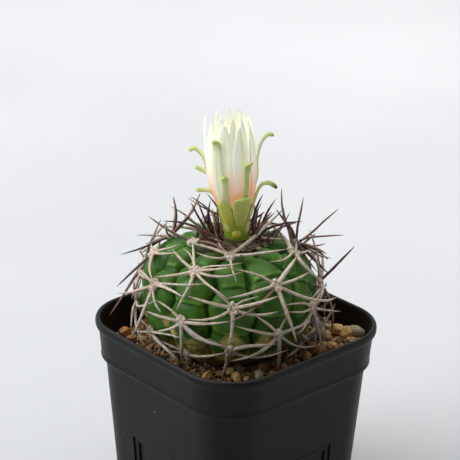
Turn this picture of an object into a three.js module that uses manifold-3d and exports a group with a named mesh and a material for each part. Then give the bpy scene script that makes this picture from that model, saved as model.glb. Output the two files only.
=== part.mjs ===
// Potted round cactus: a ribbed globe with one half-open flower, in a square nursery pot.
// Millimetres, +Z up. Origin: centre of the pot's underside. Pot sides face +-X and +-Y.
import * as THREE from 'three';
import { mergeGeometries, mergeVertices } from 'three/addons/utils/BufferGeometryUtils.js';
import Module from 'manifold-3d';

const wasm = await Module();
wasm.setup();

// ---------------------------------------------------------------- driving dimensions
const POT = {
  height: 80, rim: 90, wall: 1.2, floor: 2,
  lipDrop: 3.8, collarTop: 87.5, collarBottom: 85.2, collarZ: 64,
  stepZ: 61, bodyTop: 81.7, bodyBottom: 71.5,
  cornerAtRim: 21.5,
  slotWidth: 8, slotTop: 35, slotDepth: 0.6, slitWidth: 3, slitLow: 4, slitTop: 33, slotOffset: 12,
  drainRadius: 4.5, drainOffset: 17,
};
const SOIL = { top: 69, low: 2.4, gap: 0.4 };
const STEM = {
  centre: [-1.732, -2.199, 90.975], radius: 34.4, halfHeight: 22.4, power: 2.5,
  grooveDepth: 3.6, grooveWidth: 2.2, crownDip: 1.6, crownDipRadius: 6, columns: 55,
  neck: [[20, 69.6], [15, 66], [10, 61], [6.5, 54], [3, 46]],
};
const CLEAR = 0.32; // gap between pieces that grow out of or rest on each other
const PAD = { foot: 2.2, head: 1.7, low: 0.35, high: 1.6, long: 1.1 };
const FELT = { inner: 5.0, outer: 11.6, rise: 0.62 };
const FLOWER = {
  base: [-0.54250, 0.89200, 112.00000], axis: [-0.03164, -0.03515, 0.99888], side: [0.66828, 0.74241, 0.04729], front: [0.74324, -0.66903, -0.00000],
  tube: [[0, -3], [3.7, -3], [4.1, 0], [4.5, 4], [5.0, 8], [5.6, 12], [6.1, 16], [3.2, 16], [2.6, 13.5], [0, 13.5]],
  envelope: [[0, 4.7], [4, 5.0], [8, 5.6], [12, 6.3], [16.5, 7.2], [20.6, 8.3], [24.7, 9.1], [28.9, 9.5], [33, 9.6], [37, 9.6], [41, 9.4], [45.4, 8.9], [49.5, 8.1], [53, 6.9]],
  scaleThick: 0.55, petalThick: 0.6,
};

// Areole centres on the ribs.
const AREOLES = {
  '01': [9.72, -12.27, 112.16],
  '02': [5.8, -25.95, 108.68],
  '03': [27.84, -5.67, 104.9],
  '04': [-7.37, -34.05, 101.29],
  '05': [23.86, -23.13, 99.73],
  '06': [9.1, -34.82, 92.91],
  '07': [30.31, 10.26, 92.63],
  '08': [32.06, -8.06, 87.84],
  '09': [-8.03, -34.74, 82.44],
  '10': [23.58, -24.01, 83.19],
  '11': [16.54, 13.55, 109.11],
  '12': [7.94, -31.35, 78.14],
  '13': [-21.39, -23.07, 105.99],
  '14': [-8.35, -14.39, 112.42],
  '15': [-25.5, -26.82, 87],
  '16': [-30.07, -19.91, 98.7],
  '17': [-27.43, -9.57, 107.5],
  '18': [20.18, 23.93, 95.8],
  '19': [6.93, 24.47, 106.5],
  '20': [26.2, 10.24, 78],
  '21': [14.72, 25.2, 80],
  '22': [-2.32, 31.42, 98],
  '23': [-4.67, 31.32, 84],
  '24': [-35.53, -7.56, 87],
  '25': [-15.32, 17.94, 109],
  '26': [-20.29, 26.37, 96],
  '27': [-21.11, 24.46, 82],
  '28': [-30.41, 9.38, 103.5],
  '29': [-33.15, 11.79, 90],
  '30': [-30.46, 8.25, 78],
};
// Tubercle centres, one for each swelling of the ribs.
const TUBERCLES = [
  [22.66, -23.22, 80.42], [24.52, -23.67, 96.86], [11.96, -14.24, 111.42], [12.79, -14.12, 70.7],
  [31.64, -7.99, 84.9], [29.62, -5.88, 102.58], [20.91, -4.84, 72.21], [17.65, -4.46, 111.02],
  [7.93, -3.33, 112.99], [24.29, 9.39, 75.83], [30.32, 10.26, 89.73], [18.5, 15.24, 107.51],
  [9.72, 3.4, 112.61], [13.81, 23.68, 77.54], [20.35, 24.14, 92.83], [7.58, 26.49, 104.44],
  [7.22, 12.58, 111.68], [2.1, 4.13, 113.18], [-4.58, 30.24, 81.13], [-2.33, 32.01, 95],
  [-2.24, 16.86, 70.78], [-2.44, 24.56, 107.48], [-2.2, 15.49, 111.57], [-1.94, 5.64, 113.15],
  [-20.29, 23.33, 79.36], [-20.45, 26.62, 93.01], [-16.75, 20.06, 107.41], [-12.3, 13.33, 70.7],
  [-9, 8.48, 112.58], [-28.51, 7.54, 75.83], [-33, 11.72, 87.07], [-31.85, 9.96, 101],
  [-21.27, 6.11, 110.4], [-12.36, 2.32, 112.78], [-34.96, -7.47, 83.99], [-29.66, -10.21, 105.6],
  [-23.35, -5.89, 71.83], [-17.22, -4.85, 112.05], [-25.1, -26.4, 83.99], [-22.76, -24.52, 103.84],
  [-17.92, -17, 71.83], [-15.04, -14.37, 111.47], [-7.78, -7.72, 113.13], [-7.78, -33.43, 79.75],
  [-7.57, -35.17, 98.48], [-9.73, -16.93, 111.81], [-6.55, -20.36, 70.7], [7.28, -29.35, 75.93],
  [9.11, -34.84, 89.95], [6.55, -28.32, 107.01], [2.44, -15.13, 112.47],
];
// Spines: [areole, base radius, four points from base to tip].
const SPINES = [
  ['01', 0.62, [9.75, -11.77, 113.13], [7.52, 2.01, 115.95], [1.62, 13.68, 116.02], [-3.44, 28.12, 117.93]],
  ['01', 0.55, [10.25, -12.21, 113], [15.38, -7.24, 114.06], [19.08, -1, 114.56], [21.23, 6.05, 114.55]],
  ['01', 0.50, [10.15, -12.99, 112.9], [9.63, -17.29, 112.97], [6.66, -20.76, 113.93], [2.34, -22.68, 114.77]],
  ['01', 0.55, [9.24, -12.37, 113.13], [4.82, -14.37, 114.28], [0.59, -17.59, 115.35], [-4.04, -20.18, 115.82]],
  ['01', 0.40, [10.41, -12.78, 112.89], [14.59, -15.83, 111.91], [18.38, -18.37, 110.92], [22.57, -20.43, 109.14]],
  ['01', 0.40, [9.33, -12.27, 113.13], [6.79, -12.32, 113.99], [4.36, -12.42, 115.32], [1.82, -11.35, 116.16]],
  ['14', 0.50, [-8.07, -14.64, 113.32], [-16.39, -15.29, 113.42], [-25.53, -13.6, 112.87], [-35.23, -15.04, 115.53]],
  ['14', 0.40, [-8.33, -13.85, 113.42], [-3.61, -12.7, 114.6], [4.04, -13.62, 115.41], [11.01, -14.46, 115.6]],
  ['02', 0.42, [5.41, -26.01, 109.73], [1.05, -22.68, 112.47], [-3.29, -19.26, 114.88], [-8.18, -15.66, 116.1]],
  ['02', 0.50, [5.25, -26.37, 109.57], [0.68, -26.42, 110.75], [-3.65, -26.51, 112.51], [-8.21, -25.52, 113.51]],
  ['02', 0.36, [5.39, -26.03, 109.72], [2.51, -24.2, 111.25], [-1.19, -22.68, 113.05], [-5.18, -22.65, 114.08]],
  ['02', 0.55, [5.58, -26.86, 109.24], [2.73, -30.83, 108.28], [-0.77, -34.02, 107.45], [-5.15, -36.27, 106.09]],
  ['02', 0.36, [5.82, -25.77, 109.79], [9.24, -22.36, 111.64], [15.61, -19.32, 112.71], [19.5, -14.08, 114.11]],
  ['02', 0.50, [6.45, -25.92, 109.61], [10.24, -23.67, 110.62], [14.17, -21.72, 111.8], [17.61, -18.79, 112.79]],
  ['02', 0.52, [6.62, -26.28, 109.39], [12.89, -24.84, 109.61], [18.69, -21.96, 110.45], [22.24, -17, 112.06]],
  ['02', 0.45, [6.58, -26.52, 109.25], [12.77, -27.54, 107.66], [19.6, -27.89, 107.03], [24.75, -25.96, 104.32]],
  ['02', 0.50, [6.3, -26.85, 109.11], [9.03, -31.16, 106.35], [9.24, -34.91, 102.73], [9.5, -38.34, 98.08]],
  ['03', 0.72, [28.26, -5.16, 105.81], [27.34, -0.69, 108.47], [25.86, 4.24, 110.31], [23.57, 9.12, 111.61]],
  ['03', 0.55, [28.54, -5.05, 105.54], [29.86, 0.02, 105.91], [29.89, 5.18, 106.33], [29.37, 10.53, 106.62]],
  ['03', 0.55, [28.93, -5.45, 105.05], [34.74, 3.56, 99.81], [33.34, 15.3, 94.99], [28.12, 26.84, 90.99]],
  ['03', 0.66, [28.94, -5.82, 104.98], [34.1, -6.77, 98.98], [35.95, -4.49, 91.3], [36.93, -2.48, 83.77]],
  ['03', 0.50, [28.71, -6.32, 105.18], [30.18, -13.83, 102.39], [29.53, -21.1, 99.32], [27.3, -28.54, 96.53]],
  ['03', 0.55, [28.32, -6.41, 105.6], [27.94, -13.4, 105.7], [26.89, -20.37, 105.35], [24.27, -26.99, 105.06]],
  ['03', 0.50, [28.03, -6.05, 105.93], [25.08, -9.52, 108.82], [22.65, -14.1, 111.05], [19.34, -18.36, 112.66]],
  ['05', 0.62, [24.01, -24.09, 100.3], [20.61, -28.37, 101.62], [16.74, -32.21, 103.08], [12.12, -35.31, 104.19]],
  ['05', 0.36, [24.64, -23.17, 100.53], [25.6, -20.78, 102.44], [28.1, -18.57, 103.56], [29.96, -15.89, 104.58]],
  ['05', 0.60, [24.79, -23.23, 100.18], [28.88, -19.47, 101.81], [31.9, -14.78, 103.1], [33.58, -9.24, 104.09]],
  ['05', 0.55, [24.97, -23.3, 99.68], [28.96, -19.83, 98.23], [32.66, -15.58, 98.19], [35.25, -10.62, 98.83]],
  ['05', 0.50, [24.31, -24.14, 99.6], [22, -28.9, 97.29], [18.58, -33.62, 96.31], [14.03, -37.36, 96.18]],
  ['05', 0.60, [24.67, -23.8, 99.4], [26.1, -25.2, 95.32], [26.57, -26.3, 90.9], [26.83, -27.2, 86.38]],
  ['05', 0.38, [24.1, -23.76, 100.62], [22.28, -24.64, 102.93], [19.61, -25.84, 104.15], [19.02, -28.87, 107.01]],
  ['04', 0.50, [-8.17, -34.65, 101.81], [-12.21, -33.75, 102.8], [-14.44, -34.98, 104.9], [-20.62, -31.91, 103.21]],
  ['04', 0.50, [-8, -34.97, 101.23], [-14.33, -36.15, 97.88], [-21.75, -35.27, 93.46], [-28.29, -36.15, 91.06]],
  ['04', 0.55, [-7.52, -35.13, 101.07], [-6.9, -39.97, 93.65], [-12.15, -38.93, 84.46], [-17.19, -38.05, 76.41]],
  ['04', 0.42, [-7.34, -35.15, 101.1], [-5.25, -36.99, 98.42], [-2.06, -38.25, 96.34], [2.43, -39.65, 95.28]],
  ['04', 0.42, [-7.14, -34.58, 102.24], [0.15, -34.48, 104.73], [8.2, -33.38, 106.66], [15.79, -29.82, 108.7]],
  ['04', 0.58, [-6.84, -34.83, 101.92], [-0.69, -35.45, 103.42], [4.83, -35.7, 103.44], [10.86, -35.69, 103.25]],
  ['06', 0.45, [9.15, -35.71, 93.43], [6.63, -37.12, 96.24], [3.29, -38.54, 98.01], [-0.55, -39.6, 99.31]],
  ['06', 0.55, [8.89, -35.83, 92.79], [4.44, -38.08, 93.11], [-0.36, -39.59, 93.16], [-5.58, -40.29, 93.17]],
  ['06', 0.50, [9, -35.81, 92.38], [6.7, -37.08, 89.95], [3.66, -38.75, 88.33], [0.25, -39.78, 86.89]],
  ['06', 0.64, [9.44, -35.68, 92.25], [10.4, -36.26, 87.03], [10.19, -36.2, 81.46], [8.61, -34.82, 76.22]],
  ['06', 0.60, [10.03, -35.44, 92.88], [16.19, -33.74, 94.03], [22.02, -31.14, 95.35], [27.01, -27.33, 96.88]],
  ['06', 0.60, [9.84, -35.53, 92.44], [15.65, -34.43, 89.55], [22.23, -32.56, 88.19], [27.08, -28.17, 86.78]],
  ['06', 0.45, [9.52, -35.64, 92.26], [13.01, -34.81, 87.9], [20.58, -32.27, 87.47], [27.02, -28.11, 86.33]],
  ['09', 0.50, [-8.47, -35.62, 82.41], [-8.96, -36.7, 84.34], [-10.11, -37.49, 85.62], [-12.02, -37.98, 86.77]],
  ['09', 0.50, [-8.7, -35.27, 81.75], [-9.2, -34.99, 80.49], [-14.67, -33.63, 78.86], [-17.77, -36.36, 79.06]],
  ['09', 0.50, [-7.54, -35.75, 82.3], [-0.61, -38, 85.03], [4.85, -38.06, 86.73], [11.58, -37.64, 87.59]],
  ['09', 0.45, [-8.56, -35.26, 81.61], [-8.34, -35.41, 80.78], [-10.89, -33.54, 77.47], [-10.12, -34.45, 75.4]],
  ['09', 0.66, [-8.05, -35.31, 81.49], [-3.36, -36.51, 80.23], [1.87, -36.3, 78.93], [7.16, -35.31, 76.02]],
  ['12', 0.55, [8.72, -31.9, 77.67], [14.82, -31.59, 79.28], [20.64, -30.45, 81.52], [25.94, -28.09, 84.07]],
  ['12', 0.50, [7.82, -31.65, 77.1], [8.37, -31.66, 76.4], [5.35, -29.04, 73.15], [6.18, -29.77, 70.98]],
  ['12', 0.50, [8.44, -32.33, 78.13], [8.62, -34.62, 80.53], [5.5, -37.18, 81.56], [2.44, -39.17, 83.16]],
  ['12', 0.42, [8.3, -32.24, 77.91], [7.91, -33.71, 78.79], [6.28, -35.58, 79.05], [4.59, -37.07, 79.57]],
  ['10', 0.72, [24.64, -24.28, 83.38], [29.06, -21.38, 85.67], [32.69, -16.7, 85.81], [35.58, -11.49, 85.93]],
  ['10', 0.50, [24.32, -24.14, 82.36], [28.43, -19.08, 80], [33.24, -13.25, 80.84], [36.44, -6.57, 82.2]],
  ['10', 0.70, [24.04, -24.38, 82.26], [23.3, -24.2, 78.07], [19.37, -22.29, 74.38], [19.43, -23.39, 71.48]],
  ['10', 0.40, [23.83, -24.7, 82.35], [23.27, -25.21, 81.33], [23.26, -25.56, 79.79], [23.09, -25.96, 78.34]],
  ['10', 0.45, [23.94, -25.01, 83.2], [22.85, -27.67, 85.32], [21.57, -29.94, 87.28], [19.59, -32.33, 89.03]],
  ['08', 0.42, [33.01, -8.07, 88.44], [33.52, -7.7, 91.02], [34.54, -7.16, 93.29], [35.53, -6.7, 95.88]],
  ['08', 0.45, [32.9, -8.63, 88.32], [32.7, -12.2, 92.38], [32.34, -16, 95.65], [31.11, -19.76, 99.08]],
  ['08', 0.55, [32.83, -8.88, 87.92], [32.1, -15.28, 90.26], [30.72, -20.82, 92.8], [28.17, -26.36, 95.18]],
  ['08', 0.62, [32.83, -8.46, 87.12], [31.97, -13.76, 83.38], [29.87, -20.33, 81.33], [26.58, -26.61, 80.13]],
  ['08', 0.68, [32.89, -8.08, 87.09], [32.88, -7.74, 81.01], [31.66, -6.51, 75.16], [30.12, -5.1, 71.01]],
  ['08', 0.55, [33.06, -7.55, 87.95], [34.88, -3.46, 88.79], [37.88, -0.48, 90.48], [35.67, 6.27, 89.89]],
  ['08', 0.50, [32.93, -7.86, 87.17], [33.36, -1.4, 81.8], [30.96, 6.89, 76.91], [32.05, 14.58, 75.63]],
  ['07', 0.42, [31.31, 10.06, 93.08], [33.19, 4.44, 97.05], [34.09, -0.87, 98.52], [34.66, -7.07, 100.18]],
  ['07', 0.42, [31.39, 9.93, 92.64], [33.52, 4.27, 93.46], [34.75, -0.63, 95.59], [35.68, -6.36, 97.47]],
  ['07', 0.42, [30.88, 11.21, 92.69], [30.82, 12.24, 93.1], [31.04, 13.72, 93.88], [30.98, 15.31, 94.19]],
  ['07', 0.50, [30.95, 11.09, 92.22], [29.93, 14.8, 89.16], [25.44, 22.19, 85.58], [30.47, 27.03, 85.6]],
  ['07', 0.62, [30.99, 11, 92.12], [30.8, 13.57, 87.23], [28.49, 16.56, 79.29], [33.79, 14.66, 73.48]],
  ['07', 0.50, [31.22, 10.45, 91.97], [32.84, 7.47, 89.25], [33.04, 3.94, 88.09], [34.84, -2.06, 89.22]],
  ['07', 0.40, [31.14, 10.66, 91.96], [31.73, 9.87, 87.83], [34.3, 4.78, 86.92], [35.85, -0.54, 86.7]],
  ['07', 0.45, [30.93, 11.05, 92.2], [30.47, 12.91, 89.77], [27.99, 18.5, 84.28], [31.24, 22.16, 81.63]],
  ['07', 0.45, [30.89, 11.2, 92.84], [29.46, 15.41, 95.1], [26.84, 20.65, 95.83], [25.14, 24.35, 96.25]],
  ['18', 0.52, [21.16, 25.01, 96.41], [23.22, 28.89, 100.5], [24.66, 33.18, 104.72], [26.49, 37.25, 108.92]],
  ['18', 0.40, [21.29, 24.16, 95.87], [27.37, 18.14, 97.63], [28.69, 14.82, 99.93], [30.99, 9.64, 102.92]],
  ['18', 0.42, [21.3, 24.34, 95.58], [25.28, 20.77, 95.53], [29.81, 14.13, 97.75], [33.3, 8.05, 97.62]],
  ['18', 0.40, [21.31, 24.5, 95.51], [27.43, 21.24, 94.77], [31.93, 14.79, 96.43], [32.83, 11.89, 95.05]],
  ['18', 0.45, [21.35, 24.56, 95.54], [24.12, 23.83, 91.75], [25.92, 22.25, 87.77], [29.56, 18.99, 85.41]],
  ['18', 0.50, [21.35, 24.59, 95.54], [26.06, 24.31, 90.71], [29.27, 23.77, 84.77], [31.82, 21.05, 78.83]],
  ['11', 0.72, [16.69, 13.2, 110.17], [14.98, 12.64, 112.24], [7.92, 19.08, 112.49], [8.21, 14.1, 115.06]],
  ['11', 0.60, [16.22, 14.05, 110.08], [10.07, 18.82, 111.35], [1.72, 25.84, 110.9], [-3.5, 26.64, 115.53]],
  ['11', 0.45, [16.7, 14.05, 109.89], [15.6, 16.06, 110.07], [14.2, 18.15, 110.61], [12.41, 18.63, 111.84]],
  ['11', 0.50, [17.5, 13.79, 109.65], [20.87, 13.55, 108.84], [20.09, 18.09, 108.58], [17.49, 21.36, 108.64]],
  ['11', 0.66, [17.48, 13.59, 109.72], [23.81, 10.43, 108.94], [27.16, 12.15, 105.83], [30.12, 15.25, 101.81]],
  ['11', 0.40, [17.19, 13.21, 109.98], [20.61, 6.96, 110.7], [22.55, 1.4, 111.46], [22.68, -4.94, 112.82]],
  ['13', 0.50, [-21.27, -23.32, 107.07], [-16, -23.65, 110.2], [-12.12, -23.61, 111.71], [-8.12, -21.14, 114.53]],
  ['13', 0.50, [-21.18, -23.68, 106.91], [-15.02, -25.84, 109.36], [-10.39, -26, 110.86], [-4.92, -25.28, 113.02]],
  ['13', 0.40, [-22.38, -23.15, 106.5], [-24.3, -22.57, 105.98], [-28.42, -19.21, 104.6], [-30.38, -17.51, 107.66]],
  ['13', 0.50, [-21.59, -24.1, 106.37], [-23.64, -27.84, 102.6], [-29.3, -29.86, 98.06], [-28.89, -35.89, 93.52]],
  ['13', 0.48, [-21.29, -23.97, 106.66], [-16.48, -29.09, 106.35], [-11.72, -33.67, 105.33], [-5.77, -36.7, 104.37]],
  ['17', 0.45, [-27.71, -10.37, 108.22], [-22.21, -20.97, 109.28], [-29.98, -22.13, 104.11], [-33.04, -30.77, 104.11]],
  ['17', 0.42, [-28.14, -10.35, 108.03], [-28.97, -13.54, 106.95], [-30.2, -16.59, 106.47], [-31.05, -20.01, 106.44]],
  ['17', 0.42, [-28.35, -10.18, 108.18], [-30.5, -13.8, 108.44], [-32.12, -17.78, 109.28], [-33.76, -21.75, 109.8]],
  ['15', 0.50, [-25.86, -28.13, 86.96], [-24.34, -32.04, 88.42], [-24.44, -31.93, 94.16], [-19.92, -34.46, 98.77]],
  ['15', 0.52, [-25.73, -28, 87.13], [-21.75, -32.21, 90.21], [-17.51, -34.61, 96.16], [-13.73, -35.55, 103.32]],
  ['15', 0.45, [-25.65, -27.98, 86.92], [-15.77, -36.22, 89.92], [-10.65, -36.61, 92.66], [-0.86, -39.35, 98.9]],
  ['15', 0.48, [-25.79, -28.08, 86.77], [-23.28, -32.17, 86.01], [-21.2, -34.46, 82.76], [-19.21, -36.65, 79.04]],
  ['15', 0.50, [-25.75, -28.05, 86.76], [-21.88, -33.33, 84.65], [-18.22, -35.39, 78.74], [-12.07, -36.08, 74.73]],
  ['16', 0.45, [-30.42, -20.95, 98.95], [-21.93, -30.5, 100.68], [-15.38, -34.08, 102.6], [-4.45, -38.79, 105.47]],
  ['16', 0.50, [-30.47, -20.98, 98.91], [-26.49, -28.56, 97.23], [-26.76, -34.35, 89.98], [-27.49, -40.54, 83.35]],
  ['19', 0.45, [7.64, 25.38, 106.91], [10.74, 26.97, 105.45], [14.45, 27.86, 104.66], [18.04, 28.57, 103.46]],
  ['19', 0.45, [7.7, 25.24, 106.89], [13.68, 25.76, 104.85], [19.14, 23.76, 104.38], [21.34, 27.16, 99.51]],
  ['19', 0.50, [7.77, 24.81, 107.14], [17.35, 19.81, 108], [22.27, 21.72, 103.83], [23.36, 27.38, 98.44]],
  ['19', 0.42, [7.73, 24.71, 107.2], [16.62, 18.82, 108.71], [21.57, 16.95, 106.83], [27.59, 16.57, 103.86]],
  ['19', 0.40, [7.32, 25.41, 106.86], [10.17, 27.3, 106.36], [13.53, 29.2, 106.98], [16.45, 31.51, 108.22]],
  ['19', 0.45, [7.18, 25.53, 107.08], [9.11, 30.61, 110.15], [11.96, 34.83, 115.88], [15.16, 39.22, 120.44]],
  ['19', 0.42, [6.95, 24.5, 107.62], [9.12, 26.24, 109.52], [14.99, 32.73, 110.33], [21.43, 36.7, 112.02]],
  ['crown', 0.50, [-9.31, -5.6, 113.42], [-14.64, -8.4, 115.79], [-19.94, -11.93, 117.01], [-25, -15.95, 116.94]],
  ['17', 0.50, [-27.48, -9.42, 108.48], [-23.58, -4.15, 113.65], [-27.08, -3.68, 117.73], [-33.16, -4.11, 121.34]],
  ['17', 0.42, [-27.52, -9.35, 108.44], [-20.83, -3.38, 113.41], [-20.55, 1.38, 117.74], [-24.32, 2.17, 124.13]],
  ['crown', 0.45, [-7.88, -4.31, 113.54], [-9.88, -4.44, 117.72], [-11.84, -4.54, 121.91], [-12.33, -2.9, 126.22]],
  ['25', 0.42, [-15.64, 17.72, 109.93], [-18.01, 9.13, 114.21], [-22.95, 3.91, 117.53], [-31.1, 1.32, 120.39]],
  ['crown', 0.42, [-9.31, 0.51, 113.44], [-14.85, 1.86, 117.66], [-21.09, 0.94, 120.25], [-27.82, 0.04, 122.36]],
  ['crown', 0.42, [-9.24, -1.08, 113.47], [-10.98, -0.01, 116.52], [-12.68, 1.09, 119.57], [-14.36, 2.23, 122.62]],
  ['crown', 0.45, [-6.56, -4.46, 113.59], [-7.14, -4.87, 117.37], [-7.7, -5.28, 121.15], [-8.25, -5.69, 124.93]],
  ['28', 0.40, [-30.71, 9.34, 104.38], [-28.69, 4.7, 112.56], [-32.46, 2.43, 114.12], [-40.52, 0.52, 114.06]],
  ['17', 0.36, [-27.4, -9.81, 108.47], [-24.61, -8.05, 114.67], [-26.74, -5.68, 118.79], [-34.24, -2.69, 121.49]],
  ['17', 0.42, [-27.4, -9.68, 108.48], [-21.73, -6.94, 114.11], [-24.3, -1.67, 118.72], [-26.69, 4.73, 122.77]],
  ['crown', 0.52, [3.96, 5.42, 113.33], [1.8, 6, 118.75], [1.9, 8.02, 124.44], [2.34, 10.75, 129.74]],
  ['crown', 0.42, [-2.77, 10.18, 112.96], [-4.13, 13.6, 119.27], [-1.53, 19.54, 119.67], [1.13, 21.29, 113.76]],
  ['crown', 0.50, [0.75, 9.57, 113.02], [1.47, 16.16, 115.19], [5.9, 20.23, 117.52], [9.08, 25.91, 116.56]],
  ['19', 0.50, [6.79, 24.59, 107.44], [-0.6, 19.49, 113.48], [-4.04, 20.06, 119.81], [-5.17, 27.56, 125.91]],
  ['crown', 0.42, [0.6, 9.19, 113.07], [-0.05, 10.54, 115.5], [-0.52, 12.03, 117.86], [-0.82, 13.68, 120.16]],
  ['crown', 0.42, [1.85, 6.83, 113.3], [0.21, 8.94, 116.26], [-1.37, 11.14, 119.18], [-2.88, 13.43, 122.08]],
  ['crown', 0.42, [2.88, 6.29, 113.32], [3.26, 4.96, 116.48], [2.56, 5.66, 118.56], [1.83, 5.68, 121.38]],
  ['19', 0.45, [7.13, 24.5, 107.48], [6.26, 25.68, 113.88], [4.5, 29.26, 118.36], [1.71, 32.98, 122.67]],
  ['crown', 0.42, [-5.64, -2.98, 113.64], [-8.45, -0.75, 115.36], [-11.17, 1.52, 117.17], [-13.79, 3.85, 119.05]],
  ['crown', 0.40, [-6.78, 2.3, 113.53], [-9.42, 4.49, 114.83], [-13.4, 7.35, 115.14], [-17.08, 9.41, 115.72]],
  ['crown', 0.42, [-3.24, 6.69, 113.37], [-6.12, 10.15, 115.02], [-9, 13.69, 116.51], [-11.89, 17.29, 117.84]],
  ['crown', 0.45, [-6.44, -7.1, 113.52], [-0.64, -8.81, 114.87], [2.19, -7.75, 114.2], [5.32, -6.86, 113.88]],
  ['crown', 0.45, [-6.35, -5.66, 113.57], [0.12, -6.24, 115.12], [3.25, -3.8, 114.27], [6.78, -1.58, 114.03]],
  ['crown', 0.45, [3.81, 6.26, 113.25], [5.82, 0.15, 114.79], [4.55, -3.11, 114.22], [3.13, -6.43, 114.38]],
  ['crown', 0.42, [4.75, 8.51, 112.95], [9.31, 8.1, 114.2], [10.48, 10.75, 113.27], [13.1, 12.15, 114.29]],
  ['15', 0.55, [-26.51, -27.21, 87.27], [-29.87, -25.24, 90.38], [-32.99, -22.46, 93.85], [-35.41, -19.37, 97.23]],
  ['15', 0.44, [-26.56, -27.08, 86.76], [-30.46, -24.09, 85.55], [-34.1, -20.09, 84.34], [-37.05, -15.88, 83.33]],
  ['15', 0.50, [-26.38, -27.2, 86.42], [-29.29, -24.12, 80.73], [-31.01, -19.77, 75.61], [-32.5, -15.68, 71.71]],
  ['16', 0.45, [-30.68, -20.28, 99.56], [-29.59, -19.49, 106.14], [-27.19, -17.85, 112.01], [-25.31, -16.55, 118.07]],
  ['16', 0.60, [-30.98, -19.94, 99.36], [-33.42, -15.78, 104.07], [-34.47, -10.36, 107.94], [-34.91, -5.03, 110.84]],
  ['16', 0.54, [-31.15, -19.88, 99], [-35.52, -14.3, 99.28], [-38.94, -7.71, 99.12], [-41.09, -1.36, 98.68]],
  ['16', 0.47, [-31.16, -20.15, 98.55], [-35.15, -18.56, 94.55], [-38.52, -16.12, 89.98], [-41.46, -13.55, 85.35]],
  ['16', 0.52, [-30.49, -20.86, 99.12], [-28.08, -27.36, 101.67], [-23.03, -32.28, 102.67], [-17.55, -35.7, 102.84]],
  ['17', 0.45, [-27.53, -10.09, 108.49], [-25.19, -13.06, 110.22], [-22.63, -16.43, 114.3], [-19.52, -19, 118.2]],
  ['17', 0.43, [-28.13, -10.25, 108.05], [-29.99, -14.17, 107.14], [-31.49, -18.48, 105.19], [-32.37, -22.4, 102.84]],
  ['17', 0.57, [-28.36, -10.02, 107.95], [-31.61, -12.27, 105.65], [-34.8, -14.71, 102.28], [-37.33, -16.99, 99.36]],
  ['17', 0.52, [-27.54, -9.45, 108.61], [-25.51, -7.9, 112.3], [-22.61, -5.92, 116.23], [-19.61, -3.89, 120.79]],
  ['17', 0.55, [-28.13, -9.15, 108.27], [-29.97, -5.56, 109.24], [-31.78, -1.18, 109.81], [-33.44, 3.31, 110.07]],
  ['18', 0.46, [20.75, 24.56, 96.54], [20.46, 23.71, 101.9], [19.36, 22.06, 106.91], [18.1, 20.28, 110.38]],
  ['18', 0.45, [20.5, 24.78, 96.46], [17.74, 26.78, 102.55], [13.83, 27.55, 108.21], [10.19, 28.45, 113.22]],
  ['18', 0.55, [20.33, 25.01, 96.07], [17.31, 29.42, 97.48], [13, 33.45, 98.87], [8.49, 37.43, 100.33]],
  ['18', 0.46, [20.36, 25.04, 95.8], [17.43, 28.63, 94.71], [13.57, 31.96, 93.37], [9.54, 34.63, 92.05]],
  ['19', 0.53, [6.92, 24.63, 107.61], [6.22, 23.44, 112.76], [4.11, 20.29, 116.76], [2.91, 17.08, 122.18]],
  ['19', 0.64, [7.3, 25.47, 106.85], [9.05, 29.77, 105.08], [10.81, 33.95, 101.84], [12.35, 37.4, 98.26]],
  ['19', 0.58, [7.52, 24.66, 107.44], [10.63, 22.06, 109.71], [14.13, 18.87, 112.03], [17.25, 15.19, 113.24]],
  ['19', 0.61, [7.71, 24.99, 107.13], [12.05, 25.68, 107.76], [17.16, 26.01, 107.75], [22.4, 26.15, 107.37]],
  ['20', 0.57, [27.07, 10.93, 77.82], [30.7, 15.45, 81.39], [31.38, 18.98, 86.51], [31.99, 22.11, 91.03]],
  ['20', 0.56, [26.62, 11.09, 77.39], [24.12, 17.45, 76.94], [20.54, 23.66, 77.34], [16.63, 28.82, 78.29]],
  ['20', 0.62, [26.5, 10.97, 77.21], [23.89, 15.55, 74.22], [20.2, 20.36, 73.06], [16.39, 25.17, 71.01]],
  ['20', 0.46, [26.5, 10.46, 76.94], [26.12, 10.67, 74.69], [25.03, 10.68, 75.64], [23.98, 10.59, 71.22]],
  ['20', 0.50, [27.11, 9.99, 77.4], [29.62, 5.68, 76.92], [31.78, 0.58, 76.96], [33.38, -4.46, 77.41]],
  ['20', 0.46, [27.27, 10.2, 77.69], [32.32, 6.6, 80.68], [35.98, 2.29, 84.6], [38.38, -1.77, 88.11]],
  ['21', 0.47, [15.34, 26.14, 80.03], [16.99, 28.24, 84.18], [18.1, 29.41, 88.91], [18.86, 30.07, 93.3]],
  ['21', 0.56, [14.93, 26.3, 79.91], [13.48, 30.16, 82.94], [11.27, 33.5, 86.64], [8.97, 36.01, 90.2]],
  ['21', 0.45, [14.65, 26.23, 79.57], [9.85, 30.25, 79.7], [4.14, 33.6, 80.5], [-1.45, 35.95, 81.58]],
  ['21', 0.45, [14.61, 26.1, 79.34], [9.82, 28.13, 77.38], [4.25, 29.8, 75.72], [-1.16, 31.1, 74.57]],
  ['21', 0.62, [14.72, 25.87, 79.1], [12.86, 26.72, 75.68], [10.16, 27.01, 74.28], [7.35, 27.24, 71.03]],
  ['21', 0.57, [14.98, 25.64, 79], [14.61, 25.06, 76.09], [13.78, 23.74, 73.26], [12.86, 22.26, 71.03]],
  ['21', 0.60, [15.5, 25.5, 79.25], [18.13, 24.45, 76.71], [21.01, 22.47, 73.84], [23.97, 20.33, 71.02]],
  ['21', 0.48, [15.67, 25.61, 79.55], [22.1, 23.32, 79.24], [28.48, 19.76, 79.65], [34.12, 15.83, 80.41]],
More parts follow.
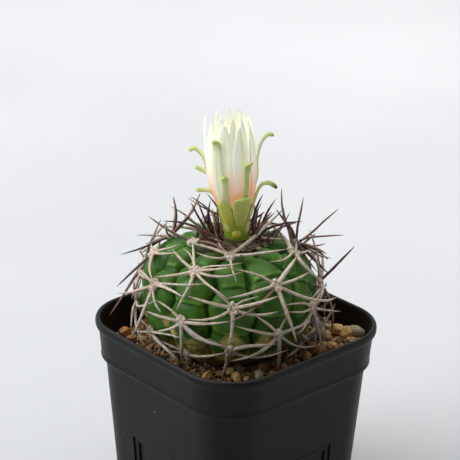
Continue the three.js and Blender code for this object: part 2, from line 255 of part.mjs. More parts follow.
  ['21', 0.51, [15.58, 25.92, 79.93], [19.82, 26.76, 83.34], [23.72, 26.52, 87.53], [27.04, 25.84, 91.45]],
  ['22', 0.55, [-2.3, 32.18, 98.83], [-1.92, 30.99, 104.21], [-1.5, 28.49, 109.01], [-1.15, 26.02, 112.51]],
  ['22', 0.58, [-2.76, 32.22, 98.67], [-7.02, 31.31, 103.17], [-11.42, 29.12, 107.23], [-15.49, 26.82, 110.27]],
  ['22', 0.54, [-2.94, 32.31, 98.32], [-9.57, 33.05, 99.39], [-16.69, 32.49, 100.13], [-23.23, 31.16, 100.55]],
  ['22', 0.64, [-2.85, 32.42, 97.95], [-7.73, 33.49, 95.03], [-12.96, 33.15, 91.64], [-17.75, 33.12, 88.47]],
  ['22', 0.43, [-2.63, 32.48, 97.75], [-5.26, 34.11, 93.21], [-8.02, 35.05, 88.23], [-10.48, 34.48, 83.6]],
  ['22', 0.56, [-2.34, 32.5, 97.68], [-2.4, 35.26, 91.39], [-2.45, 36.91, 84.42], [-2.47, 37.68, 77.77]],
  ['22', 0.56, [-1.86, 32.44, 97.91], [3.3, 33.97, 94.25], [8.7, 34.16, 90.36], [13.57, 33.86, 86.6]],
  ['22', 0.45, [-1.75, 32.32, 98.36], [4.71, 33.38, 99.89], [11.79, 33.04, 101.08], [18.69, 32.65, 102.3]],
  ['22', 0.54, [-1.89, 32.24, 98.64], [2.88, 32.09, 103.28], [8.02, 30.44, 107.53], [12.98, 29.03, 111.93]],
  ['23', 0.43, [-4.73, 32.39, 84.32], [-4.61, 34.7, 89.79], [-4.38, 36.09, 95.84], [-4.11, 36.58, 101.61]],
  ['23', 0.60, [-5.13, 32.32, 84.2], [-9.5, 34.13, 89.19], [-13.88, 35, 94.5], [-17.49, 33.74, 99.42]],
  ['23', 0.61, [-5.35, 32.18, 83.76], [-11.87, 31.97, 83.99], [-19.31, 31.2, 84.22], [-25.48, 29.29, 84.41]],
  ['23', 0.52, [-5.28, 32.11, 83.5], [-9.71, 32.11, 81.02], [-14.6, 31.07, 78.51], [-19.27, 29.63, 76.31]],
  ['23', 0.56, [-4.95, 32.06, 83.21], [-7.22, 30.28, 77], [-9.39, 27.12, 74.09], [-11.47, 24.39, 71.04]],
  ['23', 0.45, [-4.68, 32.07, 83.17], [-4.07, 30.9, 77.11], [-3.31, 28.32, 74.48], [-2.6, 26.08, 71]],
  ['23', 0.42, [-4.25, 32.18, 83.42], [1.3, 31.77, 79.67], [7.06, 30.15, 76.53], [12.19, 28.04, 74.61]],
  ['23', 0.43, [-4.15, 32.28, 83.74], [1.62, 34.4, 83.24], [8.29, 35.59, 83.01], [14.97, 36.3, 82.94]],
  ['23', 0.51, [-4.4, 32.39, 84.21], [-1, 34.34, 88.74], [2.7, 35.31, 93.64], [6.07, 35.31, 98.17]],
  ['24', 0.48, [-36.53, -7.69, 87.49], [-37.89, -7.59, 93.7], [-37.79, -7.25, 100.49], [-36.74, -6.81, 105.85]],
  ['24', 0.52, [-36.46, -8.07, 87.37], [-37.12, -12.32, 92.6], [-36.39, -16.53, 98.37], [-34.7, -20.04, 103.21]],
  ['24', 0.44, [-36.39, -8.28, 87.06], [-36.1, -14.44, 88.83], [-34.51, -20.68, 90.79], [-32.26, -26.06, 92.65]],
  ['24', 0.44, [-36.34, -8.22, 86.61], [-35.74, -13.04, 83.93], [-33.96, -17.99, 81.27], [-31.67, -22.38, 79.19]],
  ['24', 0.58, [-36.36, -7.95, 86.35], [-36.4, -10.27, 81.33], [-34.97, -12.55, 76.06], [-33.35, -14.69, 71.36]],
  ['24', 0.52, [-36.41, -7.56, 86.31], [-37.38, -6.6, 81.2], [-36.98, -5.29, 75.59], [-36.47, -3.97, 70.99]],
  ['24', 0.62, [-36.49, -7.23, 86.53], [-38, -1.87, 81.94], [-37.92, 4.05, 77.31], [-37.64, 9.75, 73.12]],
  ['24', 0.50, [-36.56, -7.11, 86.93], [-38.1, -1.68, 87.21], [-38.66, 4.37, 87.64], [-38.43, 10.01, 88.1]],
  ['24', 0.57, [-36.57, -7.36, 87.37], [-39.03, -4.03, 92.1], [-40.28, -0.22, 97.67], [-40.95, 3.62, 103.15]],
  ['25', 0.62, [-15.32, 17.85, 110.12], [-13.21, 13.84, 114.48], [-10.58, 8.99, 118.91], [-7.92, 4.09, 124.37]],
  ['25', 0.50, [-15.65, 17.76, 110.06], [-16.56, 12.67, 112.95], [-17.36, 6.79, 115.32], [-18.12, 0.97, 117.35]],
  ['25', 0.57, [-16.04, 17.94, 109.86], [-19.92, 15.75, 111.41], [-24.32, 12.92, 112.62], [-28.8, 9.92, 113.66]],
  ['25', 0.53, [-16.15, 18.28, 109.68], [-20.99, 18.43, 109.16], [-26.18, 18.17, 107.6], [-30.75, 17.49, 105.47]],
  ['25', 0.46, [-16.05, 18.57, 109.58], [-21.04, 21.6, 107.95], [-25.78, 23.84, 104.52], [-29.21, 25.16, 100.63]],
  ['25', 0.51, [-15.74, 18.82, 109.56], [-17.46, 23.35, 108.35], [-19.08, 27.94, 105.71], [-20.24, 31.7, 102.63]],
  ['25', 0.63, [-15.45, 18.86, 109.63], [-14.98, 24.12, 109.15], [-14.09, 29.77, 107.38], [-12.94, 34.96, 105.1]],
  ['25', 0.51, [-15.03, 18.57, 109.89], [-10.94, 20.91, 111.05], [-6.12, 23.32, 111.75], [-1.25, 25.54, 112.02]],
  ['25', 0.52, [-15.04, 18.15, 110.07], [-10.51, 17.12, 113.71], [-5.08, 15.49, 116.68], [0.3, 14.04, 121.16]],
  ['26', 0.56, [-20.75, 27.07, 96.75], [-20.35, 26.38, 102.51], [-19.21, 24.49, 107.65], [-18.04, 22.65, 111.34]],
  ['26', 0.54, [-21.09, 26.88, 96.61], [-24.4, 26.35, 100.97], [-27.51, 24.48, 106], [-29.54, 21.24, 110.19]],
  ['26', 0.42, [-21.28, 26.82, 96.29], [-26, 24.05, 97.67], [-30.09, 19.94, 98.74], [-33.71, 15.75, 99.57]],
  ['26', 0.43, [-21.25, 26.93, 95.83], [-25.49, 24.65, 92.48], [-30.83, 22.39, 89.02], [-34, 18.56, 85.83]],
  ['26', 0.54, [-21.06, 27.09, 95.62], [-24.31, 27.68, 90.75], [-27.39, 27.4, 84.98], [-29.93, 26.48, 78.97]],
  ['26', 0.55, [-20.76, 27.3, 95.57], [-20.92, 29.25, 90.31], [-20.03, 29.74, 84.5], [-18.82, 29.84, 79.39]],
  ['26', 0.51, [-20.43, 27.47, 95.8], [-17.16, 30.46, 92.54], [-13.11, 32.87, 88.96], [-9.39, 35.5, 85.59]],
  ['26', 0.58, [-20.3, 27.47, 96.21], [-15.95, 32.03, 97.11], [-10.36, 36.05, 97.91], [-4.59, 39.56, 98.59]],
  ['26', 0.52, [-20.4, 27.34, 96.56], [-16.99, 29.42, 100.51], [-12.67, 30.54, 104.33], [-8.44, 31.19, 107.31]],
  ['27', 0.63, [-21.7, 25.39, 82.19], [-22.87, 28.34, 88.41], [-23.31, 30.3, 95.08], [-23.63, 31.91, 101.24]],
  ['27', 0.42, [-22.08, 25.03, 82], [-26.85, 23.15, 86.07], [-31.81, 20.84, 90.61], [-34.9, 17.93, 94.8]],
  ['27', 0.52, [-22.13, 24.86, 81.74], [-26.62, 22.1, 82.28], [-32.78, 19.23, 83.26], [-37.47, 15.99, 84.96]],
  ['27', 0.57, [-21.94, 24.78, 81.31], [-25.34, 20.65, 77.66], [-28.17, 15.5, 74.76], [-30.54, 10.53, 72.85]],
  ['27', 0.57, [-21.77, 24.83, 81.17], [-23.3, 22.23, 76.55], [-24.3, 18.55, 73.84], [-25.4, 15.09, 71]],
  ['27', 0.48, [-21.5, 24.98, 81.08], [-20.35, 23.26, 76.03], [-18.57, 20.67, 73.41], [-16.92, 18.26, 70.99]],
  ['27', 0.60, [-21.14, 25.37, 81.35], [-17.2, 27.51, 78.48], [-12.37, 29.06, 75.88], [-7.6, 30.2, 73.9]],
  ['27', 0.49, [-21.18, 25.56, 81.76], [-16.72, 31.56, 82.54], [-10.91, 35.63, 84.61], [-5.01, 38.09, 86.63]],
  ['27', 0.44, [-21.4, 25.54, 82.05], [-19.27, 28.75, 85.76], [-17.29, 32.65, 89.86], [-14.76, 35.23, 93.81]],
  ['28', 0.62, [-30.79, 9.5, 104.55], [-28.6, 8.36, 108.87], [-25.48, 6.81, 112.81], [-22.44, 5.3, 116.24]],
  ['28', 0.61, [-30.99, 9.21, 104.45], [-30.3, 5.39, 108.33], [-28.82, 0.94, 111.79], [-27.32, -3.41, 114.78]],
  ['28', 0.59, [-31.26, 9.09, 104.17], [-33.59, 4.11, 105.98], [-35.46, -1.81, 107.38], [-36.98, -7.77, 108.43]],
  ['28', 0.59, [-31.48, 9.28, 103.81], [-35.84, 6.43, 102.2], [-40.09, 2.84, 99.59], [-42.71, -0.99, 96.58]],
  ['28', 0.51, [-31.51, 9.48, 103.67], [-35.72, 7.31, 99.11], [-37.93, 4.44, 93.8], [-40.15, 2.13, 89.36]],
  ['28', 0.55, [-31.44, 9.82, 103.59], [-35.58, 11.53, 98.19], [-37.88, 12.69, 92.2], [-39.46, 13.59, 86.81]],
  ['28', 0.55, [-31.13, 10.19, 103.78], [-32.44, 15.63, 101.69], [-32.45, 20.87, 98.36], [-31.16, 24.92, 94.97]],
  ['28', 0.61, [-30.88, 10.22, 104.07], [-29.15, 16.39, 104.63], [-25.74, 22.06, 103.83], [-22.82, 27.92, 103.5]],
  ['28', 0.51, [-30.73, 10.02, 104.37], [-28.02, 13.66, 108.26], [-24.2, 17.42, 112.09], [-20.34, 21.24, 116.2]],
  ['29', 0.53, [-34.03, 12.19, 90.59], [-35.45, 13.06, 95.53], [-36.04, 13.36, 101.76], [-35.73, 13.29, 107.96]],
  ['29', 0.56, [-34.21, 11.77, 90.39], [-37.95, 7.76, 94.95], [-38.64, 2.3, 99.7], [-39.95, -2.55, 104.2]],
  ['29', 0.54, [-34.26, 11.64, 90.13], [-37.93, 7.78, 91.3], [-41.22, 2.79, 92.7], [-44.18, -2.46, 94.17]],
  ['29', 0.49, [-34.24, 11.68, 89.71], [-37.28, 8, 87.27], [-39.67, 3.34, 84.43], [-41.43, -1.41, 81.65]],
  ['29', 0.49, [-34.13, 11.91, 89.46], [-35.62, 9.25, 84.01], [-36.85, 6.61, 77.86], [-36.23, 3.3, 73.47]],
  ['29', 0.52, [-34.02, 12.15, 89.39], [-34.85, 12.3, 83.65], [-34.15, 11.76, 77.56], [-33.06, 11.06, 72.57]],
  ['29', 0.63, [-33.82, 12.62, 89.64], [-32.48, 16.72, 87.06], [-31.17, 21.88, 83.23], [-28.06, 24.86, 79.88]],
  ['29', 0.64, [-33.78, 12.72, 90.05], [-31.41, 18.88, 91.01], [-28.39, 25.4, 91.81], [-24.08, 29.97, 92.28]],
  ['29', 0.54, [-33.84, 12.59, 90.38], [-32.48, 17.72, 94.85], [-30.18, 22.86, 100.16], [-27.32, 27.23, 104.64]],
  ['30', 0.56, [-31.51, 8.65, 77.87], [-35.65, 10.48, 82.76], [-37.9, 11.35, 88.29], [-38.26, 11.45, 93.41]],
  ['30', 0.52, [-31.56, 8.25, 77.77], [-35.59, 6.47, 80.21], [-40.06, 4.47, 83.43], [-43.58, 2.17, 86.92]],
  ['30', 0.64, [-31.44, 7.99, 77.51], [-35.29, 3.8, 77.52], [-38.76, -1.36, 78.38], [-41.1, -6.66, 79.62]],
  ['30', 0.46, [-31.13, 7.97, 77.14], [-30.99, 1.86, 73.72], [-30.05, -4.8, 72.27], [-28.96, -11.14, 70.99]],
  ['30', 0.45, [-30.9, 8.18, 76.97], [-30, 6.69, 74.15], [-28.4, 4.72, 72.9], [-26.68, 2.73, 70.98]],
  ['30', 0.56, [-30.78, 8.45, 76.94], [-29.03, 8.36, 74.1], [-26.33, 8.01, 73.1], [-23.19, 7.48, 71.02]],
  ['30', 0.50, [-30.76, 8.81, 77.07], [-29.2, 10.97, 74.01], [-26.62, 13.25, 73.61], [-24.01, 15.62, 71]],
  ['30', 0.47, [-31.03, 9.08, 77.5], [-30.75, 14.08, 77.7], [-29.69, 19.46, 78.6], [-28.08, 24.26, 79.8]],
  ['30', 0.49, [-31.26, 9, 77.73], [-32.76, 13.64, 80.45], [-33.09, 17.99, 84.22], [-33.08, 22.06, 87.44]],
];
// Scales and outer tepals: stations of [height up the flower, distance from its axis, bearing, half width].
const SCALES = {
  scale_1: [[9.4, 5.99, -38, 1.6], [12.2, 6.45, -38, 2.4], [15.2, 6.95, -38, 2.5], [18.2, 8.56, -38, 1.75], [20.2, 9.14, -38, 0.4]],
  scale_2: [[9.8, 6.05, 20, 1.8], [12.8, 6.55, 20, 2.8], [15.6, 7.25, 20, 3.3], [18.6, 8.91, 21, 3.1], [20.2, 10.39, 23, 0.8]],
  scale_3: [[9, 5.93, 76, 1.3], [11.5, 6.34, 76, 1.8], [13.6, 6.68, 76, 1.5], [15.4, 7.02, 76, 0.35]],
  scale_4: [[21.6, 9.15, -21, 1.5], [24.2, 9.65, -19, 1.3], [27.2, 10.19, -17, 1.2], [29.7, 11.52, -15, 1.5], [30.6, 13.54, -13, 0.5]],
  scale_5: [[21.6, 9.15, 30, 1.3], [25.3, 9.81, 32, 1.2], [30.3, 10.28, 33, 1.2], [33.9, 11, 34, 1.5], [35.5, 13, 35, 0.5]],
  scale_6: [[31.6, 10.22, -33.5, 2.2], [34.5, 10.25, -33, 2.4], [38.4, 10.33, -32, 2.1], [42.6, 10.52, -31, 1.9], [44.6, 12.39, -30, 0.5]],
  scale_7: [[28.5, 10.11, -96, 1.6], [31.5, 10.66, -95, 1.6], [35, 11.8, -94, 1.5], [37.7, 13.96, -93, 1.4], [36.9, 15.9, -92, 0.4]],
  scale_8: [[26.2, 9.89, -112, 1.4], [27.2, 11.54, -110, 1.3], [28.2, 13.43, -108, 1.1], [29, 15.1, -107, 0.4]],
  scale_9: [[15, 7.27, -84, 1.4], [18.3, 8.68, -84, 1.6], [20.9, 10.76, -84, 1.5], [21.6, 12.9, -84, 1.2], [21.8, 15.13, -84, 0.4]],
  scale_10: [[33.4, 10.25, 96, 1.6], [37, 10.8, 96, 1.5], [40.3, 12.04, 94, 1.4], [42.4, 14.04, 93, 1.3], [42, 16.09, 92, 0.4]],
  scale_11: [[17.4, 8.19, 84, 1.6], [20.6, 9.4, 84, 1.6], [23.2, 11.11, 84, 1.5], [23.8, 13.42, 84, 1.3], [21.8, 15.93, 84, 0.4]],
  scale_12: [[18.5, 8.64, 150, 1.6], [22.5, 9.97, 150, 1.6], [25.3, 11.66, 150, 1.4], [26, 13.82, 150, 0.4]],
};

const COLOURS = {
  pot: 0x26272a, soil: 0x7d6242, stem: 0x39702f, wool: 0xd8c9b0, spine: 0xc9b3a4, crown: 0x5c3430,
  bud: 0x7f9277, tube: 0x6f9a33, scale: 0x9fb85a, petal: 0xf3f1e6, stamen: 0xe9dda0, leaf: 0x3f8f33,
};

// ---------------------------------------------------------------- helpers
const V = (a) => new THREE.Vector3(a[0], a[1], a[2]);
const noise = (i, j) => { const s = Math.sin(i * 127.1 + j * 311.7) * 43758.5453; return s - Math.floor(s); };
const lerpTable = (t, x) => {
  if (x <= t[0][0]) return t[0][1];
  for (let i = 1; i < t.length; i++) if (x <= t[i][0]) {
    const f = (x - t[i - 1][0]) / (t[i][0] - t[i - 1][0]);
    return t[i - 1][1] * (1 - f) + t[i][1] * f;
  }
  return t[t.length - 1][1];
};

// A closed skin through rings of equal count; the two ends are closed by a fan, to a pole if one is given.
function loft(rings, startPole, endPole) {
  const n = rings[0].length, pos = [], idx = [];
  rings.forEach((r) => r.forEach((p) => pos.push(p.x, p.y, p.z)));
  for (let i = 0; i + 1 < rings.length; i++)
    for (let j = 0; j < n; j++) {
      const a = i * n + j, b = i * n + (j + 1) % n, c = a + n, d = b + n;
      idx.push(a, b, d, a, d, c);
    }
  const cap = (ring, pole, flip) => {
    const base = ring * n;
    if (pole) {
      const k = pos.length / 3; pos.push(pole.x, pole.y, pole.z);
      for (let j = 0; j < n; j++) {
        const a = base + j, b = base + (j + 1) % n;
        if (flip) idx.push(k, b, a); else idx.push(k, a, b);
      }
    } else for (let j = 1; j + 1 < n; j++) {
      if (flip) idx.push(base, base + j + 1, base + j); else idx.push(base, base + j, base + j + 1);
    }
  };
  cap(0, startPole, true);
  cap(rings.length - 1, endPole, false);
  const g = new THREE.BufferGeometry();
  g.setAttribute('position', new THREE.BufferAttribute(new Float32Array(pos), 3));
  g.setIndex(idx);
  return faceOut(g);
}

function faceOut(g) {
  const p = g.attributes.position, ix = g.index.array;
  let vol = 0;
  const a = new THREE.Vector3(), b = new THREE.Vector3(), c = new THREE.Vector3();
  for (let i = 0; i < ix.length; i += 3) {
    a.fromBufferAttribute(p, ix[i]); b.fromBufferAttribute(p, ix[i + 1]); c.fromBufferAttribute(p, ix[i + 2]);
    vol += a.dot(b.cross(c));
  }
  if (vol < 0) {
    const out = new Array(ix.length);
    for (let i = 0; i < ix.length; i += 3) { out[i] = ix[i]; out[i + 1] = ix[i + 2]; out[i + 2] = ix[i + 1]; }
    g.setIndex(out);
  }
  return g;
}

function solid(geometry) {
  let g = geometry.clone();
  g.deleteAttribute('normal');
  g.deleteAttribute('uv');
  g = faceOut(mergeVertices(g, 1e-4));
  return new wasm.Manifold(new wasm.Mesh({
    numProp: 3, vertProperties: new Float32Array(g.attributes.position.array), triVerts: new Uint32Array(g.index.array),
  }));
}

function geometryOf(s) {
  const m = s.getMesh(), g = new THREE.BufferGeometry();
  const pos = new Float32Array(m.numVert * 3);
  for (let i = 0; i < m.numVert; i++) pos.set(m.vertProperties.subarray(i * m.numProp, i * m.numProp + 3), i * 3);
  g.setAttribute('position', new THREE.BufferAttribute(pos, 3));
  g.setIndex(Array.from(m.triVerts));
  const flat = g.toNonIndexed();
  flat.computeVertexNormals();
  return flat;
}

const group = new THREE.Group();
function add(name, geometry, colour, roughness = 0.7, metalness = 0) {
  const mesh = new THREE.Mesh(geometry, new THREE.MeshStandardMaterial({ color: colour, roughness, metalness }));
  mesh.name = name;
  group.add(mesh);
  return mesh;
}

// ---------------------------------------------------------------- pot
// Rounded square of side s; the corner radius shrinks with the side, so the wall offsets stay parallel.
function roundedSquare(s, z, perCorner = 6) {
  const rc = Math.max(1, POT.cornerAtRim - (POT.rim - s) / 2), h = s / 2 - rc, pts = [];
  for (let q = 0; q < 4; q++) {
    const sx = [1, -1, -1, 1][q], sy = [1, 1, -1, -1][q];
    for (let i = 0; i < perCorner; i++) {
      const a = Math.PI / 2 * (q + i / (perCorner - 1));
      pts.push(new THREE.Vector3(sx * h + rc * Math.cos(a), sy * h + rc * Math.sin(a), z));
    }
  }
  return pts;
}
const outerSide = (z) => lerpTable([[0, POT.bodyBottom], [POT.stepZ, POT.bodyTop], [POT.collarZ, POT.collarBottom], [POT.height - POT.lipDrop, POT.collarTop], [POT.height, POT.collarTop]], z);
const innerSide = (z) => outerSide(z - 0.4) - 2 * POT.wall;

const potProfile = [
  [0, POT.bodyBottom - 1.4], [0.9, outerSide(0.9)], [POT.stepZ, POT.bodyTop], [POT.collarZ, POT.collarBottom],
  [POT.height - POT.lipDrop, POT.collarTop], [POT.height - POT.lipDrop + 0.3, POT.rim - 0.9], [POT.height - 2.9, POT.rim],
  [POT.height - 0.8, POT.rim], [POT.height, POT.rim - 1.5], [POT.height, POT.rim - 3.4], [POT.height - 0.7, POT.rim - 4.6],
  [POT.collarZ + 0.4, innerSide(POT.collarZ + 0.4)], [POT.stepZ + 0.4, innerSide(POT.stepZ + 0.4)], [POT.floor, innerSide(POT.floor)],
];
let pot = solid(loft(potProfile.map(([z, s]) => roundedSquare(s, z)), new THREE.Vector3(0, 0, 0), new THREE.Vector3(0, 0, POT.floor)));
for (let side = 0; side < 4; side++)
  for (const dx of [-POT.slotOffset, POT.slotOffset]) {
    const face = outerSide(POT.slotTop) / 2, lean = Math.atan((POT.bodyTop - POT.bodyBottom) / 2 / POT.stepZ);
    const place = (g, y, z) => { g.rotateX(lean); g.translate(dx, -y, z); g.rotateZ(side * Math.PI / 2); return g; };
    const recess = place(new THREE.BoxGeometry(POT.slotWidth, 3, POT.slotTop + 4), outerSide(POT.slotTop / 2 - 2) / 2 - POT.slotDepth + 1.5, POT.slotTop / 2 - 2);
    const slit = place(new THREE.BoxGeometry(POT.slitWidth, 5, POT.slitTop - POT.slitLow), outerSide((POT.slitTop + POT.slitLow) / 2) / 2 - 0.6, (POT.slitTop + POT.slitLow) / 2);
    pot = pot.subtract(solid(recess)).subtract(solid(slit));
  }
for (const [x, y] of [[1, 1], [1, -1], [-1, 1], [-1, -1]]) {
  const hole = new THREE.CylinderGeometry(POT.drainRadius, POT.drainRadius, 8, 16);
  hole.rotateX(Math.PI / 2);
  hole.translate(x * POT.drainOffset, y * POT.drainOffset, 0);
  pot = pot.subtract(solid(hole));
}
add('pot', geometryOf(pot), COLOURS.pot, 0.45);

// ---------------------------------------------------------------- stem
const C0 = V(STEM.centre);
// Depth of the furrow between tubercles at a point of the smooth globe.
function furrow(p) {
  let f1 = 1e9, f2 = 1e9;
  for (const s of TUBERCLES) {
    const dx = p.x - s[0], dy = p.y - s[1], dz = p.z - s[2];
    // distance, with the run along the rib counted less than the run across it
    const r = Math.hypot(s[0] - C0.x, s[1] - C0.y) || 1, ex = -(s[1] - C0.y) / r, ey = (s[0] - C0.x) / r;
    const across = dx * ex + dy * ey;
    const d = Math.sqrt(Math.max(0, 0.62 * (dx * dx + dy * dy + dz * dz - across * across)) + across * across);
    if (d < f1) { f2 = f1; f1 = d; } else if (d < f2) f2 = d;
  }
  const g = (f2 - f1) / 2;
  return STEM.grooveDepth * Math.exp(-Math.pow(g / STEM.grooveWidth, 1.4)) + 0.012 * f1 * f1;
}
function stemGeometry(grow) {
  const rings = [], n = STEM.columns, e = 2 / STEM.power;
  const rows = [82, 74, 66, 58, 50, 42, 34, 26, 18, 10, 2, -7, -17, -28, -42, -60];
  for (const deg of rows) {
    const u = deg * Math.PI / 180, ring = [];
    const rr = STEM.radius * Math.pow(Math.abs(Math.cos(u)), e), zz = STEM.halfHeight * Math.sign(Math.sin(u)) * Math.pow(Math.abs(Math.sin(u)), e);
    for (let j = 0; j < n; j++) {
      const a = 2 * Math.PI * j / n, p = new THREE.Vector3(C0.x + rr * Math.cos(a), C0.y + rr * Math.sin(a), C0.z + zz);
      const gr = Math.pow(rr / STEM.radius, STEM.power - 1) / STEM.radius, gz = Math.sign(zz) * Math.pow(Math.abs(zz) / STEM.halfHeight, STEM.power - 1) / STEM.halfHeight;
      const nrm = new THREE.Vector3(gr * Math.cos(a), gr * Math.sin(a), gz).normalize();
      const fade = Math.min(1, rr / 12) * (deg < -40 ? 0.5 : 1);
      const dip = STEM.crownDip * Math.exp(-Math.pow(rr / STEM.crownDipRadius, 2)) * (deg > 60 ? 1 : 0);
      p.addScaledVector(nrm, grow - furrow(p) * fade);
      p.z -= dip;
      ring.push(p);
    }
    rings.push(ring);
  }
  for (const [r, z] of STEM.neck) {
    const ring = [];
    for (let j = 0; j < n; j++) { const a = 2 * Math.PI * j / n; ring.push(new THREE.Vector3(C0.x + (r + grow) * Math.cos(a), C0.y + (r + grow) * Math.sin(a), z - (z < 50 ? grow : 0))); }
    rings.push(ring);
  }
  const last = STEM.neck[STEM.neck.length - 1];
  return loft(rings, new THREE.Vector3(C0.x, C0.y, C0.z + STEM.halfHeight - STEM.crownDip + grow), new THREE.Vector3(C0.x, C0.y, last[1] - 1 - grow));
}
add('stem', stemGeometry(0), COLOURS.stem, 0.55);
const stemRoom = solid(stemGeometry(CLEAR));

// ---------------------------------------------------------------- soil
{
  const rings = [], steps = [0.35, 0.56, 0.68, 0.79, 0.89, 1];
  const topSide = innerSide(SOIL.top) - 2 * SOIL.gap;
  steps.forEach((k, i) => {
    const ring = roundedSquare(topSide, SOIL.top);
    ring.forEach((p, j) => { p.x *= k; p.y *= k; p.z += (noise(i, j) - 0.5) * (k < 1 ? 2.0 : 0.6); });
    rings.push(ring);
  });
  for (const z of [POT.collarZ + 0.9, POT.stepZ - 0.4, SOIL.low]) rings.push(roundedSquare(innerSide(z) - 2 * SOIL.gap, z));
  const bed = solid(loft(rings, new THREE.Vector3(0, 0, SOIL.top), new THREE.Vector3(0, 0, SOIL.low)));
  const socket = STEM.neck.map(([r, z]) => new THREE.Vector2(r + 0.65, z - 0.2)).reverse();
  const g = new THREE.LatheGeometry([new THREE.Vector2(0, socket[0].y - 1.3), new THREE.Vector2(socket[0].x, socket[0].y - 1.3), ...socket, new THREE.Vector2(STEM.neck[0][0] + 1.8, 72), new THREE.Vector2(0, 72)], 22);
  g.rotateX(Math.PI / 2);
  g.translate(C0.x, C0.y, 0);
  add('soil', geometryOf(bed.subtract(solid(g))), COLOURS.soil, 0.95);
}

// ---------------------------------------------------------------- spines
function needle(points, radius) {
  const rings = [], share = [1, 0.95, 0.7];
  const tip = points[points.length - 1];
  points = points.map((p, i) => i ? p : p.clone().addScaledVector(points[1].clone().sub(p).normalize(), 0.25));
  const side = new THREE.Vector3();
  for (let i = 0; i + 1 < points.length; i++) {
    const t = points[Math.min(i + 1, points.length - 1)].clone().sub(points[Math.max(i - 1, 0)]).normalize();
    if (i === 0) side.crossVectors(t, Math.abs(t.z) < 0.9 ? new THREE.Vector3(0, 0, 1) : new THREE.Vector3(1, 0, 0));
    side.addScaledVector(t, -side.dot(t)).normalize();
    const up = new THREE.Vector3().crossVectors(t, side), ring = [];
    for (let k = 0; k < 3; k++) {
      const a = 2 * Math.PI * k / 3;
      ring.push(points[i].clone().addScaledVector(side, Math.cos(a) * radius * share[i]).addScaledVector(up, Math.sin(a) * radius * share[i]));
    }
    rings.push(ring);
  }
  return loft(rings, null, tip);
}
function spinesOf(owner) {
  return SPINES.filter((s) => s[0] === owner).map((s) => solid(needle(s.slice(2).map(V), s[1])));
}
const globeNormal = (p) => {
  const x = p.x - C0.x, y = p.y - C0.y, z = p.z - C0.z, r = Math.hypot(x, y) || 1e-6;
  const gr = Math.pow(r / STEM.radius, STEM.power - 1) / STEM.radius, gz = Math.sign(z) * Math.pow(Math.abs(z) / STEM.halfHeight, STEM.power - 1) / STEM.halfHeight;
  return new THREE.Vector3(gr * x / r, gr * y / r, gz).normalize();
};
for (const [name, centre] of Object.entries(AREOLES)) {
  const n = globeNormal(V(centre)), up = new THREE.Vector3(0, 0, 1).addScaledVector(n, -n.z).normalize(), e = new THREE.Vector3().crossVectors(up, n);
  const g = new THREE.CylinderGeometry(PAD.head, PAD.foot, PAD.high - PAD.low, 8);
  g.rotateX(Math.PI / 2);
  g.scale(1 / PAD.long, PAD.long, 1);
  g.applyMatrix4(new THREE.Matrix4().makeBasis(e, up, n).setPosition(V(centre).addScaledVector(n, (PAD.high + PAD.low) / 2)));
  let cluster = solid(g);
  for (const s of spinesOf(name)) cluster = cluster.add(s);
  add('spines_' + name, geometryOf(cluster), COLOURS.spine, 0.6);
}
function largest(s) {
  const parts = s.decompose().sort((a, b) => b.volume() - a.volume());
  return parts[0];
}
{
  const F = V(FLOWER.base), top = C0.z + STEM.halfHeight;
  const height = (r) => C0.z + STEM.halfHeight * Math.pow(Math.max(0, 1 - Math.pow(r / STEM.radius, STEM.power)), 1 / STEM.power);
  const prof = [[FELT.inner, top - 4], [FELT.outer, top - 4.5], [FELT.outer, height(FELT.outer) - 0.1], [9, height(9) + FELT.rise], [FELT.inner, height(FELT.inner) + FELT.rise], [FELT.inner, top - 4]];
  const g = new THREE.LatheGeometry(prof.map(([r, z]) => new THREE.Vector2(r, z)), 20);
  g.rotateX(Math.PI / 2);
  g.translate(F.x, F.y, 0);
  let tuft = solid(g).subtract(stemRoom);
  for (const s of spinesOf('crown')) tuft = tuft.add(s);
  add('crown_spines', geometryOf(largest(tuft.subtract(stemRoom))), COLOURS.crown, 0.6);
}

// ---------------------------------------------------------------- flower
const FB = V(FLOWER.base), FA = V(FLOWER.axis), FS = V(FLOWER.side), FF = V(FLOWER.front);
// A point of the flower: height up its axis, distance from it and bearing; the flower bows a little to one side.
const reach = (h, rho, deg) => {
  const a = deg * Math.PI / 180;
  const f = Math.min(1, Math.max(0, (h - 8) / 28)), drift = 0.4 + 0.8 * f * f * (3 - 2 * f);
  return FB.clone().addScaledVector(FA, h).addScaledVector(FF, rho * Math.cos(a)).addScaledVector(FS, rho * Math.sin(a) - drift);
};
{
  const g = new THREE.LatheGeometry(FLOWER.tube.map(([r, h]) => new THREE.Vector2(r, h)), 16);
  g.applyMatrix4(new THREE.Matrix4().makeBasis(FS, FA, FS.clone().cross(FA)).setPosition(reach(0, 0, 0)));
  let tube = solid(g);
  for (const [h, az, w, l] of [[4.8, 4, 1.9, 2.2], [6.6, -42, 1.5, 1.8], [5.2, 80, 1.7, 2.0], [5.6, 160, 1.7, 2.0], [5, -110, 1.7, 2.0]]) {
    const b = new THREE.SphereGeometry(1, 6, 4);
    b.scale(w, 0.45, l);
    const out = reach(h, 1, az).sub(reach(h, 0, az)), side = FA.clone().cross(out);
    b.applyMatrix4(new THREE.Matrix4().makeBasis(side, out, side.clone().cross(out)).setPosition(reach(h, 4.75, az)));
    tube = tube.add(solid(b));
  }
  add('flower_tube', geometryOf(largest(tube.subtract(stemRoom))), COLOURS.tube, 0.5);
}
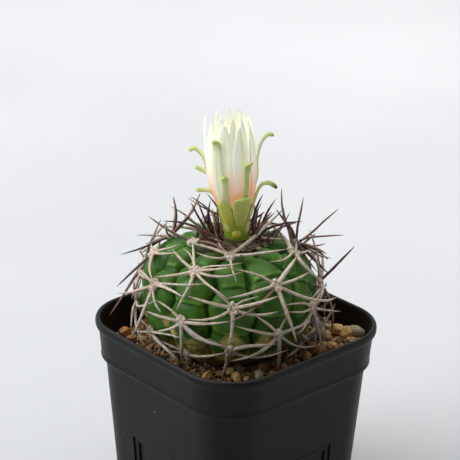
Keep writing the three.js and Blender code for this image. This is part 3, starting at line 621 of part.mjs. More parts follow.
function strip(stations, thick) {
  const mid = stations.map(([h, rho, az]) => reach(h, rho, az));
  const rings = stations.map(([h, rho, az, w], i) => {
    const t = mid[Math.min(i + 1, mid.length - 1)].clone().sub(mid[Math.max(i - 1, 0)]).normalize();
    const out = reach(h, 1, az).sub(reach(h, 0, az)), side = FA.clone().cross(out).normalize(), m = side.clone().cross(t).normalize();
    if (m.dot(out) < 0 && t.dot(FA) > 0) m.negate();
    const bow = Math.min(0.5 * w, w * w / (2 * Math.max(rho, 3)));
    const th = thick * (i === stations.length - 1 ? 0.5 : 1);
    const at = (x, y) => mid[i].clone().addScaledVector(side, x * w).addScaledVector(m, y);
    return [at(-1, -bow), at(0, 0), at(1, -bow), at(1, -bow - th * 0.6), at(0, -th), at(-1, -bow - th * 0.6)];
  });
  return loft(rings, null, null);
}
for (const [name, stations] of Object.entries(SCALES)) add(name, strip(stations, FLOWER.scaleThick), COLOURS.scale, 0.55);
function petal(azMid, halfAngle, inset, low, high) {
  const rings = [], rows = 5, cols = 3;
  for (let i = 0; i <= rows; i++) {
    const f = i / rows, h = low + (high - low) * f, R = lerpTable(FLOWER.envelope, h) - inset;
    const spread = halfAngle * (f < 0.75 ? 1 : Math.sqrt(Math.max(0.02, 1 - Math.pow((f - 0.75) / 0.25, 2) * 0.96)));
    const ring = [];
    for (let j = 0; j <= cols; j++) ring.push(reach(h, R, azMid + spread * (2 * j / cols - 1)));
    for (let j = cols; j >= 0; j--) ring.push(reach(h, R - FLOWER.petalThick, azMid + spread * (2 * j / cols - 1)));
    rings.push(ring);
  }
  return loft(rings, null, null);
}
for (let i = 0; i < 6; i++) add('petal_' + (i + 1), petal(-30 + 60 * i, 27, 0.25, 16.4, [52.6, 51.2, 49.8, 50.5, 51.6, 52][i]), COLOURS.petal, 0.5);
for (let i = 0; i < 4; i++) add('petal_' + (i + 7), petal(12 + 90 * i, 39, 1.5, 16.6, [52.2, 50.5, 49.5, 51][i]), COLOURS.petal, 0.5);
{
  const g = new THREE.LatheGeometry([[0, 13.9], [2.2, 13.9], [1.8, 25], [2.6, 34], [3.0, 39], [1.6, 41.5], [0, 42.2]].map(([r, h]) => new THREE.Vector2(r, h)), 12);
  g.applyMatrix4(new THREE.Matrix4().makeBasis(FS, FA, FS.clone().cross(FA)).setPosition(FB));
  add('stamens', g, COLOURS.stamen, 0.6);
}

// ---------------------------------------------------------------- bud and seedling
{
  const p = V([-17.67, -1.91, 112]), n = globeNormal(p), e = new THREE.Vector3(0, 0, 1).cross(n).normalize(), u = n.clone().cross(e);
  const g = new THREE.SphereGeometry(1, 10, 6);
  g.scale(1.35, 1.35, 2.3);
  g.applyMatrix4(new THREE.Matrix4().makeBasis(e, u, n).setPosition(p.clone().addScaledVector(n, 1.0)));
  add('bud', geometryOf(largest(solid(g).subtract(stemRoom))), COLOURS.bud, 0.7);
}
{
  const [x, y, z] = [24.4, 8.29, 73], foot = 70.6;
  const leaf = new THREE.SphereGeometry(1, 12, 6);
  leaf.scale(2.3, 1.5, 0.35);
  leaf.rotateZ(0.73);
  leaf.translate(x, y, z);
  const stalk = new THREE.CylinderGeometry(0.4, 0.5, z - foot, 6);
  stalk.rotateX(Math.PI / 2);
  stalk.translate(x, y, (z + foot) / 2);
  add('seedling', geometryOf(solid(leaf).add(solid(stalk))), COLOURS.leaf, 0.5);
}

export default group;
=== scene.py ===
import math
import bpy
import numpy as np
from mathutils import Matrix, Vector

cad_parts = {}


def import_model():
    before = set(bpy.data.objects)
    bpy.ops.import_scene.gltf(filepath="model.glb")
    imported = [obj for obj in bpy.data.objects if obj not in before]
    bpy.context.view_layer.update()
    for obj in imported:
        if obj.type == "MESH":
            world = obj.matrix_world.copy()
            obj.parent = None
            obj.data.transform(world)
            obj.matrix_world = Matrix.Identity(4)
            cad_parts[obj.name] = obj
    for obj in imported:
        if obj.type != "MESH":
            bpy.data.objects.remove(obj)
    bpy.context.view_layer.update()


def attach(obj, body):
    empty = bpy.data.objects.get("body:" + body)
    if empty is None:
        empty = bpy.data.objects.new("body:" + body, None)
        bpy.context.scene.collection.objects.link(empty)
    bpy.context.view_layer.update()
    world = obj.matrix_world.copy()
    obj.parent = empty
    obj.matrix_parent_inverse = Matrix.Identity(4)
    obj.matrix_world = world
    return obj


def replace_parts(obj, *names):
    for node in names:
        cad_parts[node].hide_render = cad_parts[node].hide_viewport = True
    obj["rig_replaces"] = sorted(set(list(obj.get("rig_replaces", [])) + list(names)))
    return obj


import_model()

MM = 0.001

# ------------------------------------------------------------------ tables (mm)
AREOLES = {
    '01': [9.72, -12.27, 112.16],
    '02': [5.8, -25.95, 108.68],
    '03': [27.84, -5.67, 104.9],
    '04': [-7.37, -34.05, 101.29],
    '05': [23.86, -23.13, 99.73],
    '06': [9.1, -34.82, 92.91],
    '07': [30.31, 10.26, 92.63],
    '08': [32.06, -8.06, 87.84],
    '09': [-8.03, -34.74, 82.44],
    '10': [23.58, -24.01, 83.19],
    '11': [16.54, 13.55, 109.11],
    '12': [7.94, -31.35, 78.14],
    '13': [-21.39, -23.07, 105.99],
    '14': [-8.35, -14.39, 112.42],
    '15': [-25.5, -26.82, 87],
    '16': [-30.07, -19.91, 98.7],
    '17': [-27.43, -9.57, 107.5],
    '18': [20.18, 23.93, 95.8],
    '19': [6.93, 24.47, 106.5],
    '20': [26.2, 10.24, 78],
    '21': [14.72, 25.2, 80],
    '22': [-2.32, 31.42, 98],
    '23': [-4.67, 31.32, 84],
    '24': [-35.53, -7.56, 87],
    '25': [-15.32, 17.94, 109],
    '26': [-20.29, 26.37, 96],
    '27': [-21.11, 24.46, 82],
    '28': [-30.41, 9.38, 103.5],
    '29': [-33.15, 11.79, 90],
    '30': [-30.46, 8.25, 78],
}
# tubercle centres and the rib each belongs to
SITES = [
    [0, 22.66, -23.22, 80.42], [0, 24.52, -23.67, 96.86], [0, 11.96, -14.24, 111.42], [0, 12.79, -14.12, 70.7],
    [1, 31.64, -7.99, 84.9], [1, 29.62, -5.88, 102.58], [1, 20.91, -4.84, 72.21], [1, 17.65, -4.46, 111.02],
    [1, 7.93, -3.33, 112.99], [2, 24.29, 9.39, 75.83], [2, 30.32, 10.26, 89.73], [2, 18.5, 15.24, 107.51],
    [2, 9.72, 3.4, 112.61], [3, 13.81, 23.68, 77.54], [3, 20.35, 24.14, 92.83], [3, 7.58, 26.49, 104.44],
    [3, 7.22, 12.58, 111.68], [3, 2.1, 4.13, 113.18], [4, -4.58, 30.24, 81.13], [4, -2.33, 32.01, 95],
    [4, -2.24, 16.86, 70.78], [4, -2.44, 24.56, 107.48], [4, -2.2, 15.49, 111.57], [4, -1.94, 5.64, 113.15],
    [5, -20.29, 23.33, 79.36], [5, -20.45, 26.62, 93.01], [5, -16.75, 20.06, 107.41], [5, -12.3, 13.33, 70.7],
    [5, -9, 8.48, 112.58], [6, -28.51, 7.54, 75.83], [6, -33, 11.72, 87.07], [6, -31.85, 9.96, 101],
    [6, -21.27, 6.11, 110.4], [6, -12.36, 2.32, 112.78], [7, -34.96, -7.47, 83.99], [7, -29.66, -10.21, 105.6],
    [7, -23.35, -5.89, 71.83], [7, -17.22, -4.85, 112.05], [8, -25.1, -26.4, 83.99], [8, -22.76, -24.52, 103.84],
    [8, -17.92, -17, 71.83], [8, -15.04, -14.37, 111.47], [8, -7.78, -7.72, 113.13], [9, -7.78, -33.43, 79.75],
    [9, -7.57, -35.17, 98.48], [9, -9.73, -16.93, 111.81], [9, -6.55, -20.36, 70.7], [10, 7.28, -29.35, 75.93],
    [10, 9.11, -34.84, 89.95], [10, 6.55, -28.32, 107.01], [10, 2.44, -15.13, 112.47],
]
# [cluster, base radius, kind, four points]; kinds: p pale, g grey, b brown, d dark, c cream
SPINES = [
    ['01', 0.67, 'p', [9.75, -11.77, 113.13], [6.98, 1.86, 115.55], [1.91, 14.42, 116.46], [-3.44, 28.12, 117.93]],
    ['01', 0.59, 'p', [10.25, -12.21, 113], [15.41, -7.16, 114.06], [19.09, -1.01, 114.57], [21.23, 6.05, 114.55]],
    ['01', 0.54, 'p', [10.15, -12.99, 112.9], [9.2, -17.3, 113.14], [6.46, -20.62, 113.89], [2.34, -22.68, 114.77]],
    ['01', 0.59, 'p', [9.24, -12.37, 113.13], [4.8, -14.59, 114.35], [0.46, -17.47, 115.32], [-4.04, -20.18, 115.82]],
    ['01', 0.43, 'p', [10.41, -12.78, 112.89], [14.46, -15.79, 112], [18.39, -18.33, 110.86], [22.57, -20.43, 109.14]],
    ['01', 0.43, 'p', [9.33, -12.27, 113.13], [6.76, -12.43, 114.1], [4.29, -12.3, 115.25], [1.82, -11.35, 116.16]],
    ['14', 0.54, 'd', [-8.07, -14.64, 113.32], [-16.9, -14.77, 113.09], [-25.99, -14.08, 113.24], [-35.23, -15.04, 115.53]],
    ['14', 0.43, 'b', [-8.33, -13.85, 113.42], [-2.74, -12.9, 114.7], [4.25, -13.43, 115.47], [11.01, -14.46, 115.6]],
    ['02', 0.45, 'p', [5.41, -26.01, 109.73], [1.09, -22.68, 112.55], [-3.36, -19.24, 114.81], [-8.18, -15.66, 116.1]],
    ['02', 0.54, 'p', [5.25, -26.37, 109.57], [0.71, -26.52, 110.88], [-3.71, -26.41, 112.39], [-8.21, -25.52, 113.51]],
    ['02', 0.39, 'p', [5.39, -26.03, 109.72], [2.38, -24.05, 111.39], [-1.23, -22.75, 113], [-5.18, -22.65, 114.08]],
    ['02', 0.59, 'p', [5.58, -26.86, 109.24], [2.72, -30.86, 108.33], [-0.82, -34.02, 107.38], [-5.15, -36.27, 106.09]],
    ['02', 0.39, 'p', [5.82, -25.77, 109.79], [10.07, -22.38, 111.63], [15.44, -18.87, 112.9], [19.5, -14.08, 114.11]],
    ['02', 0.54, 'p', [6.45, -25.92, 109.61], [10.32, -23.77, 110.66], [14.14, -21.59, 111.77], [17.61, -18.79, 112.79]],
    ['02', 0.56, 'p', [6.62, -26.28, 109.39], [13.03, -24.92, 109.59], [18.5, -21.92, 110.46], [22.24, -17, 112.06]],
    ['02', 0.49, 'p', [6.58, -26.52, 109.25], [12.9, -27.7, 107.96], [19.3, -27.76, 106.78], [24.75, -25.96, 104.32]],
    ['02', 0.54, 'p', [6.3, -26.85, 109.11], [8.78, -31.13, 106.36], [9.46, -34.92, 102.71], [9.5, -38.34, 98.08]],
    ['03', 0.78, 'p', [28.26, -5.16, 105.81], [27.34, -0.58, 108.47], [25.82, 4.26, 110.36], [23.57, 9.12, 111.61]],
    ['03', 0.59, 'p', [28.54, -5.05, 105.54], [29.79, 0.05, 105.93], [29.96, 5.22, 106.32], [29.37, 10.53, 106.62]],
    ['03', 0.59, 'p', [28.93, -5.45, 105.05], [34.42, 4.15, 99.63], [33.64, 15.35, 94.89], [28.12, 26.84, 90.99]],
    ['03', 0.71, 'p', [28.94, -5.82, 104.98], [33.87, -6.46, 98.84], [36.17, -4.82, 91.5], [36.93, -2.48, 83.77]],
    ['03', 0.54, 'b', [28.71, -6.32, 105.18], [30.12, -13.82, 102.33], [29.57, -21.16, 99.36], [27.3, -28.54, 96.53]],
    ['03', 0.59, 'p', [28.32, -6.41, 105.6], [28.02, -13.46, 105.65], [26.8, -20.37, 105.4], [24.27, -26.99, 105.06]],
    ['03', 0.54, 'p', [28.03, -6.05, 105.93], [25.18, -9.7, 108.84], [22.49, -14.02, 111.08], [19.34, -18.36, 112.66]],
    ['05', 0.67, 'p', [24.01, -24.09, 100.3], [20.63, -28.41, 101.67], [16.7, -32.19, 103.04], [12.12, -35.31, 104.19]],
    ['05', 0.39, 'p', [24.64, -23.17, 100.53], [25.83, -20.8, 102.4], [27.93, -18.47, 103.65], [29.96, -15.89, 104.58]],
    ['05', 0.65, 'p', [24.79, -23.23, 100.18], [28.91, -19.44, 101.81], [31.88, -14.77, 103.11], [33.58, -9.24, 104.09]],
    ['05', 0.59, 'p', [24.97, -23.3, 99.68], [29.06, -19.79, 98.29], [32.61, -15.56, 98.12], [35.25, -10.62, 98.83]],
    ['05', 0.54, 'p', [24.31, -24.14, 99.6], [21.98, -29.01, 97.33], [18.56, -33.56, 96.26], [14.03, -37.36, 96.18]],
    ['05', 0.65, 'p', [24.67, -23.8, 99.4], [26.03, -25.2, 95.28], [26.64, -26.31, 90.9], [26.83, -27.2, 86.38]],
    ['05', 0.41, 'p', [24.1, -23.76, 100.62], [22.07, -25.07, 102.79], [20.24, -26.7, 104.79], [19.02, -28.87, 107.01]],
    ['04', 0.54, 'p', [-8.17, -34.65, 101.81], [-12.35, -33.96, 102.65], [-16.5, -33.04, 103.12], [-20.62, -31.91, 103.21]],
    ['04', 0.54, 'p', [-8, -34.97, 101.23], [-14.45, -35.8, 97.62], [-21.51, -35.62, 93.76], [-28.29, -36.15, 91.06]],
    ['04', 0.59, 'p', [-7.52, -35.13, 101.07], [-7.49, -39.47, 93.23], [-11.62, -39.53, 84.57], [-17.19, -38.05, 76.41]],
    ['04', 0.45, 'p', [-7.34, -35.15, 101.1], [-5.06, -37.01, 98.26], [-1.83, -38.4, 96.26], [2.43, -39.65, 95.28]],
    ['04', 0.45, 'p', [-7.14, -34.58, 102.24], [0.5, -34.57, 104.73], [8.33, -33.21, 106.79], [15.79, -29.82, 108.7]],
    ['04', 0.63, 'p', [-6.84, -34.83, 101.92], [-0.88, -35.43, 103.29], [4.85, -35.7, 103.54], [10.86, -35.69, 103.25]],
    ['06', 0.49, 'p', [9.15, -35.71, 93.43], [6.56, -37.17, 96.21], [3.28, -38.52, 98.08], [-0.55, -39.6, 99.31]],
    ['06', 0.59, 'p', [8.89, -35.83, 92.79], [4.38, -38.11, 93.09], [-0.44, -39.6, 93.18], [-5.58, -40.29, 93.17]],
    ['06', 0.54, 'p', [9, -35.81, 92.38], [6.61, -37.2, 89.97], [3.64, -38.68, 88.24], [0.25, -39.78, 86.89]],
    ['06', 0.69, 'g', [9.44, -35.68, 92.25], [10.42, -36.32, 86.89], [10.17, -36.14, 81.44], [8.61, -34.82, 76.22]],
    ['06', 0.65, 'p', [10.03, -35.44, 92.88], [16.23, -33.77, 94.02], [21.97, -31.12, 95.35], [27.01, -27.33, 96.88]],
    ['06', 0.65, 'g', [9.84, -35.53, 92.44], [15.91, -34.59, 89.68], [22.03, -32.4, 88.03], [27.08, -28.17, 86.78]],
    ['06', 0.49, 'g', [9.52, -35.64, 92.26], [14.3, -34.33, 88.6], [20.71, -31.81, 87.14], [27.02, -28.11, 86.33]],
    ['09', 0.54, 'g', [-8.47, -35.62, 82.41], [-8.96, -36.7, 84.29], [-10.13, -37.49, 85.67], [-12.02, -37.98, 86.77]],
    ['09', 0.54, 'g', [-8.7, -35.27, 81.75], [-11.71, -35.13, 80.54], [-14.73, -35.5, 79.64], [-17.77, -36.36, 79.06]],
    ['09', 0.54, 'g', [-7.54, -35.75, 82.3], [-1.11, -37.8, 84.93], [4.85, -38.17, 86.66], [11.58, -37.64, 87.59]],
    ['09', 0.49, 'g', [-8.56, -35.26, 81.61], [-9.31, -34.77, 79.56], [-9.83, -34.5, 77.49], [-10.12, -34.45, 75.4]],
    ['09', 0.71, 'g', [-8.05, -35.31, 81.49], [-3.03, -36.45, 80.28], [2.11, -36.35, 78.69], [7.16, -35.31, 76.02]],
    ['12', 0.59, 'g', [8.72, -31.9, 77.67], [14.85, -31.62, 79.31], [20.62, -30.41, 81.49], [25.94, -28.09, 84.07]],
    ['12', 0.54, 'g', [7.82, -31.65, 77.1], [7.06, -30.76, 75.15], [6.51, -30.13, 73.11], [6.18, -29.77, 70.98]],
    ['12', 0.54, 'g', [8.44, -32.33, 78.13], [7.66, -34.77, 80.24], [5.36, -37.12, 81.74], [2.44, -39.17, 83.16]],
    ['12', 0.45, 'g', [8.3, -32.24, 77.91], [7.72, -33.9, 78.75], [6.31, -35.63, 79.17], [4.59, -37.07, 79.57]],
    ['10', 0.78, 'g', [24.64, -24.28, 83.38], [29.09, -21.23, 85.48], [32.73, -16.78, 86.01], [35.58, -11.49, 85.93]],
    ['10', 0.54, 'g', [24.32, -24.14, 82.36], [28.74, -18.96, 80.24], [33.13, -13.12, 80.59], [36.44, -6.57, 82.2]],
    ['10', 0.76, 'g', [24.04, -24.38, 82.26], [22.36, -24.01, 78.04], [20.84, -23.92, 73.83], [19.47, -24.09, 69.63]],
    ['10', 0.43, 'g', [23.83, -24.7, 82.35], [23.32, -25.21, 81.21], [23.18, -25.6, 79.78], [23.09, -25.96, 78.34]],
    ['10', 0.49, 'g', [23.94, -25.01, 83.2], [22.89, -27.62, 85.32], [21.52, -29.98, 87.27], [19.59, -32.33, 89.03]],
    ['08', 0.45, 'g', [33.01, -8.07, 88.44], [33.59, -7.67, 91], [34.51, -7.18, 93.39], [35.53, -6.7, 95.88]],
    ['08', 0.49, 'p', [32.9, -8.63, 88.32], [32.77, -12.19, 92.26], [32.28, -15.94, 95.7], [31.11, -19.76, 99.08]],
    ['08', 0.59, 'p', [32.83, -8.88, 87.92], [32.16, -15.12, 90.26], [30.69, -20.82, 92.74], [28.17, -26.36, 95.18]],
    ['08', 0.67, 'g', [32.83, -8.46, 87.12], [31.92, -14.06, 83.39], [29.83, -20.34, 81.19], [26.58, -26.61, 80.13]],
    ['08', 0.73, 'g', [32.89, -8.08, 87.09], [32.88, -7.76, 81.25], [31.82, -6.66, 75.67], [30.12, -5.1, 71.01]],
    ['08', 0.59, 'g', [33.06, -7.55, 87.95], [34.5, -3.01, 88.82], [35.37, 1.59, 89.47], [35.67, 6.27, 89.89]],
    ['08', 0.54, 'g', [32.93, -7.86, 87.17], [32.79, -1.32, 81.54], [31.55, 6.52, 77.23], [32.05, 14.58, 75.63]],
    ['07', 0.45, 'p', [31.31, 10.06, 93.08], [33.09, 4.71, 96.72], [34.11, -0.82, 98.68], [34.66, -7.07, 100.18]],
    ['07', 0.45, 'p', [31.39, 9.93, 92.64], [33.46, 4.42, 93.61], [34.8, -0.78, 95.45], [35.68, -6.36, 97.47]],
    ['07', 0.45, 'p', [30.88, 11.21, 92.69], [30.88, 12.4, 93.23], [31, 13.82, 93.86], [30.98, 15.31, 94.19]],
    ['07', 0.54, 'p', [30.95, 11.09, 92.22], [29.89, 16.47, 89.49], [29.73, 21.78, 87.28], [30.47, 27.03, 85.6]],
    ['07', 0.67, 'g', [30.99, 11, 92.12], [31.04, 13.04, 85.78], [31.81, 14.35, 79.48], [33.79, 14.66, 73.48]],
    ['07', 0.54, 'g', [31.22, 10.45, 91.97], [32.64, 6.99, 89.41], [33.49, 3.05, 88.41], [34.84, -2.06, 89.22]],
    ['07', 0.43, 'g', [31.14, 10.66, 91.96], [32.56, 7.68, 89.38], [34.2, 3.85, 87.69], [35.85, -0.54, 86.7]],
    ['07', 0.49, 'b', [30.93, 11.05, 92.2], [29.81, 14.19, 88.63], [29.17, 18.43, 84.55], [31.24, 22.16, 81.63]],
    ['07', 0.49, 'p', [30.89, 11.2, 92.84], [29.38, 15.42, 94.97], [27.14, 20.19, 95.92], [25.14, 24.35, 96.25]],
    ['18', 0.56, 'd', [21.16, 25.01, 96.41], [23.14, 28.97, 100.54], [24.76, 33.15, 104.73], [26.49, 37.25, 108.92]],
    ['18', 0.43, 'b', [21.29, 24.16, 95.87], [26.5, 19.03, 97.4], [28.87, 14.87, 99.73], [30.99, 9.64, 102.92]],
    ['18', 0.45, 'p', [21.3, 24.34, 95.58], [25.71, 20.1, 96.03], [29.95, 14.12, 97.41], [33.3, 8.05, 97.62]],
    ['18', 0.43, 'p', [21.31, 24.5, 95.51], [26.2, 20.96, 95.31], [30.17, 16.33, 95.49], [32.83, 11.89, 95.05]],
    ['18', 0.49, 'b', [21.35, 24.56, 95.54], [23.96, 23.83, 91.46], [26.28, 22.1, 87.81], [29.56, 18.99, 85.41]],
    ['18', 0.54, 'b', [21.35, 24.59, 95.54], [26.02, 24.47, 90.55], [29.38, 23.58, 84.81], [31.82, 21.05, 78.83]],
    ['11', 0.78, 'p', [16.69, 13.2, 110.17], [13.26, 14.42, 111.75], [10.43, 14.72, 113.38], [8.21, 14.1, 115.06]],
    ['11', 0.65, 'd', [16.22, 14.05, 110.08], [9.71, 19.3, 110.86], [2.58, 24.39, 111.96], [-3.5, 26.64, 115.53]],
    ['11', 0.49, 'p', [16.7, 14.05, 109.89], [15.62, 16.21, 110.03], [14.21, 17.99, 110.63], [12.41, 18.63, 111.84]],
    ['11', 0.54, 'p', [17.5, 13.79, 109.65], [18.27, 15.93, 109.19], [18.26, 18.45, 108.86], [17.49, 21.36, 108.64]],
    ['11', 0.71, 'p', [17.48, 13.59, 109.72], [22.51, 12.35, 108.09], [26.57, 13.11, 105.37], [30.12, 15.25, 101.81]],
    ['11', 0.43, 'p', [17.19, 13.21, 109.98], [20.57, 7.26, 110.63], [22.45, 1.43, 111.49], [22.68, -4.94, 112.82]],
    ['13', 0.54, 'p', [-21.27, -23.32, 107.07], [-16.3, -23.83, 109.85], [-12.14, -23.41, 111.9], [-8.12, -21.14, 114.53]],
    ['13', 0.54, 'p', [-21.18, -23.68, 106.91], [-15.5, -25.69, 109.12], [-10.44, -26.05, 110.91], [-4.92, -25.28, 113.02]],
    ['13', 0.43, 'p', [-22.38, -23.15, 106.5], [-25.24, -21.27, 106.35], [-27.91, -19.39, 106.73], [-30.38, -17.51, 107.66]],
    ['13', 0.54, 'd', [-21.59, -24.1, 106.37], [-24.45, -27.85, 102.04], [-26.89, -31.78, 97.76], [-28.89, -35.89, 93.52]],
    ['13', 0.52, 'p', [-21.29, -23.97, 106.66], [-16.65, -29.13, 106.29], [-11.66, -33.52, 105.41], [-5.77, -36.7, 104.37]],
    ['17', 0.49, 'd', [-27.71, -10.37, 108.22], [-28.32, -17.22, 107.06], [-30.1, -24.02, 105.69], [-33.04, -30.77, 104.11]],
    ['17', 0.45, 'd', [-28.14, -10.35, 108.03], [-29.05, -13.51, 106.96], [-30.13, -16.65, 106.46], [-31.05, -20.01, 106.44]],
    ['17', 0.45, 'p', [-28.35, -10.18, 108.18], [-30.46, -13.86, 108.53], [-32.18, -17.77, 109.2], [-33.76, -21.75, 109.8]],
    ['15', 0.54, 'p', [-25.86, -28.13, 86.96], [-24.18, -30.5, 90.74], [-22.2, -32.61, 94.68], [-19.92, -34.46, 98.77]],
    ['15', 0.56, 'p', [-25.73, -28, 87.13], [-21.45, -32.33, 90.68], [-17.34, -34.8, 96.32], [-13.73, -35.55, 103.32]],
    ['15', 0.49, 'p', [-25.65, -27.98, 86.92], [-16.9, -35.06, 89.52], [-10.05, -37.32, 92.95], [-0.86, -39.35, 98.9]],
    ['15', 0.52, 'p', [-25.79, -28.08, 86.77], [-23.33, -31.99, 85.83], [-21.18, -34.59, 82.95], [-19.21, -36.65, 79.04]],
    ['15', 0.54, 'p', [-25.75, -28.05, 86.76], [-21.78, -32.38, 83.56], [-17.44, -34.9, 79.07], [-12.07, -36.08, 74.73]],
    ['16', 0.49, 'p', [-30.42, -20.95, 98.95], [-22.6, -29.68, 100.59], [-14.9, -34.56, 102.65], [-4.45, -38.79, 105.47]],
    ['16', 0.54, 'b', [-30.47, -20.98, 98.91], [-26.82, -28.43, 96.61], [-26.4, -34.63, 90.49], [-27.49, -40.54, 83.35]],
    ['19', 0.49, 'd', [7.64, 25.38, 106.91], [10.83, 26.93, 105.54], [14.4, 27.91, 104.56], [18.04, 28.57, 103.46]],
    ['19', 0.49, 'd', [7.7, 25.24, 106.89], [12.71, 25.52, 104.78], [17.26, 26.16, 102.32], [21.34, 27.16, 99.51]],
    ['19', 0.54, 'd', [7.77, 24.81, 107.14], [13.77, 24.33, 105.13], [18.96, 25.19, 102.23], [23.36, 27.38, 98.44]],
    ['19', 0.45, 'd', [7.73, 24.71, 107.2], [15.21, 19.48, 108.64], [21.08, 17.14, 107.18], [27.59, 16.57, 103.86]],
    ['19', 0.43, 'b', [7.32, 25.41, 106.86], [10.36, 27.33, 106.42], [13.55, 29.3, 106.95], [16.45, 31.51, 108.22]],
    ['19', 0.49, 'b', [7.18, 25.53, 107.08], [9.24, 30.67, 110.65], [11.99, 35.08, 115.68], [15.16, 39.22, 120.44]],
    ['19', 0.45, 'b', [6.95, 24.5, 107.62], [10.21, 27.74, 109.55], [15.51, 32.9, 110.72], [21.43, 36.7, 112.02]],
    ['crown', 0.54, 'd', [-9.31, -5.6, 113.42], [-14.66, -8.42, 115.8], [-19.92, -11.91, 117], [-25, -15.95, 116.94]],
    ['17', 0.54, 'd', [-27.48, -9.42, 108.48], [-28.13, -7, 112.86], [-30.03, -5.23, 117.14], [-33.16, -4.11, 121.34]],
    ['17', 0.45, 'b', [-27.52, -9.35, 108.44], [-25.23, -5.06, 113.28], [-24.16, -1.22, 118.51], [-24.32, 2.17, 124.13]],
    ['crown', 0.49, 'd', [-7.88, -4.31, 113.54], [-10.01, -4.6, 117.71], [-11.71, -4.38, 121.92], [-12.33, -2.9, 126.22]],
    ['25', 0.45, 'd', [-15.64, 17.72, 109.93], [-17.86, 9.38, 114.06], [-22.91, 4.03, 117.47], [-31.1, 1.32, 120.39]],
    ['crown', 0.45, 'd', [-9.31, 0.51, 113.44], [-14.88, 1.65, 117.55], [-21.08, 1.15, 120.35], [-27.82, 0.04, 122.36]],
    ['crown', 0.45, 'd', [-9.24, -1.08, 113.47], [-10.98, -0.01, 116.52], [-12.68, 1.09, 119.57], [-14.36, 2.23, 122.62]],
    ['crown', 0.49, 'c', [-6.56, -4.46, 113.59], [-7.14, -4.87, 117.37], [-7.7, -5.28, 121.15], [-8.25, -5.69, 124.93]],
    ['28', 0.43, 'b', [-30.71, 9.34, 104.38], [-32.73, 6.14, 108.5], [-36, 3.2, 111.73], [-40.52, 0.52, 114.06]],
    ['17', 0.39, 'p', [-27.4, -9.81, 108.47], [-28.52, -7.52, 113.34], [-30.8, -5.15, 117.68], [-34.24, -2.69, 121.49]],
    ['17', 0.45, 'p', [-27.4, -9.68, 108.48], [-24.9, -5.89, 113.6], [-25.11, -1.02, 118.34], [-26.69, 4.73, 122.77]],
    ['crown', 0.56, 'd', [3.96, 5.42, 113.33], [1.97, 6.07, 118.84], [1.72, 7.96, 124.41], [2.34, 10.75, 129.74]],
    ['crown', 0.45, 'b', [-2.77, 10.18, 112.96], [-1.98, 14.04, 114.73], [-0.68, 17.75, 115], [1.13, 21.29, 113.76]],
    ['crown', 0.54, 'd', [0.75, 9.57, 113.02], [2.69, 15.33, 114.93], [5.75, 20.53, 116.31], [9.08, 25.91, 116.56]],
    ['19', 0.54, 'b', [6.79, 24.59, 107.44], [2.11, 24.06, 113.5], [-1.87, 25.05, 119.66], [-5.17, 27.56, 125.91]],
    ['crown', 0.45, 'd', [0.6, 9.19, 113.07], [-0.05, 10.54, 115.5], [-0.52, 12.03, 117.86], [-0.82, 13.68, 120.16]],
    ['crown', 0.45, 'd', [1.85, 6.83, 113.3], [0.21, 8.94, 116.26], [-1.37, 11.14, 119.18], [-2.88, 13.43, 122.08]],
    ['crown', 0.45, 'd', [2.88, 6.29, 113.32], [3, 5.46, 116.11], [2.55, 5.53, 118.62], [1.83, 5.68, 121.38]],
    ['19', 0.49, 'b', [7.13, 24.5, 107.48], [6.28, 25.87, 113.66], [4.5, 29.03, 118.47], [1.71, 32.98, 122.67]],
    ['crown', 0.45, 'd', [-5.64, -2.98, 113.64], [-8.45, -0.75, 115.36], [-11.17, 1.52, 117.17], [-13.79, 3.85, 119.05]],
    ['crown', 0.43, 'd', [-6.78, 2.3, 113.53], [-9.69, 4.72, 114.75], [-13.37, 7.31, 115.29], [-17.08, 9.41, 115.72]],
    ['crown', 0.45, 'd', [-3.24, 6.69, 113.37], [-6.12, 10.15, 115.02], [-9, 13.69, 116.51], [-11.89, 17.29, 117.84]],
    ['crown', 0.49, 'b', [-6.44, -7.1, 113.52], [-1.69, -8.58, 114.65], [1.74, -8.06, 114.42], [5.32, -6.86, 113.88]],
    ['crown', 0.49, 'd', [-6.35, -5.66, 113.57], [-1, -5.9, 114.68], [2.91, -4.14, 114.46], [6.78, -1.58, 114.03]],
    ['crown', 0.49, 'd', [3.81, 6.26, 113.25], [5.48, 1.24, 114.43], [4.82, -2.59, 114.42], [3.13, -6.43, 114.38]],
    ['crown', 0.45, 'p', [4.75, 8.51, 112.95], [7.63, 9.42, 113.42], [10.42, 10.63, 113.86], [13.1, 12.15, 114.29]],
    ['15', 0.60, 'p', [-26.51, -27.21, 87.27], [-29.95, -25.17, 90.46], [-32.98, -22.48, 93.84], [-35.41, -19.37, 97.23]],
    ['15', 0.47, 'p', [-26.56, -27.08, 86.76], [-30.54, -23.99, 85.52], [-34.1, -20.13, 84.35], [-37.05, -15.88, 83.33]],
    ['15', 0.54, 'p', [-26.38, -27.2, 86.42], [-29.11, -24.19, 80.92], [-31, -20.12, 75.92], [-32.5, -15.68, 71.71]],
    ['16', 0.49, 'p', [-30.68, -20.28, 99.56], [-29.44, -19.39, 106], [-27.38, -17.97, 112.03], [-25.31, -16.55, 118.07]],
    ['16', 0.65, 'p', [-30.98, -19.94, 99.36], [-33.32, -15.8, 103.98], [-34.51, -10.63, 107.83], [-34.91, -5.03, 110.84]],
    ['16', 0.59, 'p', [-31.15, -19.88, 99], [-35.51, -14.28, 99.27], [-38.87, -7.92, 99.14], [-41.09, -1.36, 98.68]],
    ['16', 0.51, 'p', [-31.16, -20.15, 98.55], [-35.16, -18.48, 94.47], [-38.57, -16.17, 89.99], [-41.46, -13.55, 85.35]],
    ['16', 0.56, 'p', [-30.49, -20.86, 99.12], [-30.01, -23.51, 94.75], [-29.44, -26.01, 90.49], [-28.93, -28.55, 86.23]],
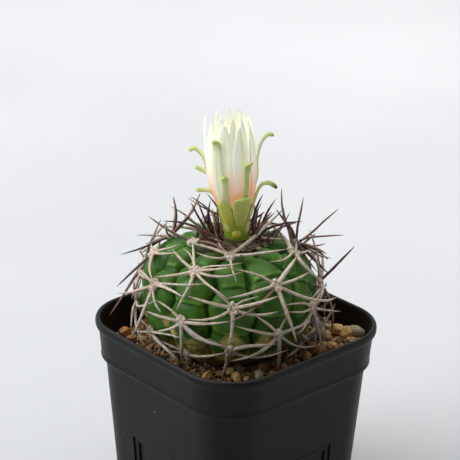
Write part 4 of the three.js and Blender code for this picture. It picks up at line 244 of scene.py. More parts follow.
    ['17', 0.49, 'p', [-27.53, -10.09, 108.49], [-25.03, -13.41, 110.7], [-22.41, -16.56, 114.31], [-19.52, -19, 118.2]],
    ['17', 0.46, 'p', [-28.13, -10.25, 108.05], [-30.04, -14.29, 107.06], [-31.49, -18.46, 105.23], [-32.37, -22.4, 102.84]],
    ['17', 0.62, 'b', [-28.36, -10.02, 107.95], [-31.66, -12.29, 105.53], [-34.74, -14.67, 102.44], [-37.33, -16.99, 99.36]],
    ['17', 0.56, 'b', [-27.54, -9.45, 108.61], [-25.25, -7.73, 112.55], [-22.49, -5.82, 116.55], [-19.61, -3.89, 120.79]],
    ['17', 0.59, 'b', [-28.13, -9.15, 108.27], [-30.05, -5.34, 109.26], [-31.84, -1.08, 109.84], [-33.44, 3.31, 110.07]],
    ['18', 0.49, 'p', [20.75, 24.56, 96.54], [20.48, 23.77, 101.67], [19.5, 22.24, 106.46], [18.1, 20.28, 110.38]],
    ['18', 0.48, 'p', [20.5, 24.78, 96.46], [17.72, 26.63, 102.41], [14.07, 27.64, 108.03], [10.19, 28.45, 113.22]],
    ['18', 0.60, 'p', [20.33, 25.01, 96.07], [17.09, 29.52, 97.52], [12.98, 33.61, 98.92], [8.49, 37.43, 100.33]],
    ['18', 0.50, 'p', [20.36, 25.04, 95.8], [17.31, 28.71, 94.67], [13.59, 31.97, 93.38], [9.54, 34.63, 92.05]],
    ['19', 0.57, 'b', [6.92, 24.63, 107.61], [5.93, 23.12, 112.77], [4.24, 20.32, 117.24], [2.91, 17.08, 122.18]],
    ['19', 0.69, 'b', [7.3, 25.47, 106.85], [9.09, 29.88, 104.95], [10.81, 33.95, 101.91], [12.35, 37.4, 98.26]],
    ['19', 0.63, 'b', [7.52, 24.66, 107.44], [10.76, 22, 109.86], [14.12, 18.83, 111.97], [17.25, 15.19, 113.24]],
    ['19', 0.65, 'b', [7.71, 24.99, 107.13], [12.33, 25.68, 107.74], [17.32, 26.04, 107.78], [22.4, 26.15, 107.37]],
    ['20', 0.62, 'g', [27.07, 10.93, 77.82], [30.36, 15.19, 81.33], [31.57, 18.83, 86.05], [31.99, 22.11, 91.03]],
    ['20', 0.60, 'g', [26.62, 11.09, 77.39], [24.1, 17.46, 76.96], [20.66, 23.51, 77.3], [16.63, 28.82, 78.29]],
    ['20', 0.67, 'g', [26.5, 10.97, 77.21], [23.74, 15.66, 74.44], [20.23, 20.42, 72.78], [16.39, 25.17, 71.01]],
    ['20', 0.49, 'g', [26.5, 10.46, 76.94], [25.51, 10.54, 74.64], [24.54, 10.58, 72.19], [23.59, 10.56, 69.58]],
    ['20', 0.54, 'g', [27.11, 9.99, 77.4], [29.67, 5.53, 76.93], [31.8, 0.59, 76.95], [33.38, -4.46, 77.41]],
    ['20', 0.49, 'g', [27.27, 10.2, 77.69], [32.16, 6.69, 80.65], [35.85, 2.55, 84.32], [38.38, -1.77, 88.11]],
    ['21', 0.51, 'g', [15.34, 26.14, 80.03], [16.95, 28.17, 84.15], [18.09, 29.42, 88.71], [18.86, 30.07, 93.3]],
    ['21', 0.60, 'g', [14.93, 26.3, 79.91], [13.44, 30.16, 82.98], [11.36, 33.44, 86.53], [8.97, 36.01, 90.2]],
    ['21', 0.48, 'g', [14.65, 26.23, 79.57], [9.78, 30.27, 79.73], [4.26, 33.56, 80.46], [-1.45, 35.95, 81.58]],
    ['21', 0.48, 'g', [14.61, 26.1, 79.34], [9.7, 28.14, 77.35], [4.31, 29.81, 75.73], [-1.16, 31.1, 74.57]],
    ['21', 0.67, 'g', [14.72, 25.87, 79.1], [12.71, 26.67, 75.99], [10.15, 27.05, 73.86], [7.35, 27.24, 71.03]],
    ['21', 0.62, 'g', [14.98, 25.64, 79], [14.59, 25.03, 76.08], [13.83, 23.82, 73.34], [12.86, 22.26, 71.03]],
    ['21', 0.64, 'g', [15.5, 25.5, 79.25], [18.29, 24.29, 76.53], [21.14, 22.45, 73.73], [23.97, 20.33, 71.02]],
    ['21', 0.52, 'g', [15.67, 25.61, 79.55], [22.19, 23.23, 79.27], [28.44, 19.84, 79.61], [34.12, 15.83, 80.41]],
    ['21', 0.55, 'g', [15.58, 25.92, 79.93], [19.78, 26.71, 83.37], [23.64, 26.59, 87.37], [27.04, 25.84, 91.45]],
    ['22', 0.60, 'p', [-2.3, 32.18, 98.83], [-1.94, 31.02, 103.98], [-1.54, 28.76, 108.65], [-1.15, 26.02, 112.51]],
    ['22', 0.63, 'p', [-2.76, 32.22, 98.67], [-6.93, 31.27, 103.11], [-11.24, 29.29, 107.06], [-15.49, 26.82, 110.27]],
    ['22', 0.59, 'p', [-2.94, 32.31, 98.32], [-9.65, 33.01, 99.39], [-16.57, 32.55, 100.13], [-23.23, 31.16, 100.55]],
    ['22', 0.69, 'p', [-2.85, 32.42, 97.95], [-7.79, 33.34, 94.97], [-12.88, 33.31, 91.71], [-17.75, 33.12, 88.47]],
    ['22', 0.46, 'p', [-2.63, 32.48, 97.75], [-5.27, 34.18, 93.19], [-7.95, 34.97, 88.36], [-10.48, 34.48, 83.6]],
    ['22', 0.60, 'p', [-2.34, 32.5, 97.68], [-2.4, 35.23, 91.35], [-2.45, 36.92, 84.56], [-2.47, 37.68, 77.77]],
    ['22', 0.61, 'p', [-1.86, 32.44, 97.91], [3.29, 33.89, 94.27], [8.55, 34.24, 90.45], [13.57, 33.86, 86.6]],
    ['22', 0.49, 'p', [-1.75, 32.32, 98.36], [4.86, 33.26, 99.87], [11.8, 33.17, 101.13], [18.69, 32.65, 102.3]],
    ['22', 0.59, 'p', [-1.89, 32.24, 98.64], [2.96, 31.93, 103.25], [7.99, 30.59, 107.6], [12.98, 29.03, 111.93]],
    ['23', 0.47, 'g', [-4.73, 32.39, 84.32], [-4.61, 34.69, 89.83], [-4.39, 36.09, 95.72], [-4.11, 36.58, 101.61]],
    ['23', 0.64, 'g', [-5.13, 32.32, 84.2], [-9.46, 34.23, 89.12], [-13.7, 34.88, 94.3], [-17.49, 33.74, 99.42]],
    ['23', 0.66, 'g', [-5.35, 32.18, 83.76], [-12.05, 32.04, 83.99], [-19.09, 31.16, 84.22], [-25.48, 29.29, 84.41]],
    ['23', 0.56, 'g', [-5.28, 32.11, 83.5], [-9.84, 32.04, 80.95], [-14.61, 31.12, 78.5], [-19.27, 29.63, 76.31]],
    ['23', 0.60, 'g', [-4.95, 32.06, 83.21], [-6.97, 30.42, 77.77], [-9.14, 27.59, 74.23], [-11.47, 24.39, 71.04]],
    ['23', 0.49, 'g', [-4.68, 32.07, 83.17], [-4.13, 30.98, 77.97], [-3.41, 28.72, 74.55], [-2.6, 26.08, 71]],
    ['23', 0.46, 'g', [-4.25, 32.18, 83.42], [1.18, 31.76, 79.71], [6.79, 30.27, 76.69], [12.19, 28.04, 74.61]],
    ['23', 0.46, 'g', [-4.15, 32.28, 83.74], [1.85, 34.39, 83.24], [8.36, 35.66, 82.99], [14.97, 36.3, 82.94]],
    ['23', 0.55, 'g', [-4.4, 32.39, 84.21], [-1, 34.33, 88.73], [2.59, 35.3, 93.5], [6.07, 35.31, 98.17]],
    ['24', 0.52, 'p', [-36.53, -7.69, 87.49], [-37.86, -7.59, 93.65], [-37.85, -7.28, 100.07], [-36.74, -6.81, 105.85]],
    ['24', 0.56, 'p', [-36.46, -8.07, 87.37], [-37.11, -12.29, 92.61], [-36.46, -16.38, 98.11], [-34.7, -20.04, 103.21]],
    ['24', 0.47, 'p', [-36.39, -8.28, 87.06], [-36.07, -14.45, 88.83], [-34.59, -20.52, 90.74], [-32.26, -26.06, 92.65]],
    ['24', 0.47, 'p', [-36.34, -8.22, 86.61], [-35.7, -13.06, 83.9], [-34.04, -17.89, 81.34], [-31.67, -22.38, 79.19]],
    ['24', 0.63, 'p', [-36.36, -7.95, 86.35], [-36.3, -10.27, 81.28], [-35.1, -12.53, 76.16], [-33.35, -14.69, 71.36]],
    ['24', 0.56, 'p', [-36.41, -7.56, 86.31], [-37.28, -6.6, 81.19], [-37.11, -5.35, 75.85], [-36.47, -3.97, 70.99]],
    ['24', 0.66, 'p', [-36.49, -7.23, 86.53], [-37.88, -1.83, 81.92], [-38.05, 3.95, 77.38], [-37.64, 9.75, 73.12]],
    ['24', 0.54, 'p', [-36.56, -7.11, 86.93], [-38.09, -1.58, 87.22], [-38.68, 4.28, 87.63], [-38.43, 10.01, 88.1]],
    ['24', 0.61, 'p', [-36.57, -7.36, 87.37], [-39, -3.92, 92.28], [-40.37, -0.2, 97.68], [-40.95, 3.62, 103.15]],
    ['25', 0.67, 'b', [-15.32, 17.85, 110.12], [-13.02, 13.49, 114.67], [-10.48, 8.79, 119.27], [-7.92, 4.09, 124.37]],
    ['25', 0.54, 'p', [-15.65, 17.76, 110.06], [-16.56, 12.52, 112.97], [-17.38, 6.8, 115.37], [-18.12, 0.97, 117.35]],
    ['25', 0.62, 'p', [-16.04, 17.94, 109.86], [-20.13, 15.6, 111.45], [-24.45, 12.85, 112.69], [-28.8, 9.92, 113.66]],
    ['25', 0.57, 'p', [-16.15, 18.28, 109.68], [-21.14, 18.43, 109.11], [-26.15, 18.17, 107.63], [-30.75, 17.49, 105.47]],
    ['25', 0.49, 'b', [-16.05, 18.57, 109.58], [-21, 21.55, 107.94], [-25.54, 23.76, 104.76], [-29.21, 25.16, 100.63]],
    ['25', 0.55, 'b', [-15.74, 18.82, 109.56], [-17.5, 23.44, 108.27], [-19.05, 27.86, 105.81], [-20.24, 31.7, 102.63]],
    ['25', 0.68, 'p', [-15.45, 18.86, 109.63], [-14.95, 24.32, 109.05], [-14.09, 29.82, 107.42], [-12.94, 34.96, 105.1]],
    ['25', 0.55, 'p', [-15.03, 18.57, 109.89], [-10.76, 21, 111.07], [-6.06, 23.36, 111.77], [-1.25, 25.54, 112.02]],
    ['25', 0.56, 'b', [-15.04, 18.15, 110.07], [-10.15, 16.97, 113.7], [-4.89, 15.49, 117.07], [0.3, 14.04, 121.16]],
    ['26', 0.61, 'p', [-20.75, 27.07, 96.75], [-20.37, 26.4, 102.2], [-19.36, 24.74, 107.19], [-18.04, 22.65, 111.34]],
    ['26', 0.58, 'p', [-21.09, 26.88, 96.61], [-24.51, 26.35, 101.15], [-27.46, 24.48, 105.9], [-29.54, 21.24, 110.19]],
    ['26', 0.46, 'p', [-21.28, 26.82, 96.29], [-25.98, 23.95, 97.66], [-30.1, 20.07, 98.75], [-33.71, 15.75, 99.57]],
    ['26', 0.47, 'p', [-21.25, 26.93, 95.83], [-25.81, 24.8, 92.44], [-30.55, 22.25, 89.05], [-34, 18.56, 85.83]],
    ['26', 0.59, 'p', [-21.06, 27.09, 95.62], [-24.44, 27.66, 90.52], [-27.45, 27.42, 84.87], [-29.93, 26.48, 78.97]],
    ['26', 0.59, 'p', [-20.76, 27.3, 95.57], [-20.87, 29.15, 90.29], [-20.12, 29.83, 84.71], [-18.82, 29.84, 79.39]],
    ['26', 0.55, 'p', [-20.43, 27.47, 95.8], [-17.03, 30.41, 92.46], [-13.18, 32.97, 88.98], [-9.39, 35.5, 85.59]],
    ['26', 0.63, 'p', [-20.3, 27.47, 96.21], [-15.76, 32.1, 97.13], [-10.37, 36.13, 97.92], [-4.59, 39.56, 98.59]],
    ['26', 0.56, 'p', [-20.4, 27.34, 96.56], [-16.98, 29.36, 100.51], [-12.85, 30.57, 104.2], [-8.44, 31.19, 107.31]],
    ['27', 0.68, 'g', [-21.7, 25.39, 82.19], [-22.8, 28.23, 88.34], [-23.35, 30.31, 94.83], [-23.63, 31.91, 101.24]],
    ['27', 0.46, 'g', [-22.08, 25.03, 82], [-26.94, 23.23, 86.04], [-31.52, 20.89, 90.43], [-34.9, 17.93, 94.8]],
    ['27', 0.56, 'g', [-22.13, 24.86, 81.74], [-27.07, 22.04, 82.27], [-32.65, 19.12, 83.3], [-37.47, 15.99, 84.96]],
    ['27', 0.61, 'g', [-21.94, 24.78, 81.31], [-25.25, 20.68, 77.71], [-28.1, 15.75, 74.86], [-30.54, 10.53, 72.85]],
    ['27', 0.62, 'g', [-21.77, 24.83, 81.17], [-23.18, 22.28, 76.91], [-24.3, 18.84, 73.82], [-25.4, 15.09, 71]],
    ['27', 0.52, 'g', [-21.5, 24.98, 81.08], [-20.44, 23.4, 76.57], [-18.8, 21.01, 73.54], [-16.92, 18.26, 70.99]],
    ['27', 0.65, 'g', [-21.14, 25.37, 81.35], [-17.12, 27.49, 78.45], [-12.47, 29.08, 75.91], [-7.6, 30.2, 73.9]],
    ['27', 0.53, 'g', [-21.18, 25.56, 81.76], [-16.78, 31.41, 82.61], [-11.2, 35.54, 84.43], [-5.01, 38.09, 86.63]],
    ['27', 0.48, 'g', [-21.4, 25.54, 82.05], [-19.34, 28.94, 85.81], [-17.23, 32.47, 89.81], [-14.76, 35.23, 93.81]],
    ['28', 0.67, 'p', [-30.79, 9.5, 104.55], [-28.53, 8.33, 108.85], [-25.6, 6.86, 112.77], [-22.44, 5.3, 116.24]],
    ['28', 0.66, 'p', [-30.99, 9.21, 104.45], [-30.23, 5.32, 108.34], [-28.89, 1.01, 111.79], [-27.32, -3.41, 114.78]],
    ['28', 0.64, 'p', [-31.26, 9.09, 104.17], [-33.62, 3.91, 106.01], [-35.51, -1.84, 107.42], [-36.98, -7.77, 108.43]],
    ['28', 0.63, 'p', [-31.48, 9.28, 103.81], [-36, 6.38, 102.14], [-39.98, 2.88, 99.64], [-42.71, -0.99, 96.58]],
    ['28', 0.55, 'p', [-31.51, 9.48, 103.67], [-35.41, 7.32, 99.2], [-37.99, 4.68, 94.19], [-40.15, 2.13, 89.36]],
    ['28', 0.59, 'p', [-31.44, 9.82, 103.59], [-35.34, 11.43, 98.41], [-37.84, 12.65, 92.63], [-39.46, 13.59, 86.81]],
    ['28', 0.59, 'p', [-31.13, 10.19, 103.78], [-32.45, 15.6, 101.66], [-32.46, 20.66, 98.55], [-31.16, 24.92, 94.97]],
    ['28', 0.65, 'p', [-30.88, 10.22, 104.07], [-28.94, 16.36, 104.46], [-25.93, 22.15, 104], [-22.82, 27.92, 103.5]],
    ['28', 0.55, 'p', [-30.73, 10.02, 104.37], [-27.8, 13.8, 108.37], [-24.17, 17.55, 112.26], [-20.34, 21.24, 116.2]],
    ['29', 0.58, 'p', [-34.03, 12.19, 90.59], [-35.49, 13.06, 95.92], [-36.07, 13.4, 101.91], [-35.73, 13.29, 107.96]],
    ['29', 0.60, 'p', [-34.21, 11.77, 90.39], [-37.6, 7.65, 94.92], [-38.96, 2.57, 99.59], [-39.95, -2.55, 104.2]],
    ['29', 0.59, 'p', [-34.26, 11.64, 90.13], [-38.04, 7.54, 91.36], [-41.34, 2.71, 92.73], [-44.18, -2.46, 94.17]],
    ['29', 0.53, 'p', [-34.24, 11.68, 89.71], [-37.33, 7.83, 87.17], [-39.72, 3.34, 84.42], [-41.43, -1.41, 81.65]],
    ['29', 0.53, 'p', [-34.13, 11.91, 89.46], [-35.75, 9.41, 83.95], [-36.69, 6.64, 78.25], [-36.23, 3.3, 73.47]],
    ['29', 0.56, 'p', [-34.02, 12.15, 89.39], [-34.77, 12.27, 83.69], [-34.28, 11.83, 77.87], [-33.06, 11.06, 72.57]],
    ['29', 0.68, 'p', [-33.82, 12.62, 89.64], [-32.63, 17.12, 86.84], [-30.99, 21.69, 83.33], [-28.06, 24.86, 79.88]],
    ['29', 0.69, 'p', [-33.78, 12.72, 90.05], [-31.53, 19.01, 91.02], [-28.39, 25.11, 91.79], [-24.08, 29.97, 92.28]],
    ['29', 0.59, 'p', [-33.84, 12.59, 90.38], [-32.46, 17.78, 94.99], [-30.23, 22.78, 100], [-27.32, 27.23, 104.64]],
    ['30', 0.60, 'g', [-31.51, 8.65, 77.87], [-35.5, 10.4, 82.48], [-37.75, 11.31, 87.82], [-38.26, 11.45, 93.41]],
    ['30', 0.57, 'g', [-31.56, 8.25, 77.77], [-35.81, 6.44, 80.32], [-40.02, 4.42, 83.44], [-43.58, 2.17, 86.92]],
    ['30', 0.69, 'g', [-31.44, 7.99, 77.51], [-35.4, 3.67, 77.57], [-38.73, -1.33, 78.34], [-41.1, -6.66, 79.62]],
    ['30', 0.49, 'g', [-31.13, 7.97, 77.14], [-30.95, 1.9, 73.92], [-30.12, -4.6, 72.14], [-28.96, -11.14, 70.99]],
    ['30', 0.49, 'g', [-30.9, 8.18, 76.97], [-29.95, 6.65, 74.37], [-28.46, 4.77, 72.71], [-26.68, 2.73, 70.98]],
    ['30', 0.60, 'g', [-30.78, 8.45, 76.94], [-28.87, 8.34, 74.31], [-26.27, 8, 72.77], [-23.19, 7.48, 71.02]],
    ['30', 0.54, 'g', [-30.76, 8.81, 77.07], [-28.78, 11.06, 74.76], [-26.47, 13.33, 73.02], [-24.01, 15.62, 71]],
    ['30', 0.51, 'g', [-31.03, 9.08, 77.5], [-30.72, 14.22, 77.74], [-29.71, 19.42, 78.57], [-28.08, 24.26, 79.8]],
    ['30', 0.53, 'g', [-31.26, 9, 77.73], [-32.68, 13.56, 80.53], [-33.16, 17.91, 84.01], [-33.08, 22.06, 87.44]],
]
# flower scales: stations of [height, distance from the flower's axis, bearing, half width]
SCALES = {
    'scale_1': [[8.6, 5.71, -38, 1.6], [11, 6.05, -38, 2.6], [14, 6.5, -38, 2.2], [17, 7.3, -38, 0.35]],
    'scale_2': [[8.4, 5.69, 22, 2], [11, 6.05, 22, 3.1], [14, 6.6, 22, 3], [16.4, 7.6, 22, 2.2], [17.8, 8.9, 22, 0.5]],
    'scale_3': [[9, 5.75, 76, 1.4], [11.5, 6.1, 76, 1.9], [13.4, 6.39, 76, 1.6], [15.2, 6.9, 76, 0.35]],
    'scale_4': [[17.2, 7.64, -40, 1.5], [20, 8.54, -37, 1.3], [23, 9.41, -35, 1.2], [25.5, 10.73, -33, 1.5], [26.4, 12.73, -32, 0.4]],
    'scale_5': [[18, 7.85, 44, 1.3], [23, 9.11, 46, 1.2], [28, 9.71, 47, 1.2], [31.6, 10.4, 48, 1.5], [33.2, 12.4, 49, 0.4]],
    'scale_6': [[27, 9.32, -64, 2], [33, 9.7, -63, 2.1], [38, 9.87, -62, 1.8], [42.2, 10.13, -61, 1.7], [44.2, 12.43, -60, 0.4]],
    'scale_7': [[27.5, 9.4, -96, 1.6], [31.5, 10.6, -95, 1.6], [35.5, 12.6, -94, 1.5], [38.2, 15.2, -93, 1.4], [37.4, 17.2, -92, 0.35]],
    'scale_8': [[26.6, 9.6, -112, 1.4], [27.8, 11.6, -110, 1.3], [28.8, 13.6, -108, 1.1], [29.6, 15.4, -107, 0.35]],
    'scale_9': [[14.6, 6.31, -84, 1.5], [18.3, 7.9, -84, 1.6], [20.8, 10.2, -84, 1.5], [21.4, 13, -84, 1.2], [21.6, 15.4, -84, 0.35]],
    'scale_10': [[33.2, 9.7, 96, 1.6], [37, 10.8, 95, 1.5], [40.5, 12.6, 94, 1.4], [42.8, 14.8, 93, 1.3], [42.4, 16.8, 92, 0.35]],
    'scale_11': [[16.9, 7.5, 84, 1.6], [20.6, 8.9, 84, 1.6], [23.2, 10.6, 84, 1.5], [23.8, 13, 84, 1.3], [21.8, 16, 84, 0.35]],
    'scale_12': [[18.5, 8.4, 150, 1.6], [22.5, 9.6, 150, 1.6], [25.3, 11.4, 150, 1.4], [26, 13.6, 150, 0.35]],
}
CORK = [[-0.44, -36.54, 88.94, 3.4], [11.5, -32.67, 82.67, 4.2], [14.54, -30.87, 82.02, 3.2], [24.42, -24.34, 87.42, 3.6], [22.96, -25.47, 85.16, 3], [30.69, -12.49, 85.62, 3.2], [29.78, -13.62, 83.57, 2.8], [-18.74, -32.08, 82.9, 2.6], [25.92, -21.66, 84.67, 3], [4.14, -35.74, 85.84, 3.2], [30.59, 5.17, 82.5, 3]]
BUDS = [[-17.67, -1.91, 112, 1.25, 1.9], [-13.53, -8.78, 112.48, 1.1, 1.6]]
LEAF = [24.4, 8.29, 73]
STONES = [
    [27.65, -12.82, 70.54, 4.4, (0.72, 0.66, 0.55), (1, 0.9, 0.8)],
    [15.72, -28.30, 70.39, 5.4, (0.55, 0.36, 0.15), (1.5, 0.75, 0.7)],
    [17.34, -23.24, 70.40, 4.0, (0.34, 0.2, 0.09), (1.1, 0.9, 0.8)],
    [19.82, -19.92, 70.67, 4.2, (0.36, 0.33, 0.1), (1, 0.9, 0.9)],
    [24.15, -20.77, 70.54, 4.4, (0.6, 0.42, 0.2), (1.1, 0.9, 0.8)],
    [22.65, 33.72, 73.01, 6.6, (0.6, 0.4, 0.17), (1, 0.95, 0.9)],
    [26.92, 33.90, 72.96, 5.6, (0.6, 0.41, 0.19), (1, 0.95, 0.9)],
    [29.40, 37.51, 72.64, 6.4, (0.34, 0.3, 0.22), (0.8, 1.1, 0.9)],
    [33.16, 31.53, 72.25, 5.0, (0.6, 0.38, 0.16), (1.3, 0.9, 0.8)],
    [29.95, 23.84, 71.60, 6.0, (0.56, 0.38, 0.17), (1.2, 0.9, 0.8)],
    [29.10, 17.68, 71.31, 4.6, (0.42, 0.26, 0.11), (1, 1, 0.8)],
    [24.67, 17.13, 71.54, 4.4, (0.36, 0.23, 0.11), (1, 1, 0.8)],
    [21.42, 26.24, 71.65, 5.0, (0.38, 0.27, 0.15), (1, 1, 0.8)],
    [28.43, 10.85, 71.14, 4.4, (0.5, 0.3, 0.12), (1, 1, 0.8)],
    [27.47, -18.73, 70.52, 3.2, (0.45, 0.3, 0.13), (1, 1, 0.8)],
    [23.86, -7.80, 70.46, 3.6, (0.4, 0.28, 0.14), (1, 1, 0.8)],
    [19.12, -14.74, 70.46, 3.6, (0.3, 0.28, 0.12), (1, 1, 0.8)],
    [-33.88, -27.98, 69.65, 5.0, (0.36, 0.18, 0.07), (1, 1, 0.9)],
    [-28.52, -29.26, 69.51, 4.6, (0.3, 0.16, 0.07), (1, 1, 0.9)],
    [29.50, -1.68, 70.66, 3.6, (0.46, 0.3, 0.14), (1, 1, 0.8)],
    [29.07, 4.98, 70.89, 3.4, (0.3, 0.2, 0.1), (1, 1, 0.8)],
]
FB, FA, FS, FF = (np.array(v) for v in ([-0.54250, 0.89200, 112.00000], [-0.03164, -0.03515, 0.99888], [0.66828, 0.74241, 0.04729], [0.74324, -0.66903, -0.00000]))
ENVELOPE = [[0, 4.7], [4, 5.0], [8, 5.6], [12, 6.3], [16.5, 7.2], [20.6, 8.3], [24.7, 9.1], [28.9, 9.5], [33, 9.6], [37, 9.6], [41, 9.4], [45.4, 8.9], [49.5, 8.1], [53, 6.9]]
TUBE = [[0, 4.2], [4, 4.65], [8, 5.35], [12, 6.1], [16, 6.7], [18, 6.9]]
CEN = np.array([-1.732, -2.199, 90.975])
A, B, POW = 34.4, 22.4, 2.5


# ------------------------------------------------------------------ numeric helpers
def unit(v):
    v = np.asarray(v, float)
    return v / np.maximum(np.linalg.norm(v, axis=-1, keepdims=True), 1e-12)


def hash3(i, j, k, seed):
    n = (i * 374761393 + j * 668265263 + k * 2147483647 + seed * 1274126177) & 0xFFFFFFFF
    n = ((n ^ (n >> 13)) * 1274126177) & 0xFFFFFFFF
    n = (n ^ (n >> 16)) & 0xFFFFFFFF
    return n.astype(np.float64) / 4294967295.0


def vnoise(P, scale, seed=0):
    """Smooth value noise in -1..1 at points P (mm), one cell every `scale` mm."""
    Q = np.asarray(P, float) / scale + 1000.0
    I = np.floor(Q).astype(np.int64)
    f = Q - I
    f = f * f * (3 - 2 * f)
    out = np.zeros(len(Q))
    for dx in (0, 1):
        for dy in (0, 1):
            for dz in (0, 1):
                w = (f[:, 0] if dx else 1 - f[:, 0]) * (f[:, 1] if dy else 1 - f[:, 1]) * (f[:, 2] if dz else 1 - f[:, 2])
                out += w * hash3(I[:, 0] + dx, I[:, 1] + dy, I[:, 2] + dz, seed)
    return out * 2 - 1


def fbm(P, scale, seed=0, octaves=3):
    s, a, t = 0.0, 1.0, 0.0
    for o in range(octaves):
        s = s + a * vnoise(P, scale / 2 ** o, seed + 17 * o)
        t += a
        a *= 0.5
    return s / t


def smooth(a, b, x):
    t = np.clip((np.asarray(x, float) - a) / (b - a), 0, 1)
    return t * t * (3 - 2 * t)


def catmull(P, n):
    """n points on a smooth curve through the rows of P."""
    P = np.asarray(P, float)
    d = np.r_[0, np.cumsum(np.maximum(np.linalg.norm(np.diff(P[:, :3], axis=0), axis=1), 1e-6) ** 0.5)]
    m = np.gradient(P, d, axis=0)
    x = np.linspace(0, d[-1], n)
    i = np.clip(np.searchsorted(d, x, side="right") - 1, 0, len(d) - 2)
    h = (d[i + 1] - d[i])[:, None]
    t = (x - d[i])[:, None] / h
    return (2 * t ** 3 - 3 * t ** 2 + 1) * P[i] + (t ** 3 - 2 * t ** 2 + t) * h * m[i] + (-2 * t ** 3 + 3 * t ** 2) * P[i + 1] + (t ** 3 - t ** 2) * h * m[i + 1]


def envelope(h):
    return np.interp(h, [e[0] for e in ENVELOPE], [e[1] for e in ENVELOPE])


def tube_r(h):
    return np.interp(h, [e[0] for e in TUBE], [e[1] for e in TUBE])


def flower_point(h, rho, deg):
    a = np.radians(deg)
    h, rho, a = np.broadcast_arrays(np.asarray(h, float), np.asarray(rho, float), a)
    drift = 0.5 + 0.7 * smooth(0, 34, h)
    return FB + h[..., None] * FA - drift[..., None] * FS + rho[..., None] * (np.cos(a)[..., None] * FF + np.sin(a)[..., None] * FS)


def globe(az, u):
    r = A * np.abs(np.cos(u)) ** (2 / POW)
    z = B * np.sign(np.sin(u)) * np.abs(np.sin(u)) ** (2 / POW)
    return CEN + np.stack([r * np.cos(az), r * np.sin(az), z], -1)


def globe_normal(P):
    q = np.asarray(P, float) - CEN
    r = np.hypot(q[..., 0], q[..., 1]) + 1e-9
    gr = (r / A) ** (POW - 1) / A
    gz = np.sign(q[..., 2]) * (np.abs(q[..., 2]) / B) ** (POW - 1) / B
    return unit(np.stack([gr * q[..., 0] / r, gr * q[..., 1] / r, gz], -1))


def lerp_c(a, b, t):
    return np.asarray(a)[None, :] * (1 - t[:, None]) + np.asarray(b)[None, :] * t[:, None]


# ------------------------------------------------------------------ mesh helpers
class Soup:
    """Vertices, faces, material indices and per-vertex values gathered for one piece."""

    def __init__(self):
        self.v, self.f, self.m, self.a = [], [], [], {}
        self.n = 0

    def add(self, verts, faces, material=0, **values):
        verts = np.asarray(verts, float).reshape(-1, 3)
        self.v.append(verts)
        self.f.extend([tuple(int(i) + self.n for i in f) for f in faces])
        self.m.extend([material] * len(faces))
        for k in set(self.a) | set(values):
            self.a.setdefault(k, [(self.n, None)] if self.n else [])
            self.a[k].append((len(verts), values.get(k)))
        self.n += len(verts)

    def build(self, name, materials, smooth_angle=None):
        me = bpy.data.meshes.new(name)
        V = np.vstack(self.v) * MM
        me.from_pydata(V.tolist(), [], self.f)
        for k, parts in self.a.items():
            wide = max((np.asarray(p).ndim for _, p in parts if p is not None), default=0) > 1
            if wide:
                data = np.ones((len(V), 4))
            else:
                data = np.zeros(len(V))
            at = 0
            for n, p in parts:
                if p is not None:
                    if wide:
                        data[at:at + n, :3] = np.asarray(p)
                    else:
                        data[at:at + n] = p
                at += n
            if wide:
                attr = me.attributes.new(k, "FLOAT_COLOR", "POINT")
                attr.data.foreach_set("color", data.ravel().astype(np.float32))
            else:
                attr = me.attributes.new(k, "FLOAT", "POINT")
                attr.data.foreach_set("value", data.astype(np.float32))
        for m in materials:
            me.materials.append(m)
        me.polygons.foreach_set("material_index", self.m)
        me.polygons.foreach_set("use_smooth", [True] * len(me.polygons))
        me.validate()
        me.update()
        if smooth_angle is not None:
            me.set_sharp_from_angle(angle=math.radians(smooth_angle))
        ob = bpy.data.objects.new(name, me)
        bpy.context.scene.collection.objects.link(ob)
        return ob


def ring_faces(rows, n, close_start=True, close_end=True, base=0):
    """Quads between `rows` rings of n points; the ends closed by n-gons."""
    F = []
    for i in range(rows - 1):
        for j in range(n):
            a, b = base + i * n + j, base + i * n + (j + 1) % n
            F.append((a, b, b + n, a + n))
    if close_start:
        F.append(tuple(base + j for j in range(n))[::-1])
    if close_end:
        F.append(tuple(base + (rows - 1) * n + j for j in range(n)))
    return F


def sweep(P, R, sides, squash=1.0, twist=0.0, phase=0.0):
    """Rings of `sides` points along the curve P with radii R."""
    P = np.asarray(P, float)
    T = unit(np.gradient(P, axis=0))
    ref = np.array([0, 0, 1.0]) if abs(T[0, 2]) < 0.9 else np.array([1.0, 0, 0])
    side = unit(np.cross(T[0], ref))
    rings = []
    for i in range(len(P)):
        side = unit(side - np.dot(side, T[i]) * T[i])
        up = np.cross(T[i], side)
        a = 2 * np.pi * np.arange(sides) / sides + phase + twist * i / len(P)
        rings.append(P[i] + R[i] * (np.cos(a)[:, None] * side + squash * np.sin(a)[:, None] * up))
    return np.vstack(rings)


def finish_piece(ob, nodes):
    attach(ob, "root")
    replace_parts(ob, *nodes)
    return ob


